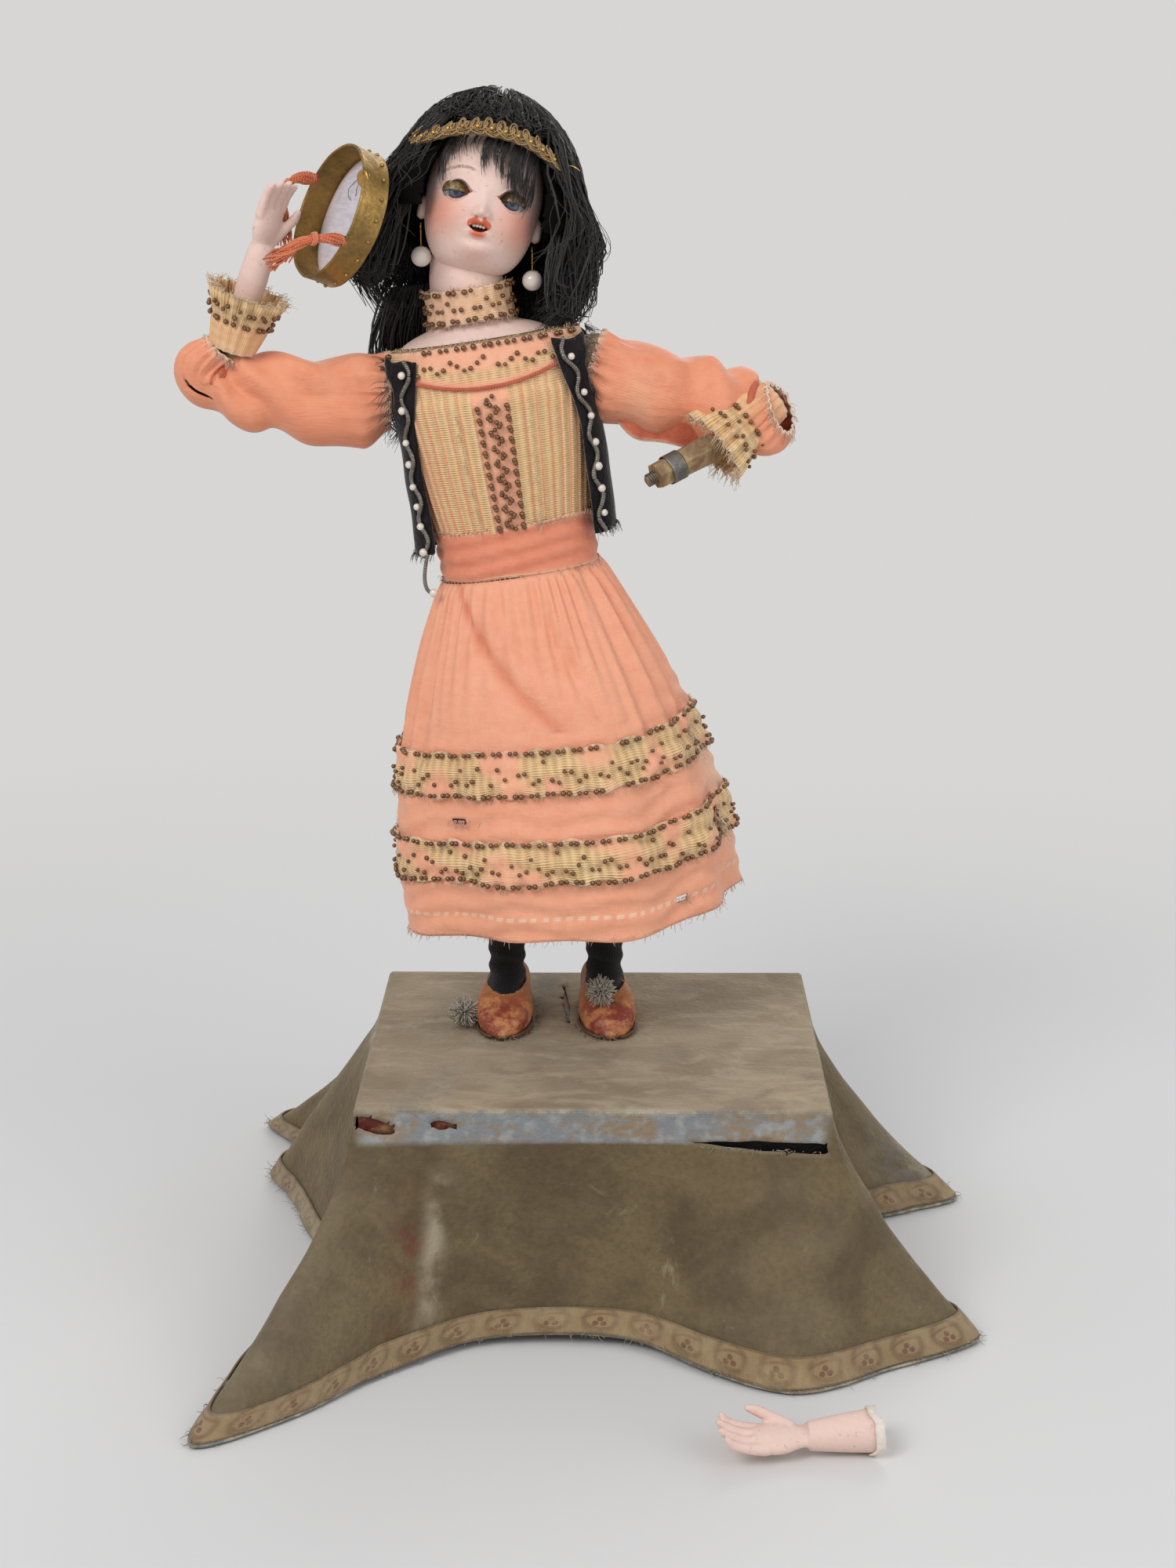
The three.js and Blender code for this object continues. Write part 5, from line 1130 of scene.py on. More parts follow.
def stray_threads(heap, starts, outward, count_each, reach, seed, droop=0.4, slot=0):
    """Frayed threads: short curved tubes from each start, each of its own length and way."""
    rng = np.random.default_rng(seed)
    starts = np.repeat(np.asarray(starts, float), count_each, 0)
    ways = np.repeat(np.asarray(outward, float), count_each, 0) + rng.normal(0, 0.45, starts.shape)
    ways = unit(ways) * (reach * rng.uniform(0.3, 1.0, (len(starts), 1)))
    side = rng.normal(0, 0.22, starts.shape) * reach
    t = np.linspace(0, 1, 5)[None, :, None]
    paths = starts[:, None] + ways[:, None] * t + side[:, None] * (t * (1 - t)) * 2
    paths[..., 2] -= droop * reach * (t[..., 0] ** 2)
    radius = looks().thread_radius * (1 - 0.6 * np.linspace(0, 1, 5))
    heap.tubes(paths, np.broadcast_to(radius, (len(starts), 5)), sides=3, slot=slot,
               tone=rng.random((len(starts), 1)))


# Velvet drape over the wooden case

HALF_X, HALF_Y, LID = 102.5, 86.5, 105.0
LEG_X = {"right": -41.3, "left": 4.5}
LID_STOPS = [0, 0.164, 0.364, 0.636, 0.856, 1]
LID_X = [0, HALF_X, HALF_X, -HALF_X, -HALF_X, 0]
LID_Y = [-HALF_Y, -HALF_Y, HALF_Y, HALF_Y, -HALF_Y, -HALF_Y]
# Place round the lid, hem point as shares of half width, half depth and height, and how the fall bellies out
HEM = np.array([
    [0, -.10, -1.17, .045, .10], [.05, .20, -1.22, .035, .10], [.095, .50, -1.42, .02, .15],
    [.135, .84, -1.56, .006, .30], [.158, 1.20, -1.40, .004, .40], [.172, 1.64, -1.08, .003, .45],
    [.186, 1.52, -.86, .006, .20], [.215, 1.33, -.60, .006, .20], [.25, 1.40, -.42, .003, .45],
    [.275, 1.36, -.12, .004, .40], [.30, 1.22, .16, .012, .25], [.33, 1.50, .36, .004, .25],
    [.352, 1.74, .56, .003, .30], [.372, 1.46, .92, .006, .25], [.40, 1.10, 1.26, .006, .25],
    [.45, .56, 1.22, .012, .15], [.50, .10, 1.16, .02, .12], [.56, -.44, 1.26, .01, .20],
    [.61, -.90, 1.42, .004, .35], [.64, -1.34, 1.62, .003, .35], [.662, -1.68, 1.56, .003, .40],
    [.69, -1.50, 1.16, .005, .50], [.72, -1.60, .84, .003, .75], [.748, -1.48, .54, .005, .75],
    [.775, -1.36, .16, .008, .50], [.805, -1.24, -.28, .01, .20], [.83, -1.28, -.80, .01, .20],
    [.85, -1.52, -1.70, .004, .25], [.862, -1.54, -2.10, .003, .25], [.878, -1.20, -1.88, .003, .20],
    [.905, -.84, -1.46, .01, .15], [.945, -.50, -1.18, .03, .10],
])


def drape_edge(turns):
    """Lid edge, hem and belly at a share of the way round, from the table of stations."""
    stations = np.arange(len(HEM) + 1) / len(HEM)
    shares = np.interp(turns, stations, [*HEM[:, 0], 1])
    lid = xyz(np.interp(shares, LID_STOPS, LID_X), np.interp(shares, LID_STOPS, LID_Y), LID)
    hem = spline(HEM[:, 1:4] * (HALF_X, HALF_Y, LID), turns, closed=True)
    belly = np.interp(turns, stations, [*HEM[:, 4], HEM[0, 4]])
    return lid, hem, belly


def drape_fall(turns, down):
    """The cloth below the lid: out from the edge by the fall to a power that belly lowers."""
    turns, down = np.broadcast_arrays(np.mod(turns, 1), np.asarray(down, float))
    lid, hem, belly = drape_edge(turns)
    share = np.clip(down, 0, 1.05)
    place = lid + (hem - lid) * (share ** (2.1 - 1.5 * belly))[..., None]
    place[..., 2] = LID - 1.5 + (hem[..., 2] - LID + 1.5) * share
    away = unit((hem - lid) * (1, 1, 0))
    loose = soft_step(share, 0.03, 0.5)
    folds = ripples(5, place * (0.045, 0.045, 0.012), 12, 0.6, 1.7) * 2.0
    soft = 1 - np.abs(ripples(7, place * (0.02, 0.02, 0.011), 6, 0.7, 1.6)) * 1.6
    folds = folds + 2.6 * soft * soft_step(share, 0.1, 0.6)
    fine = ripples(6, place * 0.16, 16, 0.5, 1.8) * 0.45
    place = place + away * ((folds + fine) * loose)[..., None]
    place[..., 2] = np.maximum(place[..., 2] + fine * loose * 0.5, looks().cloth_thickness + 0.4)
    return place


def drape_bare(place, down):
    """Threadbare places: the lid's edge, the hem and round tears, from 0 to 1."""
    edge = hump(down, 0.0, 0.035) * (0.45 + 0.4 * ripples(8, place * 0.03, 8, 0.5, 1.5))
    front = soft_step(-place[..., 1], 80, 100)
    rubbed = hump(down, 0.06, 0.055) * front * (0.75 + 0.35 * ripples(10, place * 0.06, 8, 0.5, 1.5))
    patch = hump(place[..., 0], -48, 16) * hump(place[..., 2], 96, 7) * front
    worn = soft_step(ripples(9, place * 0.028, 10, 0.5, 1.6), 0.75, 1.6) * 0.5
    return np.clip(np.maximum.reduce([edge, rubbed * 0.9, patch, hump(down, 1.0, 0.02) * 0.8, worn]), 0, 1)


def make_drape():
    """The drape over lid and case, one cloth with tears, and its dark lining."""
    columns, rows = 480, 74
    turns = np.arange(columns) / columns
    lid, _, _ = drape_edge(turns)
    rings = np.linspace(0.02, 0.985, 30)
    top = lid[None] * xyz(1, 1, 0) * rings[:, None, None]
    crease = ripples(11, top[..., :2] * 0.06, 12, 0.4, 1.6)
    top = top + xyz(0, 0, 1) * (LID - 0.15 + 0.16 * crease)[..., None]
    down, across = lattice(rows, columns, (0, 0), (1, 1), wrap=True)
    fall = drape_fall(across, down)
    points = np.concatenate([top, fall])
    fallen = np.concatenate([np.zeros(top.shape[:2]) - 0.2, down])
    x, y, z = points[..., 0], points[..., 1], points[..., 2]
    jag = ripples(12, points * 0.35, 10, 0.6, 2.0)
    slope = 89.4 - 0.035 * (x - 60)
    narrow = 2.1 * (1 - 0.75 * soft_step(76 - x, 0, 34))
    tear = np.maximum(np.abs(x - 71) - 29 - 2 * jag, 5 * (np.abs(z - slope) - narrow - 0.25 * jag))
    tear = np.where(y < -80, tear, 9)
    corner = (((x + 95) / (9 + 2 * jag)) ** 2 + ((y + 88) / 6) ** 2
              + ((z - 97 + 0.3 * (x + 95)) / (3.4 + jag)) ** 2 - 1)
    nick = ((x + 66) / (4 + 2 * jag)) ** 2 + ((y + 88) / 5) ** 2 + ((z - 97) / (1.6 + 0.6 * jag)) ** 2 - 1
    slit = np.maximum(np.abs(x + 13.5 + 0.06 * (y - 40)) - 1.1 - 0.5 * jag, np.abs(y - 40) - 26)
    slit = np.where(z > 100, slit, 9)
    keep = np.minimum.reduce([tear, 5 * corner, 5 * nick, slit])
    for foot in LEG_X.values():
        hollow = ((x - foot) / (9.5 + jag)) ** 2 + ((y - 26) / (13 + 2 * jag)) ** 2 - 1
        keep = np.minimum(keep, np.where(z > 100, 5 * hollow, 9))
    is_top = 1 - soft_step(fallen, -0.05, 0.06)
    bare = drape_bare(points, np.where(fallen < 0, 0.9, fallen)) * (fallen >= 0)
    rim = hump(np.minimum(np.abs(x) - HALF_X, np.abs(y) - HALF_Y), 0, 3) * (fallen < 0)
    streaks = soft_step(ripples(14, points[..., :2] * (0.09, 0.025), 9, 0.5, 1.5), 0.5, 1.4)
    bare = np.clip(np.maximum(bare, np.where(fallen < 0, streaks * 0.55 + rim * 0.4, 0)), 0, 1)
    stain = hump(x, -80 + 0.05 * (z - 40), 7) * soft_step(z, 8, 16) * (1 - soft_step(z, 62, 78)) * (y < -88)
    pale = (hump(x, -69 + 0.12 * (z - 40), 4.5) * soft_step(z, 6, 20) * (1 - soft_step(z, 70, 84))
            * (y < -88) * 0.8)
    strip = (soft_step(-y, 82, 86) * soft_step(z, 88.6, 90.4) * (1 - soft_step(z, 101.5, 103.4))
             * (fallen >= 0))
    strip = strip * (1 - soft_step(np.abs(x), 97, 103))
    heap = Heap()
    heap.grid(points, wrap=True, caps=(True, False), keep=keep, top=is_top, bare=bare, strip=strip,
              stain=stain, crease=pale)
    drape = heap.build("velvet_cloth", velvet_finish(), lining_finish(), body="root", slot="velvet",
                       replaces=("velvet_drape",), thickness=looks().cloth_thickness, inner=1)
    area = grid_area(points)

    # Ragged edges: threads round the tear, round the shoes and along the hem
    rng = np.random.default_rng(21)
    fray = Heap()
    tear_x = rng.uniform(46, 98, 34)
    fray_starts = xyz(tear_x, -HALF_Y - 1.6, 87.6 - 0.035 * (tear_x - 60))
    stray_threads(fray, fray_starts, np.broadcast_to([0, -0.6, -0.2], (34, 3)), 1, 3.5, 22)
    angle = rng.uniform(0, FULL, 70)
    for foot in LEG_X.values():
        ring = xyz(foot + 14 * np.cos(angle), 22 + 30 * np.sin(angle), LID + 0.3)
        stray_threads(fray, ring, xyz(np.cos(angle), np.sin(angle), 0.25), 1, 6, 23, droop=0.1)
    hem_turns = rng.uniform(0, 1, 420)
    hem = drape_fall(hem_turns, np.full(420, 0.995))
    middle = hem * (1, 1, 0)
    stray_threads(fray, hem + xyz(0, 0, 0.6), unit(middle), 1, 5, 24, droop=0.0)
    fray.build("velvet_threads", yarn_finish("Velvet threads"), body="root", slot="velvet")
    return drape


def make_trim():
    """The galloon sewn along the hem, following the cloth's folds."""
    columns, rows = 900, 9
    turns = np.arange(columns) / columns
    near = np.linalg.norm(drape_fall(turns, np.full(columns, 1.0))
                          - drape_fall(turns, np.full(columns, 0.88)), axis=1)
    reach = np.minimum(16 / np.maximum(near, 1e-3), 1.0)
    share, across = lattice(rows, columns, (0, 0), (1, 1), wrap=True)
    down = 1 - 0.12 * (1 - share * 0.94) * reach[None]
    points = drape_fall(across, down)
    out = (lifted(drape_fall, across, np.minimum(down, 0.995), 0.9)
           - drape_fall(across, np.minimum(down, 0.995)))
    flat = np.where(np.linalg.norm(out, axis=-1, keepdims=True) > 0.5, out, [[[0, 0, 0.9]]])
    flat = flat * np.where((flat * (points * (1, 1, 0) + (0, 0, 60))).sum(-1, keepdims=True) < 0, -1, 1)
    points = points + flat
    step = np.linalg.norm(np.diff(np.concatenate([points, points[:, :1]], 1), axis=1), axis=2).mean(0)
    u = np.concatenate([[0], np.cumsum(step)])
    u *= round(u[-1] / 21) * 21 / u[-1]
    uv = np.stack(np.broadcast_arrays(u[None, :], np.linspace(0, 16, rows)[:, None]), -1) * MM
    heap = Heap()
    heap.grid(points, wrap=True, uv=uv)
    trim = heap.build("galloon_trim", galloon_finish(), lining_finish(), body="root", slot="galloon",
                      replaces=("braid_trim",), thickness=0.9, inner=1, offset=0.0)
    declare_cloth(points)
    rng = np.random.default_rng(31)
    loose = Heap()
    at = rng.uniform(0, 1, 160)
    starts = drape_fall(at, np.full(160, 0.985)) + (0, 0, 1.2)
    stray_threads(loose, starts, unit(starts * (1, 1, 0)), 1, 6, 32, droop=0.0)
    loose.build("trim_threads", yarn_finish("Trim threads"), body="root", slot="galloon")


# Dress

OUTLINE = np.array([
    [.10, .40, .40], [.25, .44, .44], [.42, .50, .48], [.47, .49, .47], [.52, .50, .48],
    [.64, .57, .55], [.76, .63, .60], [.84, .66, .58], [.885, .62, .46],
])
BODY_HEIGHT, BODY_WIDTH, BODY_DEPTH = 232.0, 66.0, 46.0
BODICE_TOP = 204.8
BODICE_DEEP = BODICE_TOP - 122.0
VEST_TOP = 204.2
VEST_DEEP = VEST_TOP - 115.0
SHOULDER_X, SHOULDER_Z = 46.0, 188.0
NECK_X, BODY_TOP, YOKE_TOP, COLLAR_RADIUS = -4.0, 205.3, 205.6, 19.5


def garment_finish(name, soil=0.3, turn=math.pi / 2):
    """Satin: ochre says where ribbed ochre lies, coral where coral cloth lies and where shade is painted in
    pleat grooves and the skirt's fold, fray says where threads lie bare.
    """
    base, dark, glow = GARMENTS[name]

    def lay(t):
        at = t.objects()
        patches = t.group(mottle_group(), Vector=at, Scale=26.0)
        weave = t.group(weave_group(), Vector=t.uv(), Across=5200.0, Along=8800.0, Rib=0.35)
        ribs = t.group(weave_group(), Vector=t.place(t.uv(), turn=(0, 0, turn)), Across=6200.0, Along=1500.0,
                       Rib=1.3)
        creases = t.noise(t.place(at, (1, 1, 3.2)), 44.0, 4, 0.6, 0.4)
        colour = t.mix(t.mul(patches["Broad"], soil), base, dark)
        colour = t.mix(t.mul(patches["Fine"], 0.2), colour, glow)
        colour = t.mix(t.mul(weave["Tone"], 0.14), colour, dark)
        soiled = t.step(t.noise(at, 14.0, 5, 0.65), 0.58, 0.78)
        colour = t.mix(t.mul(soiled, soil), colour, "#b0714f")
        thread = t.step(ribs["Height"], -1.7, 0.5)
        ochre = t.mix(thread, "#d8a56c", "ochre")
        ochre = t.mix(t.mul(patches["Fine"], 0.3), ochre, "#f3dcb4")
        ochre = t.mix(t.mul(patches["Broad"], 0.25), ochre, "#e39f74")
        ochre = t.mix(t.mul(ribs["Tone"], 0.12), ochre, "#c08a55")
        colour = t.mix(t.value("ochre"), colour, ochre)
        # coral: coral patches, and painted shade in the bodice's pleat grooves and the skirt's deep fold
        colour = t.mix(t.value("coral"), colour, t.mix(patches["Fine"], "#d9765a", "#c2603f"))
        colour = t.mix(t.mul(t.value("fray"), thread), colour, "#e9d8bd")
        rough = t.plus(0.44, t.plus(t.mul(patches["Fine"], 0.14), t.mul(weave["Tone"], 0.14)))
        height = t.plus(t.mul(weave["Height"], 0.4), t.mul(t.mul(ribs["Height"], t.value("ochre")), 0.9))
        height = t.plus(height, t.mul(creases, 7.0))
        return {"Base Color": colour, "Roughness": rough, "Height": height}

    return material(name, lay, 0.00016, Sheen_Weight=0.25, Sheen_Roughness=0.35, Specular_IOR_Level=0.35)


def body_at(turns, z, grow):
    """The body's outline at a height: powers of cosine and sine with half width and depth from the table."""
    turns, z = np.broadcast_arrays(np.asarray(turns, float), np.asarray(z, float))
    half = BODY_WIDTH * np.interp(z / BODY_HEIGHT, OUTLINE[:, 0], OUTLINE[:, 1]) + grow
    depth = BODY_DEPTH * np.interp(z / BODY_HEIGHT, OUTLINE[:, 0], OUTLINE[:, 2]) + grow
    angle = turns * FULL - math.pi / 2
    return xyz(half * signed_power(np.cos(angle), 0.85), depth * signed_power(np.sin(angle), 0.85), z)


def front_x(turns):
    """A smooth number for how far from the front middle, -0.5 to 0.5 of the way round."""
    return np.mod(turns + 0.5, 1) - 0.5


def from_shoulders(points):
    """How far each point is from the nearer of the two shoulder pins."""
    return np.minimum(*(((points - (side * SHOULDER_X, 0, SHOULDER_Z)) ** 2).sum(-1) ** 0.5
                        for side in (-1, 1)))


def bodice_at(turns, share):
    """The bodice from neckline (0) to sash (1), with a placket, pleats and small wrinkles."""
    turns, share = np.broadcast_arrays(turns, np.asarray(share, float))
    z = BODICE_TOP - BODICE_DEEP * share
    away = front_x(turns)
    x = np.abs(away)
    pleats = (x > 0.022) & (x < 0.2)
    saw = np.mod((x - 0.022) / 0.0222, 1)
    below = soft_step(share, 0.24, 0.3)
    out = 1.2 + looks().pleat_depth * np.where(pleats, 0.15 + 0.95 * (1 - saw) ** 0.7, 0.35) * below
    out = out + 1.1 * hump(x, 0.0, 0.02) ** 0.5 * below
    base = body_at(turns, z, 0)
    out = out + 0.35 * ripples(41, base * 0.12, 10, 0.6, 1.6)
    return body_at(turns, z, out)


def make_bodice():
    """Bodice with yoke, pleats and placket, its cord and its strings of beads."""
    share, turns = lattice(84, 540, (0, 0), (1, 1), wrap=True)
    points = bodice_at(turns, share)
    x = np.abs(front_x(turns))
    z = points[..., 2]
    cord_z = 186 + 11 * soft_step(x, 0.0, 0.22)
    yoke = soft_step(z, cord_z - 0.4, cord_z + 0.4)
    # Each pleat's deep edge loses its ochre and gets coral (groove): painted shade in the pleat's fold
    saw = np.mod((x - 0.022) / 0.0222, 1)
    pleat = ((x > 0.022) & (x < 0.2)) * (1 - yoke)
    ochre = (pleat * (0.85 + 0.3 * ripples(42, points * 0.05, 8, 0.5, 1.5))
             * (1 - 0.9 * soft_step(saw, 0.8, 0.95)))
    middle = yoke * hump(z, cord_z + 5.2, 2.6) * (x < 0.2)
    ochre = np.clip(np.maximum(ochre, middle * 0.9), 0, 1)
    keep = from_shoulders(points) > 13.2
    heap = Heap()
    groove = pleat * soft_step(saw, 0.84, 1.0) * 0.7
    heap.grid(on_torso(points), wrap=True, keep=keep, ochre=ochre, coral=groove,
              fray=0.5 * hump(share, 0, 0.02))
    satin = garment_finish("Bodice satin")
    bodice = heap.build("bodice_cloth", satin, slot="ribbon", replaces=("bodice",),
                        thickness=looks().dress_thickness)
    declare_cloth(points)

    trims = Heap()
    at = np.linspace(-0.23, 0.23, 90)
    height = 186 + 11 * soft_step(np.abs(at), 0.0, 0.22)
    share_of = (BODICE_TOP - height) / BODICE_DEEP
    cord = lifted(bodice_at, at, share_of, 0.8)
    trims.tubes(on_torso(cord)[None], 0.85, sides=8)
    trims.build("bodice_cord", yarn_finish("Coral cord"), slot="silk")

    beads = Heap()
    world = lambda across, down: on_torso(bodice_at(across, down))
    bead_line(beads, world, 0.02, 0.5, -0.21, 0.21, seed=43)
    bead_line(beads, world, 0.075, 0.5, -0.16, 0.16, pairs=False, wave=0.05, waves=24, seed=44)
    rng = np.random.default_rng(45)
    rows = np.linspace(0.33, 0.965, 12)
    for column in (-0.0145, 0.0175):
        spots = np.full(12, column)
        beads.beads(on_torso(lifted(bodice_at, spots, rows, 1.3)), looks().bead_radius, 4, 6)
        beads.beads(on_torso(lifted(bodice_at, spots + 0.001, rows + 0.017, 1.3)), looks().bead_radius * 0.85,
                    4, 6)
    zig = np.linspace(0.28, 0.98, 56)
    beads.beads(on_torso(lifted(bodice_at, 0.0015 + 0.005 * np.sin(zig * 78), zig, 1.5)),
                looks().bead_radius * rng.uniform(0.75, 0.95, 56), 4, 6)
    beads.build("bodice_beads", bead_finish("Amber beads"), slot="pearl")

    fray = Heap()
    starts = bodice_at(rng.uniform(-0.2, 0.2, 90), np.full(90, 0.0)) + (0, -0.6, 0.3)
    stray_threads(fray, on_torso(starts), np.broadcast_to([0, -0.5, 0.8], (90, 3)), 1, 3.5, 46, droop=0.2)
    edge = bodice_at(np.tile([-0.05, 0.05], 45), rng.uniform(0.3, 1, 90)) + (0, -1.2, 0)
    stray_threads(fray, on_torso(edge), np.broadcast_to([0, -0.7, -0.3], (90, 3)), 1, 3.5, 47)
    fray.build("bodice_threads", yarn_finish("Frayed silk"), slot="silk")


def sash_at(turns, share):
    """The sash from its top (0) to its bottom (1): soft horizontal folds and a pinched front."""
    turns, share = np.broadcast_arrays(turns, np.asarray(share, float))
    z = 124.6 - 22.8 * share
    base = body_at(turns, z, 0)
    out = 2.6 + 0.8 * np.sin(share * math.pi) + 0.45 * np.sin(share * 19 + 2.2 * np.sin(turns * FULL * 2))
    out = out + 0.4 * ripples(51, base * 0.15, 10, 0.5, 1.5)
    edge = 0.6 * ripples(52, base * 0.2, 6, 0.5, 1.5) * (hump(share, 0, 0.1) + hump(share, 1, 0.1))
    place = body_at(turns, z, out)
    place[..., 2] += edge
    return place


def make_sash():
    """The coral sash with rough stitched edges."""
    share, turns = lattice(26, 300, (0, 0), (1, 1), wrap=True)
    points = sash_at(turns, share)
    heap = Heap()
    fray = hump(share, 0, 0.05) + hump(share, 1, 0.05)
    heap.grid(on_torso(points), wrap=True, ochre=0.25 * fray, coral=0.0, fray=0.7 * fray)
    satin = garment_finish("Sash satin")
    sash = heap.build("sash_cloth", satin, slot="satin", replaces=("waist_sash",),
                      thickness=looks().dress_thickness)
    declare_cloth(points)
    rng = np.random.default_rng(53)
    threads = Heap()
    for share_at, up in ((0.04, 0.6), (0.97, -0.6)):
        at = even_shares(sash_at, share_at, 2.2)
        heights = share_at + rng.normal(0, 0.02, len(at))
        start = lifted(sash_at, at, heights, 0.5)
        end = lifted(sash_at, at + 0.004, heights + 0.06 * np.sign(-up), 0.5)
        threads.tubes(on_torso(np.stack([start, (start + end) / 2 + (0, 0, 0), end], 1)),
                      looks().thread_radius * 1.2, sides=4)
        ragged = sash_at(rng.uniform(0, 1, 160), np.full(160, share_at))
        stray_threads(threads, on_torso(ragged), unit(ragged * (1, 1, 0)) + (0, 0, up), 1, 3.2, 54, droop=0.3)
    threads.build("sash_threads", yarn_finish("Sash threads"), slot="silk")


# Where each small fold starts at the waist and how far it leans, as shares of the way round
SKIRT_FOLDS = ((-0.205, 0.0), (-0.165, -0.01), (0.1, 0.03), (0.14, 0.03), (0.18, 0.02), (0.3, 0.02),
               (0.37, 0.0), (0.45, -0.01), (-0.4, 0.0), (-0.32, -0.02), (-0.26, -0.02))


def skirt_at(turns, share):
    """The skirt from the waist (0) to the hem (1): body outline widening to an ellipse with nine pleats."""
    turns, share = np.broadcast_arrays(turns, np.asarray(share, float))
    angle = turns * FULL - math.pi / 2
    waist = body_at(turns, 101.7, 3.4)
    pleat = 0.035 * np.cos(9 * angle + 2 * np.sin(angle))
    fold = 1 + share * (pleat + 0.02 * np.sin(4 * angle))
    lift = 4 * (0.6 - np.cos(angle) + 0.4 * np.cos(3 * angle))
    wide = xyz(76.5 * fold * np.cos(angle), 64 * fold * np.sin(angle), 0)
    swell = 1 - (1 - np.minimum(share / 0.85, 1)) ** 1.7
    place = waist + (wide - waist) * swell[..., None]
    place[..., 2] = 101.7 + (lift - 159.7) * share
    away = unit(place * (1, 1, 0))
    gathers = (np.sin(angle * 46 + 3 * np.sin(5 * angle)) * (1 - soft_step(share, 0.05, 0.5))
               * soft_step(share, 0, 0.03))
    front = front_x(turns)
    main = (hump(front, -0.085 + 0.36 * share, 0.016 + 0.05 * share)
            * np.sin(math.pi * np.clip(share / 0.5, 0, 1)))
    main = (main + 0.7 * hump(front, 0.035 + 0.14 * share, 0.014 + 0.03 * share)
            * np.sin(math.pi * np.clip(share / 0.6, 0, 1)))
    valley = hump(front, -0.12 + 0.34 * share, 0.012) * np.sin(math.pi * np.clip(share / 0.45, 0, 1))
    valley = (valley + 0.8 * hump(front, 0.005 + 0.17 * share, 0.011)
              * np.sin(math.pi * np.clip(share / 0.5, 0, 1)))
    lines = sum(hump(front, at + lean * share, 0.007) - 0.7 * hump(front, at + 0.016 + lean * share, 0.008)
                for at, lean in SKIRT_FOLDS)
    lines = lines * (1 - soft_step(share, 0.35, 0.75)) * soft_step(share, 0, 0.05)
    waves = np.sin(place[..., 2] * 0.62 + 1.8 * np.sin(angle * 4) + 1.1 * np.sin(angle * 11))
    waves = waves * (0.35 + 0.3 * ripples(61, place * 0.04, 8, 0.5, 1.5)) * soft_step(share, 0.25, 0.5)
    small = ripples(62, place * 0.11, 14, 0.5, 1.9) * 0.45
    out = 0.9 * gathers + 2.8 * main - 2.6 * valley + 1.7 * lines + 0.95 * waves + 1.3 * small
    return place + away * out[..., None]


BANDS = {"upper": 0.52, "lower": 0.77}
BAND_HALF = 0.0626


def skirt_wear_and_shade(points, share, turns):
    """Where the skirt is worn to the weft or stitched, and the painted shade along the valley of its deep
    fold.
    """
    front = front_x(turns)
    stitches = hump(share, 0.935, 0.004) * (np.sin(turns * FULL * 90) > -0.2)
    worn = soft_step(ripples(63, points * 0.05, 9, 0.5, 1.6), 0.9, 1.7) * 0.5
    # Painted shade: coral along the valley of the deep fold, in its upper part
    fold = hump(front, -0.12 + 0.34 * share, 0.008) * (share < 0.42) * 0.55
    return np.clip(np.maximum(worn, stitches), 0, 1), np.clip(fold, 0, 1)


def make_skirt():
    """The salmon skirt, open at the hem, with worn places and a stitched edge."""
    share, turns = lattice(108, 440, (0, 0), (1, 1), wrap=True)
    points = skirt_at(turns, share)
    hem = 0.8 * ripples(64, points * 0.09, 9, 0.5, 1.6) * soft_step(share, 0.96, 1)
    points[..., 2] += hem
    # coral here is the painted shade along the deep fold
    fray, coral = skirt_wear_and_shade(points, share, turns)
    jag = ripples(65, points * 0.4, 8, 0.5, 1.8)
    tears = np.zeros(share.shape, bool)
    for turn, at, wide in ((0.12, 0.935, 0.006), (0.9, 0.655, 0.008)):
        tears |= (((turns - turn) / wide) ** 2 + ((share - at) / (0.004 + 0.002 * jag)) ** 2) < 1
    heap = Heap()
    heap.grid(on_torso(points), wrap=True, keep=~tears, ochre=0.0, coral=coral, fray=fray)
    satin = garment_finish("Skirt satin", soil=0.32)
    inside = garment_finish("Skirt inside")
    skirt = heap.build("skirt_cloth", satin, inside, slot="satin", replaces=("skirt",),
                       thickness=looks().dress_thickness, inner=1)
    declare_cloth(points)
    rng = np.random.default_rng(66)
    threads = Heap()
    at = rng.uniform(0, 1, 260)
    start = skirt_at(at, np.full(260, 0.995))
    stray_threads(threads, on_torso(start), unit(start * (1, 1, 0)) * 0.2 + (0, 0, -1), 1, 4, 67, droop=0.2)
    for turn, share_at in ((0.12, 0.935), (0.9, 0.655)):
        near = skirt_at(turn + rng.normal(0, 0.008, 24), np.full(24, share_at - 0.004))
        stray_threads(threads, on_torso(near), unit(near * (1, 1, 0)) * 0.5 + (0, 0, -0.8), 1, 3.5, 68)
    threads.build("skirt_threads", yarn_finish("Skirt threads"), slot="silk")


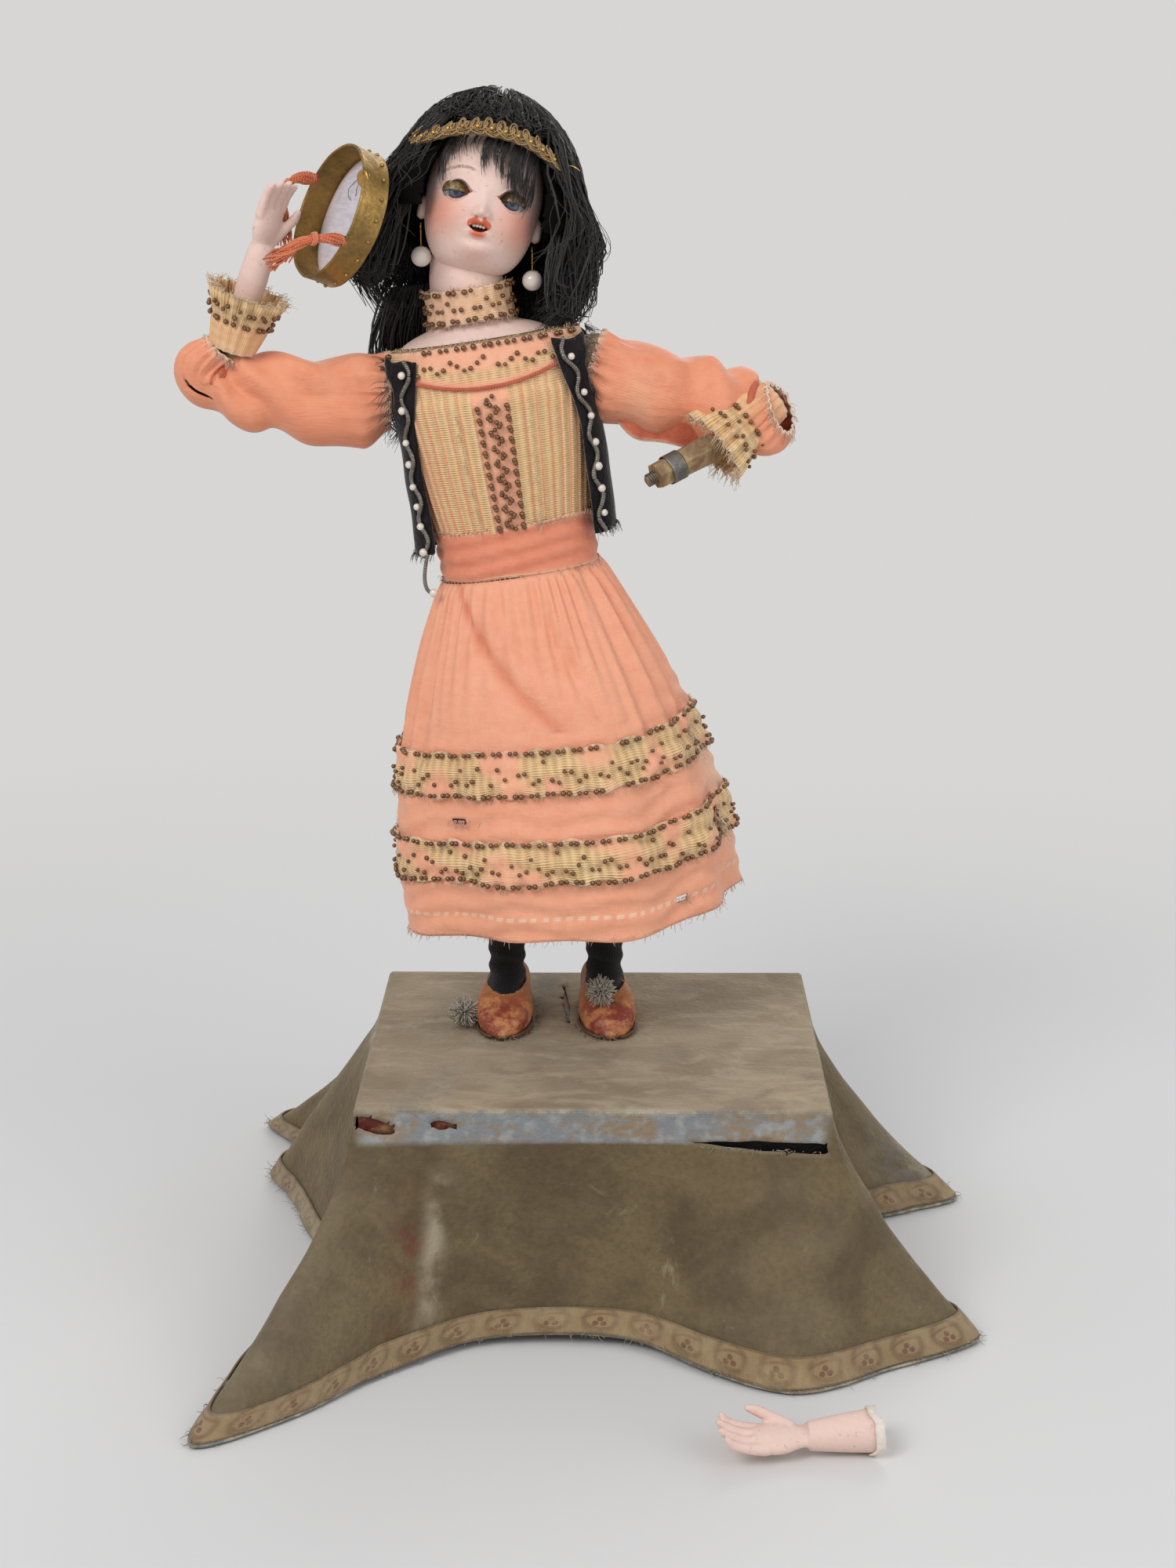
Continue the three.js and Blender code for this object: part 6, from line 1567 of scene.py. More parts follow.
def make_band(name, centre, seed):
    """A ribbon band on the skirt, with patches, bead pairs, a scalloped string and bare threads."""
    share, turns = lattice(16, 560, (centre - BAND_HALF, 0), (centre + BAND_HALF, 1), wrap=True)
    inside = (share - centre) / BAND_HALF
    out = (1.3 + 0.35 * np.cos(inside * math.pi / 2)
           + 0.25 * ripples(seed, skirt_at(turns, share) * 0.12, 8, 0.5, 1.6))
    ruffle = np.sin(turns * FULL * 33 + 3 * np.sin(turns * FULL * 5 + seed)) * inside ** 2
    points = lifted(skirt_at, turns, share, out + 0.7 * ruffle)
    points[..., 2] += 0.9 * inside * np.sin(turns * FULL * 27 + 2 * np.sin(turns * FULL * 4 + seed))
    mixed = ripples(seed + 1, np.stack([turns * 170, share * 60], -1), 12, 0.25, 0.9)
    ochre = np.clip(0.95 + 0.8 * mixed - 0.3 * soft_step(inside, 0.1, 0.8), 0, 1)
    bare = hump(np.abs(inside), 1, 0.12) * 0.7
    jag = ripples(seed + 2, points * 0.3, 8, 0.5, 1.8)
    gap = (np.abs(front_x(turns) - 0.2) < 0.012 + 0.004 * jag) & (np.abs(inside) < 0.5 + 0.2 * jag) \
        if name == "lower" else np.zeros(share.shape, bool)
    heap = Heap()
    heap.grid(on_torso(points), wrap=True, keep=~gap, ochre=ochre, coral=0.0, fray=bare)
    satin = garment_finish("Band ribbon")
    band = heap.build(f"{name}_band_ribbon", satin, slot="ribbon", replaces=(f"{name}_skirt_band",),
                      thickness=0.5)
    declare_cloth(points)
    beads = Heap()
    world = lambda across, down: on_torso(skirt_at(across, down))
    for edge in (-0.9, 0.9):
        bead_line(beads, world, centre + edge * BAND_HALF, 1.9, seed=seed + 3)
    bead_line(beads, world, centre - 0.45 * BAND_HALF, 2.1, pairs=False, wave=0.95 * BAND_HALF, waves=44,
              seed=seed + 4, skip=0.12)
    beads.build(f"{name}_band_beads", bead_finish("Amber beads"), slot="pearl")
    rng = np.random.default_rng(seed + 5)
    threads = Heap()
    for edge in (-1.0, 1.0):
        at = rng.uniform(0, 1, 260)
        start = lifted(skirt_at, at, np.full(260, centre + edge * BAND_HALF), 1.6)
        way = unit(start * (1, 1, 0)) * 0.4 + (0, 0, -edge)
        stray_threads(threads, on_torso(start), way, 1, 2.8, seed + 6, droop=0.25)
    bundle = skirt_at(0.2 + rng.normal(0, 0.008, 40), centre + rng.uniform(-0.5, 0.5, 40) * BAND_HALF)
    away = unit(bundle * (1, 1, 0))
    stray_threads(threads, on_torso(bundle + away * 2), away + (0, 0, -0.7), 1, 8, seed + 7, droop=0.7)
    threads.build(f"{name}_band_threads", yarn_finish("Frayed silk"), slot="silk")


def vest_at(across, share):
    """The vest from its top (0) to its lower edge (1), between its two front edges."""
    across, share = np.broadcast_arrays(across, np.asarray(share, float))
    z = VEST_TOP - VEST_DEEP * share
    edge = 0.1 + 0.042 * soft_step(share, 0.05, 0.5) + 0.012 * share
    turns = edge + (1 - 2 * edge) * across
    base = body_at(turns, z, 0)
    out = 5.4 + 0.8 * ripples(71, base * 0.05, 8, 0.5, 1.6) + 0.35 * ripples(72, base * 0.2, 10, 0.5, 1.6)
    beside = hump(np.minimum(across, 1 - across), 0.12, 0.16)
    out = out + 1.2 * hump(share, 1, 0.12) + 6.5 * beside * soft_step(share, 0.3, 1.0)
    return body_at(turns, z, out)


def make_vest():
    """The black velvet vest with ragged armholes and two strings of beads and pearls down its front edges."""
    share, across = lattice(84, 320, (0, 0), (1, 1))
    points = vest_at(across, share)
    jag = ripples(73, points * 0.35, 10, 0.5, 1.8)
    keep = from_shoulders(points) - 17.0 - 0.9 * jag
    keep = np.minimum(keep, np.minimum(202 + 1.6 * jag - points[..., 2], points[..., 2] - 116.0 - 1.2 * jag))
    heap = Heap()
    heap.grid(on_torso(points), keep=keep)
    lining = lining_finish()
    vest = heap.build("vest_cloth", black_velvet_finish(), lining, slot="black_velvet", replaces=("vest",),
                      thickness=1.4, inner=1)
    declare_cloth(points, wrap=False)

    strings, pearls = Heap(), Heap()
    rng = np.random.default_rng(74)
    for side, spots in (("right", (0.1, 0.26, 0.42, 0.53, 0.64, 0.74, 0.84, 0.97)),
                        ("left", (0.12, 0.3, 0.42, 0.55, 0.67, 0.78, 0.9))):
        at = 0.02 if side == "left" else 0.98
        inward = 1 if side == "left" else -1
        run = np.linspace(0.04, 0.99, 96)
        for line in (-1, 1):
            swing = 0.012 * np.sin(run * 31 + line * 1.6) * line
            place = lifted(vest_at, at + inward * (0.002 + swing), run, 1.2)
            strings.beads(on_torso(place), looks().bead_radius * rng.uniform(0.7, 0.95, len(run)), 4, 6)
        spots = np.array(spots)
        place = lifted(vest_at, np.full(len(spots), at + inward * 0.008), spots, 1.9)
        pearls.beads(on_torso(place), rng.uniform(1.5, 1.9, len(spots)), 8, 12)
    loop = np.linspace(0, 1, 26)
    end = vest_at(np.array([0.975]), np.array([0.985]))[0]
    hang = end + xyz(-3 * np.sin(loop * math.pi), -1.5 + 0 * loop, -17 * np.sin(loop * math.pi * 0.5)) * 1.0
    strings.beads(on_torso(hang), looks().bead_radius * 0.75, 4, 6)
    pearls.beads(on_torso(hang[-1:]), 2.0, 8, 12)
    strings.build("vest_beads", bead_finish("Dark beads"), slot="pearl")
    pearls.build("vest_pearls", pearl_finish(), slot="pearl")

    threads = Heap()
    for side in (-1, 1):
        angle = rng.uniform(0, FULL, 110)
        rim = (np.array([side * SHOULDER_X, 0, SHOULDER_Z])
               + 16.4 * xyz(0 * angle, np.cos(angle), np.sin(angle)))
        rim[:, 0] = np.sign(side) * np.interp(rim[:, 2], [172, 204], [42.5, 44.5])
        way = xyz(side * 1.0, np.cos(angle) * 0.5, np.sin(angle) * 0.5)
        stray_threads(threads, on_torso(rim), way, 1, 9, 75, droop=0.5)
    low = vest_at(rng.uniform(0, 1, 180), np.full(180, 0.98))
    stray_threads(threads, on_torso(low), unit(low * (1, 1, 0)) * 0.3 + (0, 0, -1), 1, 4, 76)
    threads.build("vest_threads", yarn_finish("Black threads"), slot="black_velvet")


def plate_at(turns, share):
    """The bisque shoulder plate: from the rim (0) it draws in to the neck (1) in a hollow curve."""
    rise = np.array([0, 0.08, 0.2, 0.5, 0.8, 1.6])
    half = np.array([33, 31.2, 27.7, 16.9, 13, 12])
    depth = np.array([19.3, 18.9, 17.5, 15, 13, 12])
    at = spline(np.stack([rise, half, depth], 1), share)
    angle = turns * FULL - math.pi / 2
    return xyz(NECK_X + at[..., 1] * np.cos(angle), at[..., 2] * np.sin(angle), YOKE_TOP + 15 * at[..., 0])


def make_plate():
    """Shoulder plate of bisque."""
    share, turns = lattice(40, 120, (0, 0), (1, 1), wrap=True)
    points = plate_at(turns, share)
    heap = Heap()
    heap.grid(on_torso(points), wrap=True, caps=(True, True))
    heap.build("shoulder_bisque", bisque_finish(), slot="bisque", replaces=("shoulder_plate",))


def collar_at(turns, share):
    """The choker's band, wavy at its edges and waisted in the middle."""
    turns, share = np.broadcast_arrays(turns, np.asarray(share, float))
    z = 213.3 + 14.6 * (1 - share) + 0.3 * np.sin(turns * FULL * 13) * (np.abs(share - 0.5) > 0.4)
    radius = COLLAR_RADIUS + 0.1 - 0.7 * np.cos((share - 0.5) * math.pi) + 0.25 * np.sin(turns * FULL * 21)
    angle = turns * FULL - math.pi / 2
    return xyz(NECK_X + radius * np.cos(angle), radius * 0.95 * np.sin(angle), z)


def make_collar():
    """The satin choker with bead pairs on both edges and a scalloped string between."""
    share, turns = lattice(20, 240, (0, 0), (1, 1), wrap=True)
    points = collar_at(turns, share)
    edge = hump(share, 0, 0.08) + hump(share, 1, 0.08)
    heap = Heap()
    patch = np.clip(0.5 + ripples(82, np.stack([turns * 30, share * 4], -1), 8, 0.3, 0.9), 0, 1)
    heap.grid(on_torso(points), wrap=True, ochre=0.4 * patch, coral=0.0, fray=0.5 * edge)
    satin = garment_finish("Choker satin")
    collar = heap.build("choker", satin, slot="ribbon", replaces=("collar",), thickness=1.6)
    declare_cloth(points)
    beads = Heap()
    world = lambda across, down: on_torso(collar_at(across, down))
    bead_line(beads, world, 0.08, 0.4, seed=83)
    bead_line(beads, world, 0.92, 0.4, seed=84)
    bead_line(beads, world, 0.36, 0.4, pairs=False, wave=0.26, waves=14, seed=85)
    beads.build("choker_beads", bead_finish("Amber beads"), slot="pearl")
    rng = np.random.default_rng(86)
    threads = Heap()
    for at_share, up in ((0.0, 1), (1.0, -1)):
        start = collar_at(rng.uniform(0, 1, 90), np.full(90, at_share))
        stray_threads(threads, on_torso(start), unit((start - (NECK_X, 0, 0)) * (1, 1, 0)) * 0.5 + (0, 0, up),
                      1, 2.6, 87, droop=0.1)
    threads.build("choker_threads", yarn_finish("Frayed silk"), slot="silk")


# Head

HEAD_HALF = np.array([25.0, 28.0, 34.0])
EYE_X, EYE_Z, EYE_RADIUS = 12.0, -4.6, 6.0
EYE_Y = 7.5 - 28 * math.sqrt(1 - (EYE_X / 25) ** 2)
MOUTH_Z = -18.4
EAR_Z = -68 * 0.17
BODY_OF_HEAD = "head_body"


def almond(x, z, centre_x, centre_z, half_x, half_z, tilt=0.0):
    """Distance from an almond's middle, 1 on its edge: two parabolas that meet at its corners."""
    across = (x - centre_x) / half_x
    middle = centre_z + tilt * (x - centre_x)
    tall = half_z * np.maximum(1 - across ** 2, 0.02)
    return np.maximum(np.abs(across), np.abs(z - middle) / np.maximum(tall, 1e-3))


def skull_at(turns, tilts, grow):
    """The CAD's egg, drawn in below, in the head's frame. Tilt 0 is the crown."""
    turns, tilts = np.broadcast_arrays(turns, tilts)
    low = np.maximum(-np.cos(tilts), 0)
    angle = turns * FULL - math.pi / 2
    reach = np.sin(tilts)
    return xyz(
        (HEAD_HALF[0] + grow) * (1 - 0.34 * low ** 1.4) * np.cos(angle) * reach,
        (HEAD_HALF[1] + grow) * (1 - 0.2 * low ** 2) * np.sin(angle) * reach,
        (HEAD_HALF[2] + grow) * np.cos(tilts),
    )


def face_at(turns, tilts):
    """The egg with a full jaw: below the middle the sine of the tilt is raised to 0.55 across, 0.75 deep."""
    turns, tilts = np.broadcast_arrays(turns, tilts)
    low = soft_step(-np.cos(tilts), 0.05, 0.45)
    angle = turns * FULL - math.pi / 2
    reach = np.maximum(np.sin(tilts), 1e-3)
    return xyz(
        HEAD_HALF[0] * np.cos(angle) * reach ** (1 - 0.45 * low),
        HEAD_HALF[1] * (1 - 0.13 * np.maximum(-np.cos(tilts), 0) ** 2) * np.sin(angle)
        * reach ** (1 - 0.25 * low),
        HEAD_HALF[2] * np.cos(tilts),
    )


def face_relief(x, z):
    """How far each feature stands out of the egg, in millimetres, at a place seen from the front."""
    side = np.abs(x)
    bridge = 1.5 * hump(side, 0, 2.4) * soft_step(-z, -1, 11) * (1 - soft_step(-z, 13.6, 15.2))
    tip = 3.0 * hump(side, 0, 2.7) * hump(z, -12.4, 2.4)
    wings = 1.5 * hump(side, 3.0, 1.3) * hump(z, -13.5, 1.5)
    socket = -1.5 * hump(side, EYE_X, 7.0) * hump(z, EYE_Z + 0.6, 4.6)
    lids = 0.85 * hump(almond(side, z, EYE_X, EYE_Z, 6.1, 3.7), 1.16, 0.16)
    brow = 0.6 * hump(side, 11, 7) * hump(z, 4.4, 3.0)
    cheeks = 1.3 * hump(side, 13.5, 6.5) * hump(z, -16.5, 6)
    bow = -15.9 - 0.5 * hump(side, 0, 1.0) + 0.35 * hump(side, 2.1, 1.5) - 0.042 * side ** 2
    upper = 1.5 * hump(side, 0, 4.7) * hump(z, bow, 1.25)
    lower = 1.7 * hump(side, 0, 3.7) * hump(z, -20.9, 1.45)
    philtrum = -0.3 * hump(side, 0, 0.9) * hump(z, -14.9, 1.0)
    groove = -0.7 * hump(side, 0, 5) * hump(z, -23.5, 1.3)
    chin = 2.2 * hump(side, 0, 6.5) * hump(z, -26.6, 3.2)
    double = 0.5 * hump(side, 0, 14) * hump(z, -31.4, 2.6)
    return (bridge + tip + wings + socket + lids + brow + cheeks + upper + lower + philtrum + groove + chin
            + double)


def head_columns(count):
    """Shares of the way round, packed more closely in front."""
    even = np.arange(count) / count
    return even - 0.115 * np.sin(FULL * even)


def make_head():
    """The hollow bisque head with modelled and painted face, pitted ears and open eyes and mouth."""
    turns, tilts = np.meshgrid(head_columns(300), math.pi * np.linspace(0.22, 0.985, 240))
    egg = face_at(turns, tilts)
    x, y, z = egg[..., 0], egg[..., 1], egg[..., 2]
    front = soft_step(-y, 1, 9)
    relief = face_relief(x, z) * front
    eye = almond(np.abs(x), z, EYE_X, EYE_Z, 6.0, 3.7)
    mouth = almond(x, z, 0, MOUTH_Z, 4.3, 1.6)
    eye_pit = (1 - soft_step(eye, 0.92, 1.06)) * front
    mouth_pit = (1 - soft_step(mouth, 0.8, 1.05)) * front
    points = egg + unit(egg * (1, 1, 0.25)) * relief[..., None]
    points[..., 1] += 7.5 * eye_pit + 4.0 * mouth_pit
    bow = -15.9 - 0.5 * hump(np.abs(x), 0, 1.0) + 0.35 * hump(np.abs(x), 2.1, 1.5) - 0.042 * x ** 2
    lip = np.maximum(
        (np.abs(x) < 4.9) * soft_step(bow + 0.95 - z, 0, 0.35) * soft_step(z, MOUTH_Z - 0.6, MOUTH_Z + 0.3),
        hump(almond(x, z, 0, -20.6, 4.2, 2.1), 0, 1.05) ** 1.5 * (z < MOUTH_Z) * 1.2)
    lash = hump(eye, 1.02, 0.1)
    uv = np.stack([x, z], -1) * MM
    heap = Heap()
    # inside marks the mouth's pit, where shade is painted
    heap.grid(on_head(points), wrap=True, caps=(False, True), uv=np.concatenate([uv, uv[:, :1]], 1),
              front=front, lips=np.clip(lip, 0, 1), lash=lash, inside=np.clip(mouth_pit * 1.6 - 0.5, 0, 1))
    for side in (-1, 1):
        down, across = lattice(26, 36, (0.02, 0), (0.98, 1), wrap=True)
        ball = on_ball(down, across)
        dent = hump(ball[..., 1], -0.15, 0.42) * hump(ball[..., 2], 0.12, 0.5) * (ball[..., 0] * side > 0)
        ear = ball * (3.0, 4.4, 6.2) * (1 - 0.35 * hump(ball[..., 2], -1, 0.5))[..., None]
        ear = ear + xyz(-side * 2.3 * dent, 0, 0)
        ear = ear + (side * 25.0, 1.5, EAR_Z)
        flat = np.zeros((26, 37, 2))
        heap.grid(on_head(ear), wrap=True, caps=(True, True), uv=flat, front=0.0, lips=0.0, lash=0.0,
                  inside=0.0)
    heap.build("head_bisque", face_finish(), body=BODY_OF_HEAD, slot="bisque", replaces=("head",))
    make_neck()


def make_neck():
    """The shoulder plate's neck, a ring drawn in at its top, that carries the head above the choker."""
    heap = Heap()
    rise = np.array([[222, 15.4], [224, 16.2], [229, 16.2], [233, 15.8], [238, 15.2], [243, 14.6], [245, 12]])
    share, around = lattice(24, 96, (0, 0), (1, 1), wrap=True)
    at = spline(rise, share)
    angle = around * FULL
    forward = soft_step(at[..., 0], 232, 245)
    neck = xyz(NECK_X + forward + at[..., 1] * np.cos(angle), at[..., 1] * np.sin(angle) + 2.5 * forward,
               at[..., 0])
    heap.grid(on_torso(neck), wrap=True, caps=(True, True))
    heap.build("neck_bisque", bisque_finish(), slot="bisque")


def make_eyes():
    """Sleeping eyes: two glass balls whose painted lids come half way down."""
    heap = Heap()
    for side in (-1, 1):
        down, across = lattice(60, 84, (0.01, 0), (0.99, 1), wrap=True)
        ball = on_ball(down, across)
        gaze = unit(np.array([side * 0.02, -1.0, -0.2]))
        far = np.arccos(np.clip(ball @ gaze, -1, 1)) * EYE_RADIUS
        fall = ball[..., 2] * EYE_RADIUS + 0.6 * ball[..., 0] ** 2
        lid = soft_step(fall, -0.62, -0.42)
        edge = hump(fall, -0.7, 0.28)
        iris = 1 - soft_step(far, 3.1, 3.35)
        points = ball * (EYE_RADIUS + 0.3 * lid)[..., None] + (side * EYE_X, EYE_Y, EYE_Z)
        heap.grid(on_head(points), wrap=True, caps=(True, True), lid=lid, iris=iris, edge=edge,
                  pupil=1 - soft_step(far, 1.15, 1.35), rim=hump(far, 3.15, 0.34))
    heap.build("eye_balls", eye_finish(), body="eyes", slot="eye_glass", replaces=("sleep_eyes",))
    wires = Heap()
    bar = xyz(np.linspace(-EYE_X + 5, EYE_X - 5, 5), EYE_Y, EYE_Z)
    stem = xyz(0, np.linspace(EYE_Y, EYE_Y + 20, 5), EYE_Z)
    wires.tubes(on_head(np.stack([bar, stem])), 1.0, sides=10)
    wires.beads(on_head([[0, EYE_Y + 20.2, EYE_Z]]), 3.5, 10, 14)
    wires.build("eye_weight", metal_finish("Lead weight"), body="eyes",
                slot="iron")
    teeth = Heap()
    across = np.array([-2.1, -0.7, 0.7, 2.1])
    row = xyz(across, -22.4 + 0.08 * across ** 2, MOUTH_Z + 0.75)
    teeth.beads(on_head(row), 0.78, 8, 10)
    teeth.build("small_teeth", tooth_finish(), body=BODY_OF_HEAD, slot="pearl", replaces=("teeth",))


def hair_widen(z):
    """The wig spreads sideways as it falls."""
    return 1 + 13 / 50 * 1.4 * soft_step(-z, -25.2, 15)


def hair_at(turns, tilts, grow=11.0):
    """The wig's outer surface in the head's frame."""
    place = skull_at(turns, tilts, grow)
    place[..., 0] *= hair_widen(place[..., 2])
    place[..., 1] += 2.2
    return place


def face_open(place):
    """How deep inside the opening round the face a point lies: under 1 inside."""
    offset = (place - (0, -21.3, -6.8)) / (26.5, 34.7, 36.0)
    return np.linalg.norm(offset, axis=-1)


def make_wig():
    """Mohair wig: a dark cap under locks from the crown, a thin fringe and flyaway hairs."""
    turns, tilts = np.meshgrid(np.arange(150) / 150, math.pi * np.linspace(0.02, 0.78, 90))
    cap = hair_at(turns, tilts, 7.0)
    rough = 1.0 * ripples(91, cap * 0.12, 12, 0.5, 1.8)
    cap = cap + unit(cap) * rough[..., None]
    keep = ((face_open(cap) > 1.0) & (cap[..., 2] > -31 + 1.5 * rough)
            & ~((cap[..., 1] < 8) & (cap[..., 2] < -14)))
    heap = Heap()
    heap.grid(on_head(cap), wrap=True, caps=(True, False), keep=keep, tone=0.1)
    heap.build("wig_cap", cap_finish(), body=BODY_OF_HEAD, slot="mohair", replaces=("wig",), thickness=2.0)

    count = looks().strands
    rng = np.random.default_rng(92)
    steps = 10
    share = np.linspace(0, 1, steps)
    turn = rng.random(count)
    front = np.abs(front_x(turn))
    start = rng.uniform(0.03, 0.3, count)
    stop = np.where(front < 0.125, rng.uniform(0.27, 0.325, count), rng.uniform(0.62, 0.76, count))
    stop = np.where((front > 0.125) & (front < 0.17), rng.uniform(0.5, 0.72, count), stop)
    tilt = start[:, None] + (stop - start)[:, None] * share
    drift = rng.normal(0, 0.02, count)[:, None] * share
    wave = 0.007 * np.sin(share * rng.uniform(6, 16, count)[:, None] + rng.uniform(0, FULL, count)[:, None])
    push = (np.where((front > 0.1) & (front < 0.22), 0.03, 0)[:, None] * np.sign(front_x(turn))[:, None]
            * share)
    across = turn[:, None] + drift + wave * (0.4 + share) + push
    clump = 0.9 * np.sin(across * FULL * 24) + 0.7 * np.sin(across * FULL * 41 + 2)
    grow = (9.6 + 1.1 * clump + rng.uniform(-1.4, 1.6, count)[:, None]
            + share * rng.uniform(-1.2, 1.4, count)[:, None])
    grow = grow - np.where(front < 0.125, 5.5, 0)[:, None] * soft_step(tilt, 0.3, 0.4)
    over = (soft_step(np.abs(front_x(across)), 0.105, 0.14)
            * (1 - soft_step(np.abs(front_x(across)), 0.3, 0.4)))
    paths = hair_at(across, tilt * math.pi, grow + 3.6 * over * hump(tilt, 0.35, 0.1))
    # Past the ears the locks spread and hang on to the shoulders
    hang = (np.abs(front_x(turn)) > 0.15)[:, None] * soft_step(share, 0.45, 1.0)
    flare = soft_step(-paths[..., 2], -8, 22)
    paths[..., 0] *= 1 + 0.3 * flare
    paths[..., 1] += 3 * hang + 11 * soft_step(-paths[..., 0], 22, 42)
    paths[..., 2] -= rng.uniform(2, 28, count)[:, None] * hang
    radius = looks().strand_radius * rng.uniform(0.6, 1.35, count)[:, None] * (1 - 0.75 * share ** 3)
    strands = Heap()
    strands.tubes(on_head(paths), radius, sides=3, tone=rng.random((count, 1)) ** 2)

    wisps = 360
    turn = rng.random(wisps)
    begin = rng.uniform(0.08, 0.5, wisps)
    t = np.linspace(0, 1, 8)
    curl = (rng.normal(0, 0.02, wisps)[:, None] * t
            + 0.01 * np.sin(t * 7 + rng.uniform(0, FULL, wisps)[:, None]))
    tilt = begin[:, None] + rng.uniform(0.06, 0.2, wisps)[:, None] * t
    height = 9.5 + rng.uniform(1.0, 4.6, wisps)[:, None] * np.sin(t * 2.2)
    place = hair_at(turn[:, None] + curl, tilt * math.pi, height)
    place[..., 0] *= 1 + 0.3 * soft_step(-place[..., 2], -8, 22)
    open_face = face_open(place).min(1) > 0.98
    strands.tubes(on_head(place[open_face]), 0.16, sides=3, tone=rng.random((int(open_face.sum()), 1)))

    # Locks that fall over the forehead, thin enough to show the bisque between them
    for lock, down, each in ((-0.016, 0.445, 26), (0.012, 0.44, 16), (0.03, 0.455, 24), (0.055, 0.5, 22),
                             (0.075, 0.53, 26), (0.1, 0.53, 14), (0.122, 0.55, 18), (-0.05, 0.4, 5),
                             (-0.08, 0.41, 6), (-0.105, 0.44, 9), (-0.13, 0.5, 14)):
        spread = rng.normal(0, 0.0042, each)
        t = np.linspace(0, 1, 9)
        across = lock + spread[:, None] * (0.5 + t) + 0.006 * np.sin(t * 6 + rng.uniform(0, 2, each)[:, None])
        tilt = 0.3 + (down - 0.3 + rng.normal(0, 0.02, each))[:, None] * t
        rise = 5.0 - 3.2 * t + rng.uniform(-0.4, 0.7, each)[:, None]
        place = skull_at(across, tilt * math.pi, rise)
        strands.tubes(on_head(place), 0.3 * (1 - 0.7 * t ** 2), sides=3, tone=rng.random((each, 1)))
    strands.build("wig_locks", hair_finish(), body=BODY_OF_HEAD, slot="mohair")

    # A curtain of straighter locks from the ears down, inside the outer ones, so that nothing shines through
    count = 1300
    turn = rng.uniform(0.17, 0.83, count)
    t = np.linspace(0, 1, 9)
    top = hair_at(turn + rng.normal(0, 0.01, count), rng.uniform(0.42, 0.6, count) * math.pi,
                  rng.uniform(3.0, 9.5, count))
    reach = rng.uniform(30, 44, count) * (1 + 0.15 * (turn < 0.5)) + (top[:, 2] - top[:, 2].min())
    place = top[:, None] - xyz(0, 0, 1) * (reach[:, None] * t)[..., None]
    spread = (1 + 0.2 * t
              + 0.05 * np.sin(t * rng.uniform(4, 9, count)[:, None] + rng.uniform(0, FULL, count)[:, None]))
    place[..., 0] *= spread
    place[..., 1] += (4 * t + 11 * soft_step(-place[..., 0], 22, 42)
                      + 1.4 * np.sin(t * 6 + rng.uniform(0, FULL, count)[:, None]))
    place[..., 2] = np.maximum(place[..., 2], -46 + rng.uniform(0, 14, count)[:, None])
    curtain = Heap()
    curtain.tubes(on_head(place),
                  looks().strand_radius * rng.uniform(0.7, 1.3, count)[:, None] * (1 - 0.7 * t ** 3),
                  sides=3, tone=rng.random((count, 1)) ** 2)
    curtain.build("wig_side_locks", hair_finish(), body=BODY_OF_HEAD, slot="mohair")


def make_hair_fall():
    """Long thin hair behind the shoulders, in locks that part towards their ends."""
    bottom = -31.28
    rings = [on_head_to_torso(xyz(0, 23.5, bottom - 0.5)[None])[0]]
    halves, depths = [37.0], [8.4]
    for share, wide, deep in ((0.3, 0.74, 1), (0.6, 0.66, 0.9), (0.85, 0.46, 0.7), (1, 0.24, 0.4)):
        rings.append(np.array([-66 * (0.02 + 0.3 * share), 46 * 0.6 + 3.6 + 2 + 1.2 + 7 * (1 + share * 0.2),
                               BODY_TOP + 0.3 - 76 * (share - 0.3)]))
        halves.append(66 * wide)
        depths.append(7 * deep)
    rings, halves, depths = np.array(rings), np.array(halves), np.array(depths)
    rng = np.random.default_rng(95)
    count, steps = 620, 14
    angle = rng.uniform(0, FULL, count)
    spread = rng.random(count) ** 0.5
    clump = 0.06 * np.sin(angle * 9)
    stop = np.where(rng.random(count) < 0.25, rng.uniform(1.0, 1.0, count), rng.uniform(0.55, 1.0, count))
    share = stop[:, None] * np.linspace(0, 1, steps)
    middle = spline(rings, share)
    half = spline(halves[:, None], share)[..., 0]
    depth = spline(depths[:, None], share)[..., 0]
    wave = 1.6 * np.sin(share * rng.uniform(7, 15, count)[:, None] + rng.uniform(0, FULL, count)[:, None])
    x = middle[..., 0] + (half * (spread + clump)[:, None]) * np.cos(angle)[:, None] * 0.98 + wave
    y = middle[..., 1] + depth * spread[:, None] * np.sin(angle)[:, None] + 0.5 * wave
    place = xyz(x, y, middle[..., 2])
    heap = Heap()
    radius = (looks().strand_radius * 1.15 * rng.uniform(0.5, 1.3, count)[:, None]
              * (1 - 0.8 * np.linspace(0, 1, steps) ** 2))
    heap.tubes(on_torso(place), radius, sides=3, tone=rng.random((count, 1)) ** 2)
    heap.build("long_hair", hair_finish(), body="neck", slot="mohair", replaces=("hair_fall",))


def on_head_to_torso(points):
    """Points of the head's frame, in the leaning body's frame."""
    return (on_head(points) - HIP) @ TORSO_AXES.T


def band_at(turns, share):
    """The headband's surface over the hair."""
    dip = 0.012 + 0.05 * hump(np.abs(front_x(np.asarray(turns, float))), 0.16, 0.07)
    tilt = 0.308 + 0.05 * np.asarray(share, float) + dip
    return hair_at(turns, math.pi * tilt, 11.0 + 0.25 * np.sin(turns * FULL * 40))


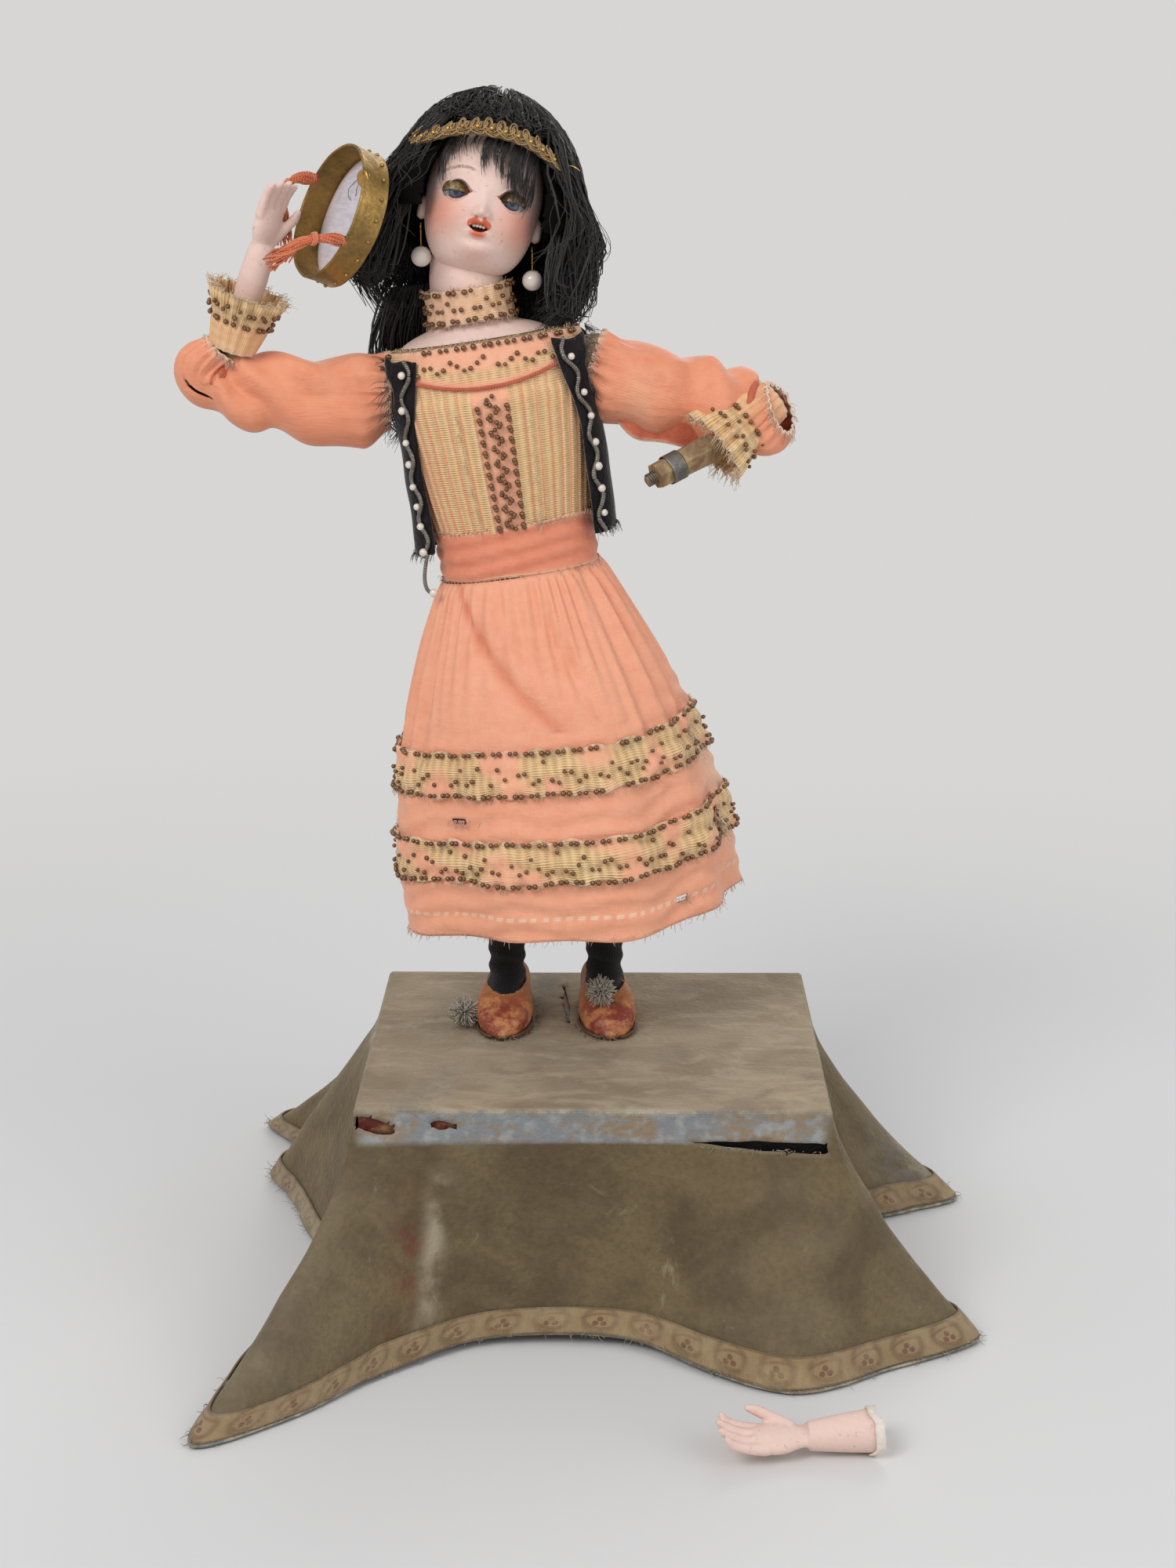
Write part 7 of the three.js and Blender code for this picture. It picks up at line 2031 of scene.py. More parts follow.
def make_headband():
    """Looped gilt braid over a ribbon, with small gold beads and a stray wire."""
    share, turns = lattice(8, 300, (0, 0), (1, 1), wrap=True)
    points = band_at(turns, share)
    heap = Heap()
    heap.grid(on_head(points), wrap=True, ochre=0.0, coral=0.0, fray=0.0)
    satin = garment_finish("Band gilt")
    band = heap.build("headband_ribbon", satin, body=BODY_OF_HEAD, slot="ribbon", replaces=("headband",),
                      thickness=0.8)
    declare_cloth(points)
    braid = Heap()
    t = np.arange(1600) / 1600
    loops_of = ((36, 0.62, 0.0), (36, 0.42, 0.7), (36, 0.8, 0.3), (72, 0.3, 0.0))
    for line, (loops, high, phase) in enumerate(loops_of):
        turning = t * FULL * loops + phase
        place = lifted(band_at, t + 0.017 * np.cos(turning) * high, 0.45 - 0.75 * high * np.sin(turning),
                       0.8 + 0.3 * np.cos(turning * 1.5))
        braid.tubes(on_head(np.concatenate([place, place[:1]]))[None], 0.3, sides=4, tone=0.25 * line)
    braid.build("headband_braid", yarn_finish("Gilt braid"), body=BODY_OF_HEAD, slot="ribbon")
    beads = Heap()
    at = (np.arange(36) + 0.5) / 36
    beads.beads(on_head(lifted(band_at, at, np.full(36, 0.6), 1.3)), 0.85, 6, 8)
    beads.build("headband_beads", metal_finish("Gilt"), body=BODY_OF_HEAD,
                slot="brass")
    wire = Heap()
    end = band_at(np.array([0.16]), np.array([0.4]))[0]
    t = np.linspace(0, 1, 8)
    path = end + np.stack([7 * t, -1.5 - 2 * t, -4 * t * t + 3 * t], 1)
    wire.tubes(on_head(path)[None], 0.22, sides=5)
    wire.build("headband_wire", metal_finish("Gilt"), body=BODY_OF_HEAD,
               slot="brass")


def make_earrings():
    """Pearls with gilt caps on wire hooks, with a short tail."""
    for side in ("right", "left"):
        hook = np.array(JOINTS[f"{side}_earring_swing"]["pos_m"]) * 1000
        heap = Heap()
        heap.beads([hook - (0, 0, 13.3)], 4.4, 20, 28)
        heap.build(f"{side}_pearl", pearl_finish(), body=f"{side}_earring_body", slot="pearl",
                   replaces=(f"{side}_earring",))
        wires = Heap()
        t = np.linspace(0, 1, 12)
        loop = hook + np.stack([0 * t, 1.1 * np.sin(t * FULL), -0.4 + 1.1 * np.cos(t * FULL)], 1)
        drop = hook + np.stack([0 * t, 0.3 * np.sin(t * 9), -1.5 - 8.0 * t], 1)
        tail = hook + np.stack([2.6 * t, -1.2 * t, -8.8 - 2.2 * t + 1.4 * t * t], 1)
        wires.tubes(np.stack([loop, drop, tail]), 0.34, sides=6)
        wires.beads([hook - (0, 0, 9.4)], 1.3, 6, 10, squash=((0, 0, 1), 0.5))
        wires.build(f"{side}_hook", metal_finish("Gilt"), body=f"{side}_earring_body", slot="brass")


# Arms, tambourine and hands

UPPER_ARM, FOREARM, HAND, LOOSE_HAND = 72.0, 64.0, 38.0, 68
SLEEVE_RADIUS, CUFF_RADIUS = 17, 15
SHOULDER = {side: np.array([x, 0, SHOULDER_Z]) for side, x in (("right", -SHOULDER_X), ("left", SHOULDER_X))}
R_ELBOW = SHOULDER["right"] + UPPER_ARM * np.array([-1, -0.11, 0.167])
R_WRIST = R_ELBOW + FOREARM * np.array([0.469, -0.125, 0.875])
R_PALM = R_WRIST + HAND * np.array([0.31, -0.074, 0.671])
L_ELBOW = SHOULDER["left"] + UPPER_ARM * np.array([1, -0.11, -0.39])
L_WRIST = L_ELBOW + FOREARM * np.array([-0.406, -0.156, -0.234])
L_TIP = L_WRIST + 30 * np.array([-0.87, -0.43, -0.24])
DRUM_RADIUS, DRUM_DEPTH = 29.5, 12.5
DRUM_AXIS = unit(np.array([-0.74, -0.47, 0.48]))
DRUM_CENTRE = R_PALM + DRUM_RADIUS * np.array([0.86, -0.13, -0.53])
TURN_TO_DRUM = np.array(Vector((0, 0, 1)).rotation_difference(Vector(DRUM_AXIS)).to_matrix())


def on_drum(points):
    """Points of the tambourine's frame (its axis up), in the leaning body's frame."""
    return DRUM_CENTRE + np.asarray(points, float) @ TURN_TO_DRUM.T


def between(a, b, share):
    """A point on the way from a to b."""
    return a + (b - a) * share


def sleeve_surface(path, radii, seed, fold):
    """A cloth tube along a path, with slanting folds that are deeper at the bend and the ends."""
    tube = tube_surface(path, radii, (0, -1, 0.2))

    def surface(turns, shares):
        turns, shares = np.broadcast_arrays(turns, np.asarray(shares, float))
        base = tube(turns, shares)
        middle = spline(np.asarray(path, float), shares)
        slant = np.sin(shares * 26 + turns * FULL * 2 + 2 * np.sin(turns * FULL + seed))
        slant = slant * (0.5 + hump(shares, 0.62, 0.22))
        gather = (np.sin(turns * FULL * 17 + 2 * np.sin(turns * 9))
                  * (hump(shares, 0, 0.14) + hump(shares, 1, 0.12)))
        small = ripples(seed, base * 0.13, 12, 0.5, 1.8)
        ridge = 1 - 1.9 * np.abs(ripples(seed + 9, base * 0.07, 7, 0.6, 1.5))
        low = (np.clip(-unit(base - middle)[..., 2], 0, 1) ** 1.3 * (1 - soft_step(shares, 0.2, 0.6))
               * (0.15 + 0.85 * soft_step(shares, 0.0, 0.15)))
        out = fold * slant + 0.9 * gather + 0.7 * small + 1.7 * ridge + 8.5 * low
        return base + unit(base - middle) * out[..., None]

    return surface


R_SLEEVE_PATH = [between(SHOULDER["right"], R_ELBOW, s) for s in (-0.02, 0.18, 0.45, 0.7, 0.92)] + [
    R_ELBOW + SLEEVE_RADIUS * np.array([-0.24, -0.06, 0.35]),
    between(R_ELBOW, R_WRIST, 0.28) + SLEEVE_RADIUS * np.array([-0.06, 0, 0])]
R_SLEEVE_RADII = SLEEVE_RADIUS * np.array([0.93, 0.96, 0.9, 0.98, 1.05, 0.95, 0.72])
L_SLEEVE_PATH = [between(SHOULDER["left"], L_ELBOW, s) + SLEEVE_RADIUS * np.array([0.06, 0, -0.53 * s])
                 for s in (-0.02, 0.18, 0.45, 0.7, 0.92)] + [
    L_ELBOW + SLEEVE_RADIUS * np.array([0.35, -0.24, -0.18])]
L_SLEEVE_RADII = SLEEVE_RADIUS * np.array([0.93, 0.96, 0.95, 1.02, 0.92, 0.7])
CUFF_RADII = CUFF_RADIUS * np.array([0.72, 0.86, 0.98, 1.05])
R_CUFF_PATH = [between(between(R_ELBOW, R_WRIST, 0.31), between(R_ELBOW, R_WRIST, 0.71), s)
               for s in (0, 0.35, 0.7, 1)]
L_CUFF_PATH = [between(L_ELBOW + CUFF_RADIUS * np.array([0.2, 0.13, 0.07]), L_WRIST, s)
               for s in (0, 0.35, 0.7, 1)]


def make_sleeves():
    """Two satin sleeves with torn seams and frayed ends."""
    satin = garment_finish("Sleeve satin")
    inside = garment_finish("Sleeve inside")
    for side, path, radii, seed in (("right", R_SLEEVE_PATH, R_SLEEVE_RADII, 101),
                                    ("left", L_SLEEVE_PATH, L_SLEEVE_RADII, 111)):
        surface = sleeve_surface(path, radii - 0.6, seed, 1.7)
        share, turns = lattice(110, 190, (0, 0), (1, 1), wrap=True)
        points = surface(turns, share)
        jag = ripples(seed + 1, points * 0.3, 9, 0.5, 1.8)
        hole = ((front_x(turns - 0.12) / 0.014) ** 2 + ((share - 0.8) / (0.05 + 0.012 * jag)) ** 2) < 1
        if side == "left":
            hole = ((front_x(turns - 0.12) / 0.03) ** 2 + ((share - 0.93) / (0.045 + 0.015 * jag)) ** 2) < 1
        worn = soft_step(ripples(seed + 2, points * 0.06, 9, 0.5, 1.6), 0.8, 1.7) * 0.6
        edge = hump(share, 0, 0.03) + hump(share, 1, 0.03)
        heap = Heap()
        heap.grid(on_torso(points), wrap=True, keep=~hole, ochre=0.2 * worn,
                  coral=0.6 * soft_step(ripples(seed + 3, points * 0.045, 8, 0.5, 1.6), 0.6, 1.5),
                  fray=np.clip(worn + edge, 0, 1))
        sleeve = heap.build(f"{side}_sleeve_cloth", satin, inside, body=f"{side}_arm", slot="satin",
                            replaces=(f"{side}_sleeve",), thickness=looks().dress_thickness, inner=1)
        declare_cloth(points)
        rng = np.random.default_rng(seed + 4)
        threads = Heap()
        for at, number in ((0.01, 24), (0.99, 120)):
            start = surface(rng.uniform(0, 1, number), np.full(number, at))
            middle = spline(np.asarray(path), np.array([at]))[0]
            stray_threads(threads, on_torso(start), unit(start - middle), 1, 3.5, seed + 5, droop=0.6)
        threads.build(f"{side}_sleeve_threads", yarn_finish("Skirt threads"), body=f"{side}_arm", slot="silk")
    make_lining_panel()


def make_lining_panel():
    """The coral inner panel that hangs from the left sleeve's torn seam."""
    corner = np.array([L_SLEEVE_PATH[0] + (4, -12, -5), L_SLEEVE_PATH[3] + (2, -13, -2)])
    down, across = lattice(34, 56, (0, 0), (1, 1))
    top = corner[0] + (corner[1] - corner[0]) * across[..., None]
    deep = 17 + 9 * np.sin(across * math.pi) + 3 * np.sin(across * 9)
    place = top + xyz(0, 0, -1) * (down * deep)[..., None]
    place[..., 0] += 2.5 * np.sin(down * 3 + across * 5) * down
    place[..., 1] += 6 * down ** 0.8 + 1.6 * np.sin(across * 17 + down * 2) * down
    heap = Heap()
    heap.grid(on_torso(place), ochre=0.0, coral=0.7, fray=hump(down, 1, 0.04), out=True)
    inside = garment_finish("Sleeve inside")
    panel = heap.build("left_sleeve_panel", inside, body="left_arm", slot="satin", thickness=0.5)
    declare_cloth(place, wrap=False)


def make_cuffs():
    """Ribbed frilled cuffs with bead garlands and frayed edges."""
    satin = garment_finish("Cuff ribbon", turn=0.0)
    for side, path, seed in (("right", R_CUFF_PATH, 121), ("left", L_CUFF_PATH, 131)):
        tube = tube_surface(path, CUFF_RADII - 0.8, (0, -1, 0.2))

        def surface(turns, shares, tube=tube, path=path, seed=seed):
            turns, shares = np.broadcast_arrays(turns, np.asarray(shares, float))
            base = tube(turns, shares)
            middle = spline(np.asarray(path, float), np.clip(shares, 0, 1))
            flare = soft_step(shares, 0.55, 1.0)
            frill = np.sin(turns * FULL * 14 + 1.5 * np.sin(turns * FULL * 3)) * (0.4 + 1.5 * flare)
            small = 0.4 * ripples(seed, base * 0.15, 10, 0.5, 1.8)
            return (base + unit(base - middle)
                    * (frill + small + 1.2 * flare - 0.6 * hump(shares, 0.5, 0.07))[..., None])

        share, turns = lattice(44, 180, (0, 0), (1, 1), wrap=True)
        points = surface(turns, share)
        patch = np.clip(ripples(seed + 1, np.stack([turns * 20, share * 5], -1), 8, 0.3, 0.9), 0, 1)
        ochre = np.clip(0.35 + soft_step(share, 0.45, 0.6) * 0.65 - 0.5 * patch * (share < 0.5), 0, 1)
        heap = Heap()
        heap.grid(on_torso(points), wrap=True, ochre=ochre, coral=0.5 * patch * (share < 0.5),
                  fray=0.8 * (hump(share, 1, 0.05) + hump(share, 0, 0.04)))
        cuff = heap.build(f"{side}_cuff_ribbon", satin, body=f"{side}_arm", slot="ribbon",
                          replaces=(f"{side}_cuff",), thickness=0.6)
        declare_cloth(points)
        beads = Heap()
        world = lambda across, down: on_torso(surface(across, down))
        bead_line(beads, world, 0.5, 0.6, seed=seed + 2)
        bead_line(beads, world, 0.62, 0.6, pairs=False, wave=0.16, waves=13, seed=seed + 3)
        beads.build(f"{side}_cuff_beads", bead_finish("Amber beads"), body=f"{side}_arm", slot="pearl")
        rng = np.random.default_rng(seed + 4)
        threads = Heap()
        start = surface(rng.uniform(0, 1, 190), np.full(190, 0.99))
        way = unit(path[-1] - path[0])
        stray_threads(threads, on_torso(start), unit(start - path[-1]) * 0.5 + way, 1, 5, seed + 5, droop=0.3)
        threads.build(f"{side}_cuff_threads", yarn_finish("Frayed silk"), body=f"{side}_arm", slot="silk")


def hand_tubes(heap, reach, curl, place):
    """Palm, four fingers of three joints and a thumb, along +Z from the wrist, put in place by a function."""
    palm = np.array([[0, 0, -0.16], [0, 0, 0.05], [0, 0, 0.28], [0, 0, 0.5]]) * reach
    shares = np.linspace(0, 1, 12)
    heap.tubes(place(spline(palm, shares))[None],
               spline(np.array([0.13, 0.135, 0.2, 0.17])[:, None], shares).T * reach,
               sides=20, flat=0.55, up=place(np.array([[0, 1, 0.0]])) - place(np.zeros((1, 3))))
    for i, spot in enumerate((-0.15, -0.05, 0.05, 0.14)):
        tip = 0.88 - 0.05 * abs(i - 1.5)
        line = np.array([[spot, 0, 0.4], [spot * 1.15, -0.07 * curl, 0.62], [spot * 1.2, -0.17 * curl, 0.76],
                         [spot * 1.25, -0.29 * curl, tip]]) * reach
        swell = np.array([0.062, 0.058, 0.053, 0.048, 0.052, 0.046, 0.04, 0.024]) * reach
        shares = np.linspace(0, 1, len(swell))
        heap.tubes(place(spline(line, shares))[None], swell[None], sides=12)
    thumb = (np.array([[0.1, -0.02, 0.14], [0.2, -0.07, 0.28], [0.25, -0.14, 0.42], [0.22, -0.22, 0.56]])
             * reach)
    swell = np.array([0.08, 0.075, 0.062, 0.056, 0.058, 0.046, 0.028]) * reach
    shares = np.linspace(0, 1, len(swell))
    heap.tubes(place(spline(thumb, shares))[None], swell[None], sides=12)


def melt(piece, voxel):
    """Joins overlapping tubes to one skin and smooths it, as live modifiers."""
    mesh = piece.modifiers.new("one skin", "REMESH")
    mesh.mode = "VOXEL"
    mesh.voxel_size = voxel * MM
    mesh.use_smooth_shade = True
    smooth = piece.modifiers.new("smooth", "SMOOTH")
    smooth.factor = 0.6
    smooth.iterations = 3


def toward(way, turn=0.0):
    """A matrix that turns +Z to a direction, after a turn about it."""
    spin = Matrix.Rotation(turn, 3, "Z")
    return np.array(Vector((0, 0, 1)).rotation_difference(Vector(way)).to_matrix() @ spin)


def make_right_hand():
    """Forearm and hand of bisque that hold the tambourine's rim."""
    turn = toward(unit(R_PALM - R_WRIST), math.pi * 0.3)
    heap = Heap()
    hand_tubes(heap, HAND, 0.5, lambda p: on_torso(R_WRIST + np.asarray(p) @ turn.T))
    arm = spline(np.array([between(R_ELBOW, R_WRIST, 0.31), between(R_ELBOW, R_WRIST, 0.8), R_WRIST,
                           between(R_WRIST, R_PALM, 0.12)]), np.linspace(0, 1, 12))
    radii = np.interp(np.linspace(0, 3, 12), [0, 1, 2, 3], 6.5 * np.array([0.8, 1, 0.9, 0.8]))
    heap.tubes(on_torso(arm)[None], radii[None], sides=24)
    hand = heap.build("right_hand_bisque", bisque_finish(), body="right_arm", slot="bisque",
                      replaces=("right_forearm",))
    melt(hand, 0.75)


def make_loose_hand():
    """The broken-off left hand on the ground, with a jagged pale edge."""
    place = np.array([86.0, -186.0, 8.0])
    turn = toward(unit(np.array([-0.98, -0.12, -0.03])), math.pi / 2)
    reach = LOOSE_HAND * 0.62
    heap = Heap()
    hand_tubes(heap, reach, 0.75, lambda p: place + np.asarray(p) @ turn.T)
    shares = np.linspace(-0.4, 0.0, 9)
    wrist = place + xyz(0, 0, shares * LOOSE_HAND) @ turn.T
    radii = np.interp(shares, [-0.4, -0.2, 0], [part * LOOSE_HAND for part in (0.13, 0.11, 0.085)])
    heap.tubes(wrist[None], radii[None], sides=28)
    hand = heap.build("loose_hand_bisque", bisque_finish(), body="loose_hand", slot="bisque",
                      replaces=("loose_left_hand",))
    melt(hand, 0.8)
    edge = Heap()
    down, across = lattice(10, 90, (0, 0), (1, 1), wrap=True)
    angle = across * FULL
    jag = 1.5 * np.sin(angle * 2 + 1) + 0.7 * np.sin(angle * 5) + 0.3 * np.sin(angle * 9 + 2)
    radius = np.interp(down, [0, 0.35, 0.5, 1], [8.95, 9.0, 7.2, 5.4])
    along = np.interp(down, [0, 0.35, 0.5, 1], [-25.2, -28.4, -28.2, -12.0]) - jag * (1 - np.abs(down - 0.4))
    local = xyz(radius * np.cos(angle), radius * np.sin(angle), along)
    edge.grid(place + local @ turn.T, wrap=True)
    edge.build("loose_hand_break", wood_finish("Broken bisque"),
               body="loose_hand", slot="bisque", thickness=0.8)


def make_tambourine():
    """Hoop of worn brass with rolled edges and nail heads, a milky skin, and a jingle with leaf bits."""
    profile = np.array([[28.5, -6.25], [29.3, -6.25], [29.55, -5.9], [29.3, -5.3],
                        [29.45, -4.2], [29.2, -1.0], [29.2, 1.0], [29.45, 4.2],
                        [29.3, 5.3], [29.55, 5.9], [29.3, 6.25], [28.5, 6.25],
                        [28.4, 5.4], [28.45, 0.0], [28.4, -5.4]])
    angle = FULL * np.arange(160) / 160
    dent = 0.12 * np.sin(angle * 5 + 1) + 0.07 * np.sin(angle * 13)
    ring = np.concatenate([profile, profile[:1]])
    points = xyz((ring[:, None, 0] + dent) * np.cos(angle), (ring[:, None, 0] + dent) * np.sin(angle),
                 ring[:, None, 1] + 0 * angle)
    heap = Heap()
    heap.grid(on_torso(on_drum(points)), wrap=True, out=False)
    brass = metal_finish("Aged brass")
    heap.build("tambourine_hoop", brass, body="right_arm", slot="brass", replaces=("tambourine_rim",))
    skin = Heap()
    radius, turns = np.meshgrid(np.linspace(0.02, 1, 30), np.arange(120) / 120, indexing="ij")
    sag = 0.5 * (1 - radius ** 2) + 0.12 * ripples(141, np.stack([radius * 6, turns * 6], -1), 8, 0.6, 2)
    place = xyz(28.1 * radius * np.cos(turns * FULL), 28.1 * radius * np.sin(turns * FULL), -5.6 + sag)
    skin.grid(on_torso(on_drum(place)), wrap=True, caps=(True, False), rim=soft_step(radius, 0.86, 1.0),
              out=True)
    skin.build("tambourine_drumskin", skin_finish(), body="right_arm", slot="parchment",
               replaces=("tambourine_skin",), thickness=0.5)
    nails = Heap()
    at = FULL * (np.arange(20) + 0.5) / 20
    nails.beads(on_torso(on_drum(xyz(29.6 * np.cos(at), 29.6 * np.sin(at), -3.4 + 0 * at))), 0.9, 6, 8)
    nails.build("tambourine_nails", brass, body="right_arm", slot="brass")

    pin = np.array(JOINTS["jingle_swing"]["pos_m"]) * 1000
    jingle = Heap()
    turns = np.linspace(0, 1, 25)
    out = unit(on_torso(on_drum([[math.cos(FULL * 0.93), math.sin(FULL * 0.93), 0]]))[0]
               - on_torso(on_drum([[0, 0, 0]]))[0])
    down = np.array([0, 0, -1.0])
    side = unit(np.cross(out, down))
    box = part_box("jingles")
    low, high = np.array(box[0]) * 1000, np.array(box[1]) * 1000
    centre = (low + high) / 2
    loops = []
    for k in range(5):
        middle = pin + down * (2.2 + 2.9 * k)
        wide = side if k % 2 else out
        loops.append(middle + 1.7 * (np.cos(turns * FULL)[:, None] * down
                                     + 0.6 * np.sin(turns * FULL)[:, None] * wide))
    jingle.tubes(np.stack(loops), 0.3, sides=5)
    jingle.beads([centre], 3.6, 10, 20, squash=(side, 0.16))
    leaf = pin + down * np.array([[6.0], [10.0], [14.0]]) + side * np.array([[1.6], [-1.7], [1.4]])
    jingle.beads(leaf, 1.7, 6, 10, squash=(out, 0.2))
    jingle.build("jingle_chain", metal_finish("Gilt"), body="jingle",
                 slot="brass", replaces=("jingles",))


def make_tassels():
    """Two tassels of coral yarn: a knot at the hoop's hole, a twisted cord and loose strands that hang."""
    ways = {"upper": ((0.24, 5.0), [(-10, -5, 1), (-15.5, -6, -5), (-17, -7, -14), (-18, -8, -25)], 0.45),
            "lower": ((0.755, 4.0), [(-9, -5, 3), (-18, -5, 3), (-27, -4, 0), (-35, -3, -3)], 0.3)}
    for name, ((turn, lift), steps, thin) in ways.items():
        start = on_drum([[27.5 * math.cos(FULL * turn), 27.5 * math.sin(FULL * turn), lift]])[0]
        line = np.concatenate([start[None], start + np.array(steps, float)])
        rng = np.random.default_rng(151 if name == "upper" else 152)
        count = 76
        t = np.linspace(0, 1, 22)
        reach = rng.uniform(0.72, 1.0, count)
        share = t * reach[:, None]
        middle = spline(line, share)
        angle = rng.uniform(0, FULL, count)[:, None] + 4.5 * share
        far = rng.random(count)[:, None] ** 0.5
        spread = 1.1 + 2.6 * soft_step(share, thin, 1.0) + 1.3 * hump(share, 0.12, 0.08)
        way = unit(spline(line, np.clip(share + 0.02, 0, 1)) - spline(line, np.clip(share - 0.02, 0, 1)))
        side = unit(np.cross(way, (0.2, 1.0, 0.1)))
        other = np.cross(way, side)
        wave = 0.5 * np.sin(share * rng.uniform(9, 22, count)[:, None] + rng.uniform(0, FULL, count)[:, None])
        place = middle + side * (np.cos(angle) * far * spread + wave)[..., None]
        place = place + other * (np.sin(angle) * far * spread * 0.8)[..., None]
        place[..., 2] -= 2.0 * far * t ** 3
        heap = Heap()
        heap.tubes(on_torso(place), 0.42 * (1 - 0.3 * t ** 3), sides=4, tone=rng.random((count, 1)))
        turns = np.linspace(0, 1, 24)
        at = spline(line, np.array([0.03, 0.05, 0.34, 0.36, 0.38]))
        for mid, wide in zip(at, (1.5, 1.7, 2.4, 2.5, 2.4)):
            loop = (mid + wide * (np.cos(turns * FULL)[:, None] * side[0, 5]
                                  + np.sin(turns * FULL)[:, None] * other[0, 5]))
            heap.tubes(on_torso(loop)[None], 0.45, sides=5, tone=0.7)
        yarn = yarn_finish("Tassel yarn")
        heap.build(f"{name}_tassel_yarn", yarn, body="right_arm", slot="yarn", replaces=(f"{name}_tassel",))


def make_peg():
    """Grey metal plate and screw on the left peg, whose wood the frame already has."""
    way = unit(L_TIP - L_WRIST)
    turn = toward(way)
    heap = Heap()
    share, turns = lattice(14, 48, (0, 0), (1, 1), wrap=True)
    radius = 6.55 + 0.08 * np.sin(turns * FULL * 3)
    along = -13 + 7 * share
    place = L_TIP + xyz(radius * np.cos(turns * FULL), radius * np.sin(turns * FULL), along) @ turn.T
    heap.grid(on_torso(place), wrap=True)
    spiral = np.linspace(0, 1, 70)
    thread = xyz(2.6 * np.cos(spiral * FULL * 4), 2.6 * np.sin(spiral * FULL * 4), 0.3 + 4.3 * spiral)
    heap.tubes(on_torso(L_TIP + thread @ turn.T)[None], 0.35, sides=5)
    heap.build("peg_plate", metal_finish("Grey iron"), body="left_arm",
               slot="iron", thickness=0.5)


# Legs and shoes

TOE_OUT = {"right": -2.2, "left": 6.0}
SOLE, FIGURE_Y = 105.3, 28.0
SHOE_LONG, SHOE_HALF, SHOE_HIGH, HEEL_SHARE = 62, 13, 17, 0.58


def shoe_at(side, turns, share, grow=0.0):
    """The CAD's shoe last: width and height shares along its length, rounded by powers of cosine and sine."""
    turns, share = np.broadcast_arrays(turns, np.asarray(share, float))
    stations = [0, 0.04, 0.14, 0.3, 0.48, 0.66, 0.84, 0.95, 1]
    table = np.array([[0.2, 0.52, 0.84, 1, 0.94, 0.78, 0.74, 0.62, 0.3],
                      [0.3, 0.5, 0.7, 0.92, 1.1, 1.15, 1.2, 1.15, 0.9]])
    knots = np.interp(share, stations, np.arange(9) / 8)
    width, height = np.moveaxis(spline(table.T, knots), -1, 0)
    lean = LEG_X[side] + TOE_OUT[side] * (0.55 - share)
    half = SHOE_HALF * width + grow
    rise = SHOE_HIGH * height / 2 + grow / 2
    angle = turns * FULL
    return xyz(lean + half * signed_power(np.cos(angle), 0.8), FIGURE_Y + SHOE_LONG * (share - HEEL_SHARE),
               SOLE + rise + rise * signed_power(np.sin(angle), 0.6))


def make_legs():
    """Black stockings wrinkled at the ankles, over wooden legs."""
    for side, x in LEG_X.items():
        share, turns = lattice(120, 64, (0, 0), (1, 1), wrap=True)
        z = SOLE + 4 + (205.7 - SOLE - 4) * share
        calf = 8.7 + 1.5 * hump(z, 172, 26) - 0.6 * hump(z, 134, 12)
        low = 1 - soft_step(z, 118, 138)
        fold = 0.55 * np.sin(z * 0.75 + 1.5 * np.sin(turns * FULL + 1)) * (1 - soft_step(z, 128, 160))
        fine = 0.25 * ripples(161, xyz(turns * 40, 0, z) * 0.2, 9, 0.5, 1.8)
        radius = calf + fold + fine
        angle = turns * FULL
        place = xyz(x + radius * np.cos(angle), FIGURE_Y + radius * np.sin(angle) - 9 * low ** 2 *
                    soft_step(-np.sin(angle), -0.2, 1), z)
        heap = Heap()
        heap.grid(place, wrap=True, caps=(True, True))
        heap.build(f"{side}_stocking", stocking_finish(), body="root", slot="stocking",
                   replaces=(f"{side}_leg",))


def make_shoes():
    """Leather slippers with a stitched opening, a sole and a small heel."""
    leather = leather_finish()
    for side in LEG_X:
        share, turns = lattice(90, 90, (0, 0), (1, 1), wrap=True)
        place = shoe_at(side, turns, share)
        wear = 0.18 * ripples(171, place * 0.25, 10, 0.5, 1.8)
        place = place + xyz(0, 0, 1) * wear[..., None]
        offset = (place - (LEG_X[side] + TOE_OUT[side] * 0.1, FIGURE_Y + 1, SOLE + 21)) / (9.6, 19.5, 13.0)
        opening = np.linalg.norm(offset, axis=-1)
        keep = opening > 1
        toe = 1 - soft_step(share, 0.1, 0.5)
        sole = 1 - soft_step(place[..., 2], SOLE + 1.5, SOLE + 3)
        heap = Heap()
        heap.grid(place, wrap=True, caps=(True, True), keep=keep, toe=toe, sole=sole)
        heap.build(f"{side}_shoe_leather", leather, body="root", slot="shoe_leather",
                   replaces=(f"{side}_shoe",), thickness=1.0)
        welt = Heap()
        along = np.linspace(0.015, 0.985, 70)
        for turn in (0.04, 0.46):
            line = shoe_at(side, np.full(70, turn), along, 0.4)
            line[:, 2] = SOLE + 1.3
            welt.tubes(line[None], 0.8, sides=6, toe=0.0, sole=1.0)
        angle = np.linspace(0, FULL, 72)
        rim = xyz(LEG_X[side] + TOE_OUT[side] * 0.1 + 9.3 * np.cos(angle),
                  FIGURE_Y + 1 + 18.6 * np.sin(angle), 0)
        share_of = np.clip((rim[:, 1] - FIGURE_Y) / SHOE_LONG + HEEL_SHARE, 0.02, 0.98)
        top = shoe_at(side, np.full(72, 0.25), share_of)[:, 2]
        drop = 1 - 0.22 * np.abs(np.cos(angle)) ** 2
        rim[:, 2] = SOLE + (top - SOLE) * drop * 0.96
        welt.tubes(rim[None], 0.7, sides=6, toe=0.0, sole=0.3)
        welt.build(f"{side}_shoe_welt", leather, body="root", slot="shoe_leather")


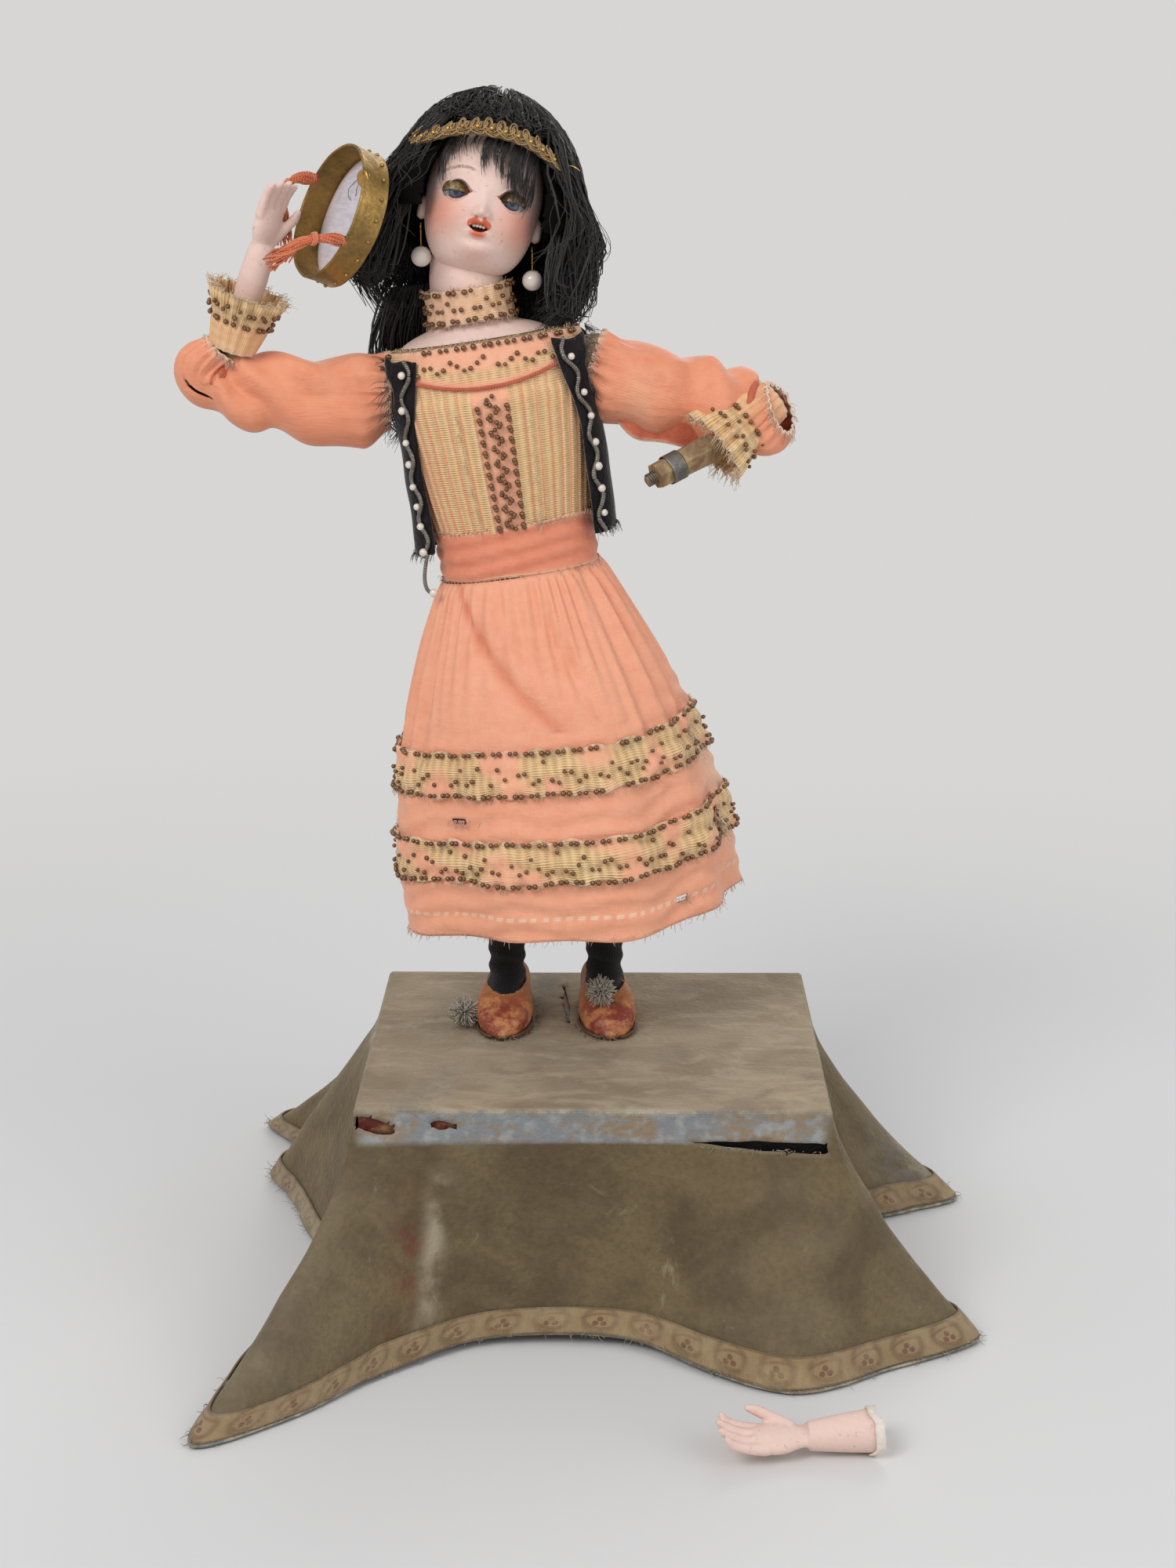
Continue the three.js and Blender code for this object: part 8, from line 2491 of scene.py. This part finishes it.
def make_pompoms():
    """Brush-like pompoms of cut silk yarn, each with a tie."""
    spots = {"right": np.array([-60.7, 9.4, 112.3]), "left": np.array([2.9, 2.0, 125.7])}
    for side, centre in spots.items():
        rng = np.random.default_rng(181 if side == "right" else 182)
        count = 460
        way = unit(rng.normal(size=(count, 3)) * (1, 0.8, 1))
        reach = 7.0 * rng.uniform(0.72, 1.05, count)
        t = np.linspace(0, 1, 4)
        bend = rng.normal(0, 0.12, (count, 3))
        paths = centre + (way[:, None] * t[:, None] + bend[:, None] * (t * t)[:, None]) * reach[:, None, None]
        paths[..., 2] = np.maximum(paths[..., 2], SOLE + 0.4)
        heap = Heap()
        heap.tubes(paths, 0.3, sides=3, tone=rng.random((count, 1)))
        angle = np.linspace(0, FULL, 30)
        tie = centre + 2.4 * xyz(np.cos(angle), 0.4 * np.sin(angle), np.sin(angle))
        heap.tubes(tie[None], 0.5, sides=5, tone=0.9)
        heap.build(f"{side}_pompom_silk", yarn_finish("Pompom silk"),
                   body="root", slot="silk", replaces=(f"{side}_pompom",))


# What the frame keeps: case, clockwork and hidden body

KEPT = {
    "red": ["case_front", "case_back", "case_right_side", "case_left_side", "top_board", "bottom_board"],
    "old_wood": ["movement_bed", "pelvis_block", "body_core", "neck_joint", "right_upper_arm",
                 "left_upper_arm", "left_forearm_peg"],
    "brass": ["right_plate", "left_plate", "winding_key", "spring_barrel", "music_cylinder", "sway_push_rod",
              "arm_push_rod"],
    "steel": ["music_comb", "winding_arbor", "fly_governor", "sway_lever", "arm_lever"],
}


def dress_frame():
    """Gives the frame's own pieces their wood and metal."""
    finishes = {
        "red": wood_finish("Red painted wood"),
        "old_wood": wood_finish("Old wood"),
        "brass": metal_finish("Works brass"),
        "steel": metal_finish("Works steel"),
    }
    for kind, names in KEPT.items():
        for name in names:
            node = NODES[name]
            for place in node.material_slots:
                place.link = "OBJECT"
                place.material = finishes[kind]


# Stage


def make_stage():
    """A pale floor, soft lamps and the camera at the photograph's place."""
    heap = Heap()
    radius, turns = np.meshgrid([0.02, 0.3, 1.0, 2.2, 4.0], np.arange(96) / 96, indexing="ij")
    place = 1000 * xyz(radius * np.cos(turns * FULL), radius * np.sin(turns * FULL), 0) - (0, 0, 0.6)
    heap.grid(place, wrap=True, caps=(True, False), out=True)
    floor = heap.build("floor", floor_finish(), body="root")

    scene = bpy.context.scene
    scene.view_settings.view_transform = "Standard"
    world = bpy.data.worlds.new("Studio")
    world.use_nodes = True
    scene.world = world
    t = Tree(world.node_tree)
    path = t.add("LightPath").outputs
    seen = t.most(path["Is Camera Ray"], path["Is Glossy Ray"], path["Is Transmission Ray"])
    back = world.node_tree.nodes["Background"]
    t.plug(back.inputs["Color"], t.mix(seen, (0.93, 0.95, 1.0), BACKDROP))
    t.plug(back.inputs["Strength"], t.plus(0.52, t.mul(seen, 0.42)))

    for name, place, aim, size, power in (
            ("key", (-0.9, -1.3, 1.5), (0, 0, 0.25), 0.9, 19),
            ("fill", (1.3, -1.0, 1.0), (0, 0, 0.25), 1.2, 8),
            ("back", (0.4, 1.4, 1.3), (0, 0, 0.3), 1.0, 8)):
        lamp = bpy.data.lights.new(name, "AREA")
        lamp.size = size
        lamp.energy = power
        holder = bpy.data.objects.new(name, lamp)
        holder.location = place
        holder.rotation_euler = (Vector(aim) - Vector(place)).to_track_quat("-Z", "Y").to_euler()
        scene.collection.objects.link(holder)

    camera = bpy.data.cameras.new("camera")
    camera.sensor_fit = "VERTICAL"
    camera.sensor_height = 36
    camera.lens = 54
    camera.clip_start = 0.05
    camera.clip_end = 30
    holder = bpy.data.objects.new("camera", camera)
    holder.location = (0.0071, -1.0195, 0.504)
    holder.rotation_euler = (math.radians(90 - 15.287), 0, math.radians(0.56))
    scene.collection.objects.link(holder)
    scene.camera = holder


# Operators and panel


class Maker:
    """What every operator here shares."""

    bl_options = {"REGISTER", "UNDO"}


class DOLL_OT_drape(Maker, bpy.types.Operator):
    """Lay the velvet drape over the case"""

    bl_idname = "doll.drape"
    bl_label = "Velvet drape"

    def execute(self, context):
        make_drape()
        return {"FINISHED"}


class DOLL_OT_trim(Maker, bpy.types.Operator):
    """Sew the galloon along the drape's hem"""

    bl_idname = "doll.trim"
    bl_label = "Galloon trim"

    def execute(self, context):
        make_trim()
        return {"FINISHED"}


class DOLL_OT_skirt(Maker, bpy.types.Operator):
    """Make the skirt and its two ribbon bands"""

    bl_idname = "doll.skirt"
    bl_label = "Skirt and bands"

    def execute(self, context):
        make_skirt()
        make_band("upper", BANDS["upper"], 201)
        make_band("lower", BANDS["lower"], 221)
        return {"FINISHED"}


class DOLL_OT_bodice(Maker, bpy.types.Operator):
    """Make the bodice and the sash"""

    bl_idname = "doll.bodice"
    bl_label = "Bodice and sash"

    def execute(self, context):
        make_bodice()
        make_sash()
        return {"FINISHED"}


class DOLL_OT_vest(Maker, bpy.types.Operator):
    """Make the velvet vest with its strings of beads"""

    bl_idname = "doll.vest"
    bl_label = "Velvet vest"

    def execute(self, context):
        make_vest()
        return {"FINISHED"}


class DOLL_OT_collar(Maker, bpy.types.Operator):
    """Make the shoulder plate and the beaded choker"""

    bl_idname = "doll.collar"
    bl_label = "Shoulder plate and choker"

    def execute(self, context):
        make_plate()
        make_collar()
        return {"FINISHED"}


class DOLL_OT_head(Maker, bpy.types.Operator):
    """Make the head, its sleeping eyes and teeth"""

    bl_idname = "doll.head"
    bl_label = "Head"

    def execute(self, context):
        make_head()
        make_eyes()
        return {"FINISHED"}


class DOLL_OT_hair(Maker, bpy.types.Operator):
    """Make the wig, the long hair, the headband and the earrings"""

    bl_idname = "doll.hair"
    bl_label = "Hair and headdress"

    def execute(self, context):
        make_wig()
        make_hair_fall()
        make_headband()
        make_earrings()
        return {"FINISHED"}


class DOLL_OT_sleeves(Maker, bpy.types.Operator):
    """Make both sleeves and both frilled cuffs"""

    bl_idname = "doll.sleeves"
    bl_label = "Sleeves and cuffs"

    def execute(self, context):
        make_sleeves()
        make_cuffs()
        return {"FINISHED"}


class DOLL_OT_hands(Maker, bpy.types.Operator):
    """Make the right hand, the broken-off left hand and the fittings of the left peg"""

    bl_idname = "doll.hands"
    bl_label = "Hands and peg"

    def execute(self, context):
        make_right_hand()
        make_loose_hand()
        make_peg()
        return {"FINISHED"}


class DOLL_OT_tambourine(Maker, bpy.types.Operator):
    """Make the tambourine, its jingle and its yarn tassels"""

    bl_idname = "doll.tambourine"
    bl_label = "Tambourine"

    def execute(self, context):
        make_tambourine()
        make_tassels()
        return {"FINISHED"}


class DOLL_OT_legs(Maker, bpy.types.Operator):
    """Make the stockings, shoes and pompoms"""

    bl_idname = "doll.legs"
    bl_label = "Legs and shoes"

    def execute(self, context):
        make_legs()
        make_shoes()
        make_pompoms()
        return {"FINISHED"}


class DOLL_OT_frame(Maker, bpy.types.Operator):
    """Give the frame's wood and metal their materials"""

    bl_idname = "doll.frame"
    bl_label = "Case and clockwork"

    def execute(self, context):
        dress_frame()
        return {"FINISHED"}


class DOLL_OT_stage(Maker, bpy.types.Operator):
    """Set up the floor, the lamps and the camera"""

    bl_idname = "doll.stage"
    bl_label = "Stage"

    def execute(self, context):
        make_stage()
        return {"FINISHED"}


OPERATORS = (DOLL_OT_frame, DOLL_OT_drape, DOLL_OT_trim, DOLL_OT_legs, DOLL_OT_skirt, DOLL_OT_bodice,
             DOLL_OT_vest,
             DOLL_OT_collar, DOLL_OT_head, DOLL_OT_hair, DOLL_OT_sleeves, DOLL_OT_hands, DOLL_OT_tambourine,
             DOLL_OT_stage)


class DOLL_PT_panel(bpy.types.Panel):
    """Sizes, colours and makers of the doll's dressing"""

    bl_idname = "DOLL_PT_panel"
    bl_label = "Automaton doll"
    bl_space_type = "VIEW_3D"
    bl_region_type = "UI"
    bl_category = "Doll"

    def draw(self, context):
        for name in DollLooks.__annotations__:
            self.layout.prop(context.scene.doll_looks, name)
        for operator in OPERATORS:
            self.layout.operator(operator.bl_idname)


CLASSES = (DollLooks, *OPERATORS, DOLL_PT_panel)


def register():
    for kind in CLASSES:
        bpy.utils.register_class(kind)
    bpy.types.Scene.doll_looks = bpy.props.PointerProperty(type=DollLooks)


def unregister():
    del bpy.types.Scene.doll_looks
    for kind in reversed(CLASSES):
        bpy.utils.unregister_class(kind)


def main():
    register()
    for operator in OPERATORS:
        getattr(bpy.ops.doll, operator.bl_idname.split(".")[1])()
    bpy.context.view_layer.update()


if __name__ == "__main__":
    main()
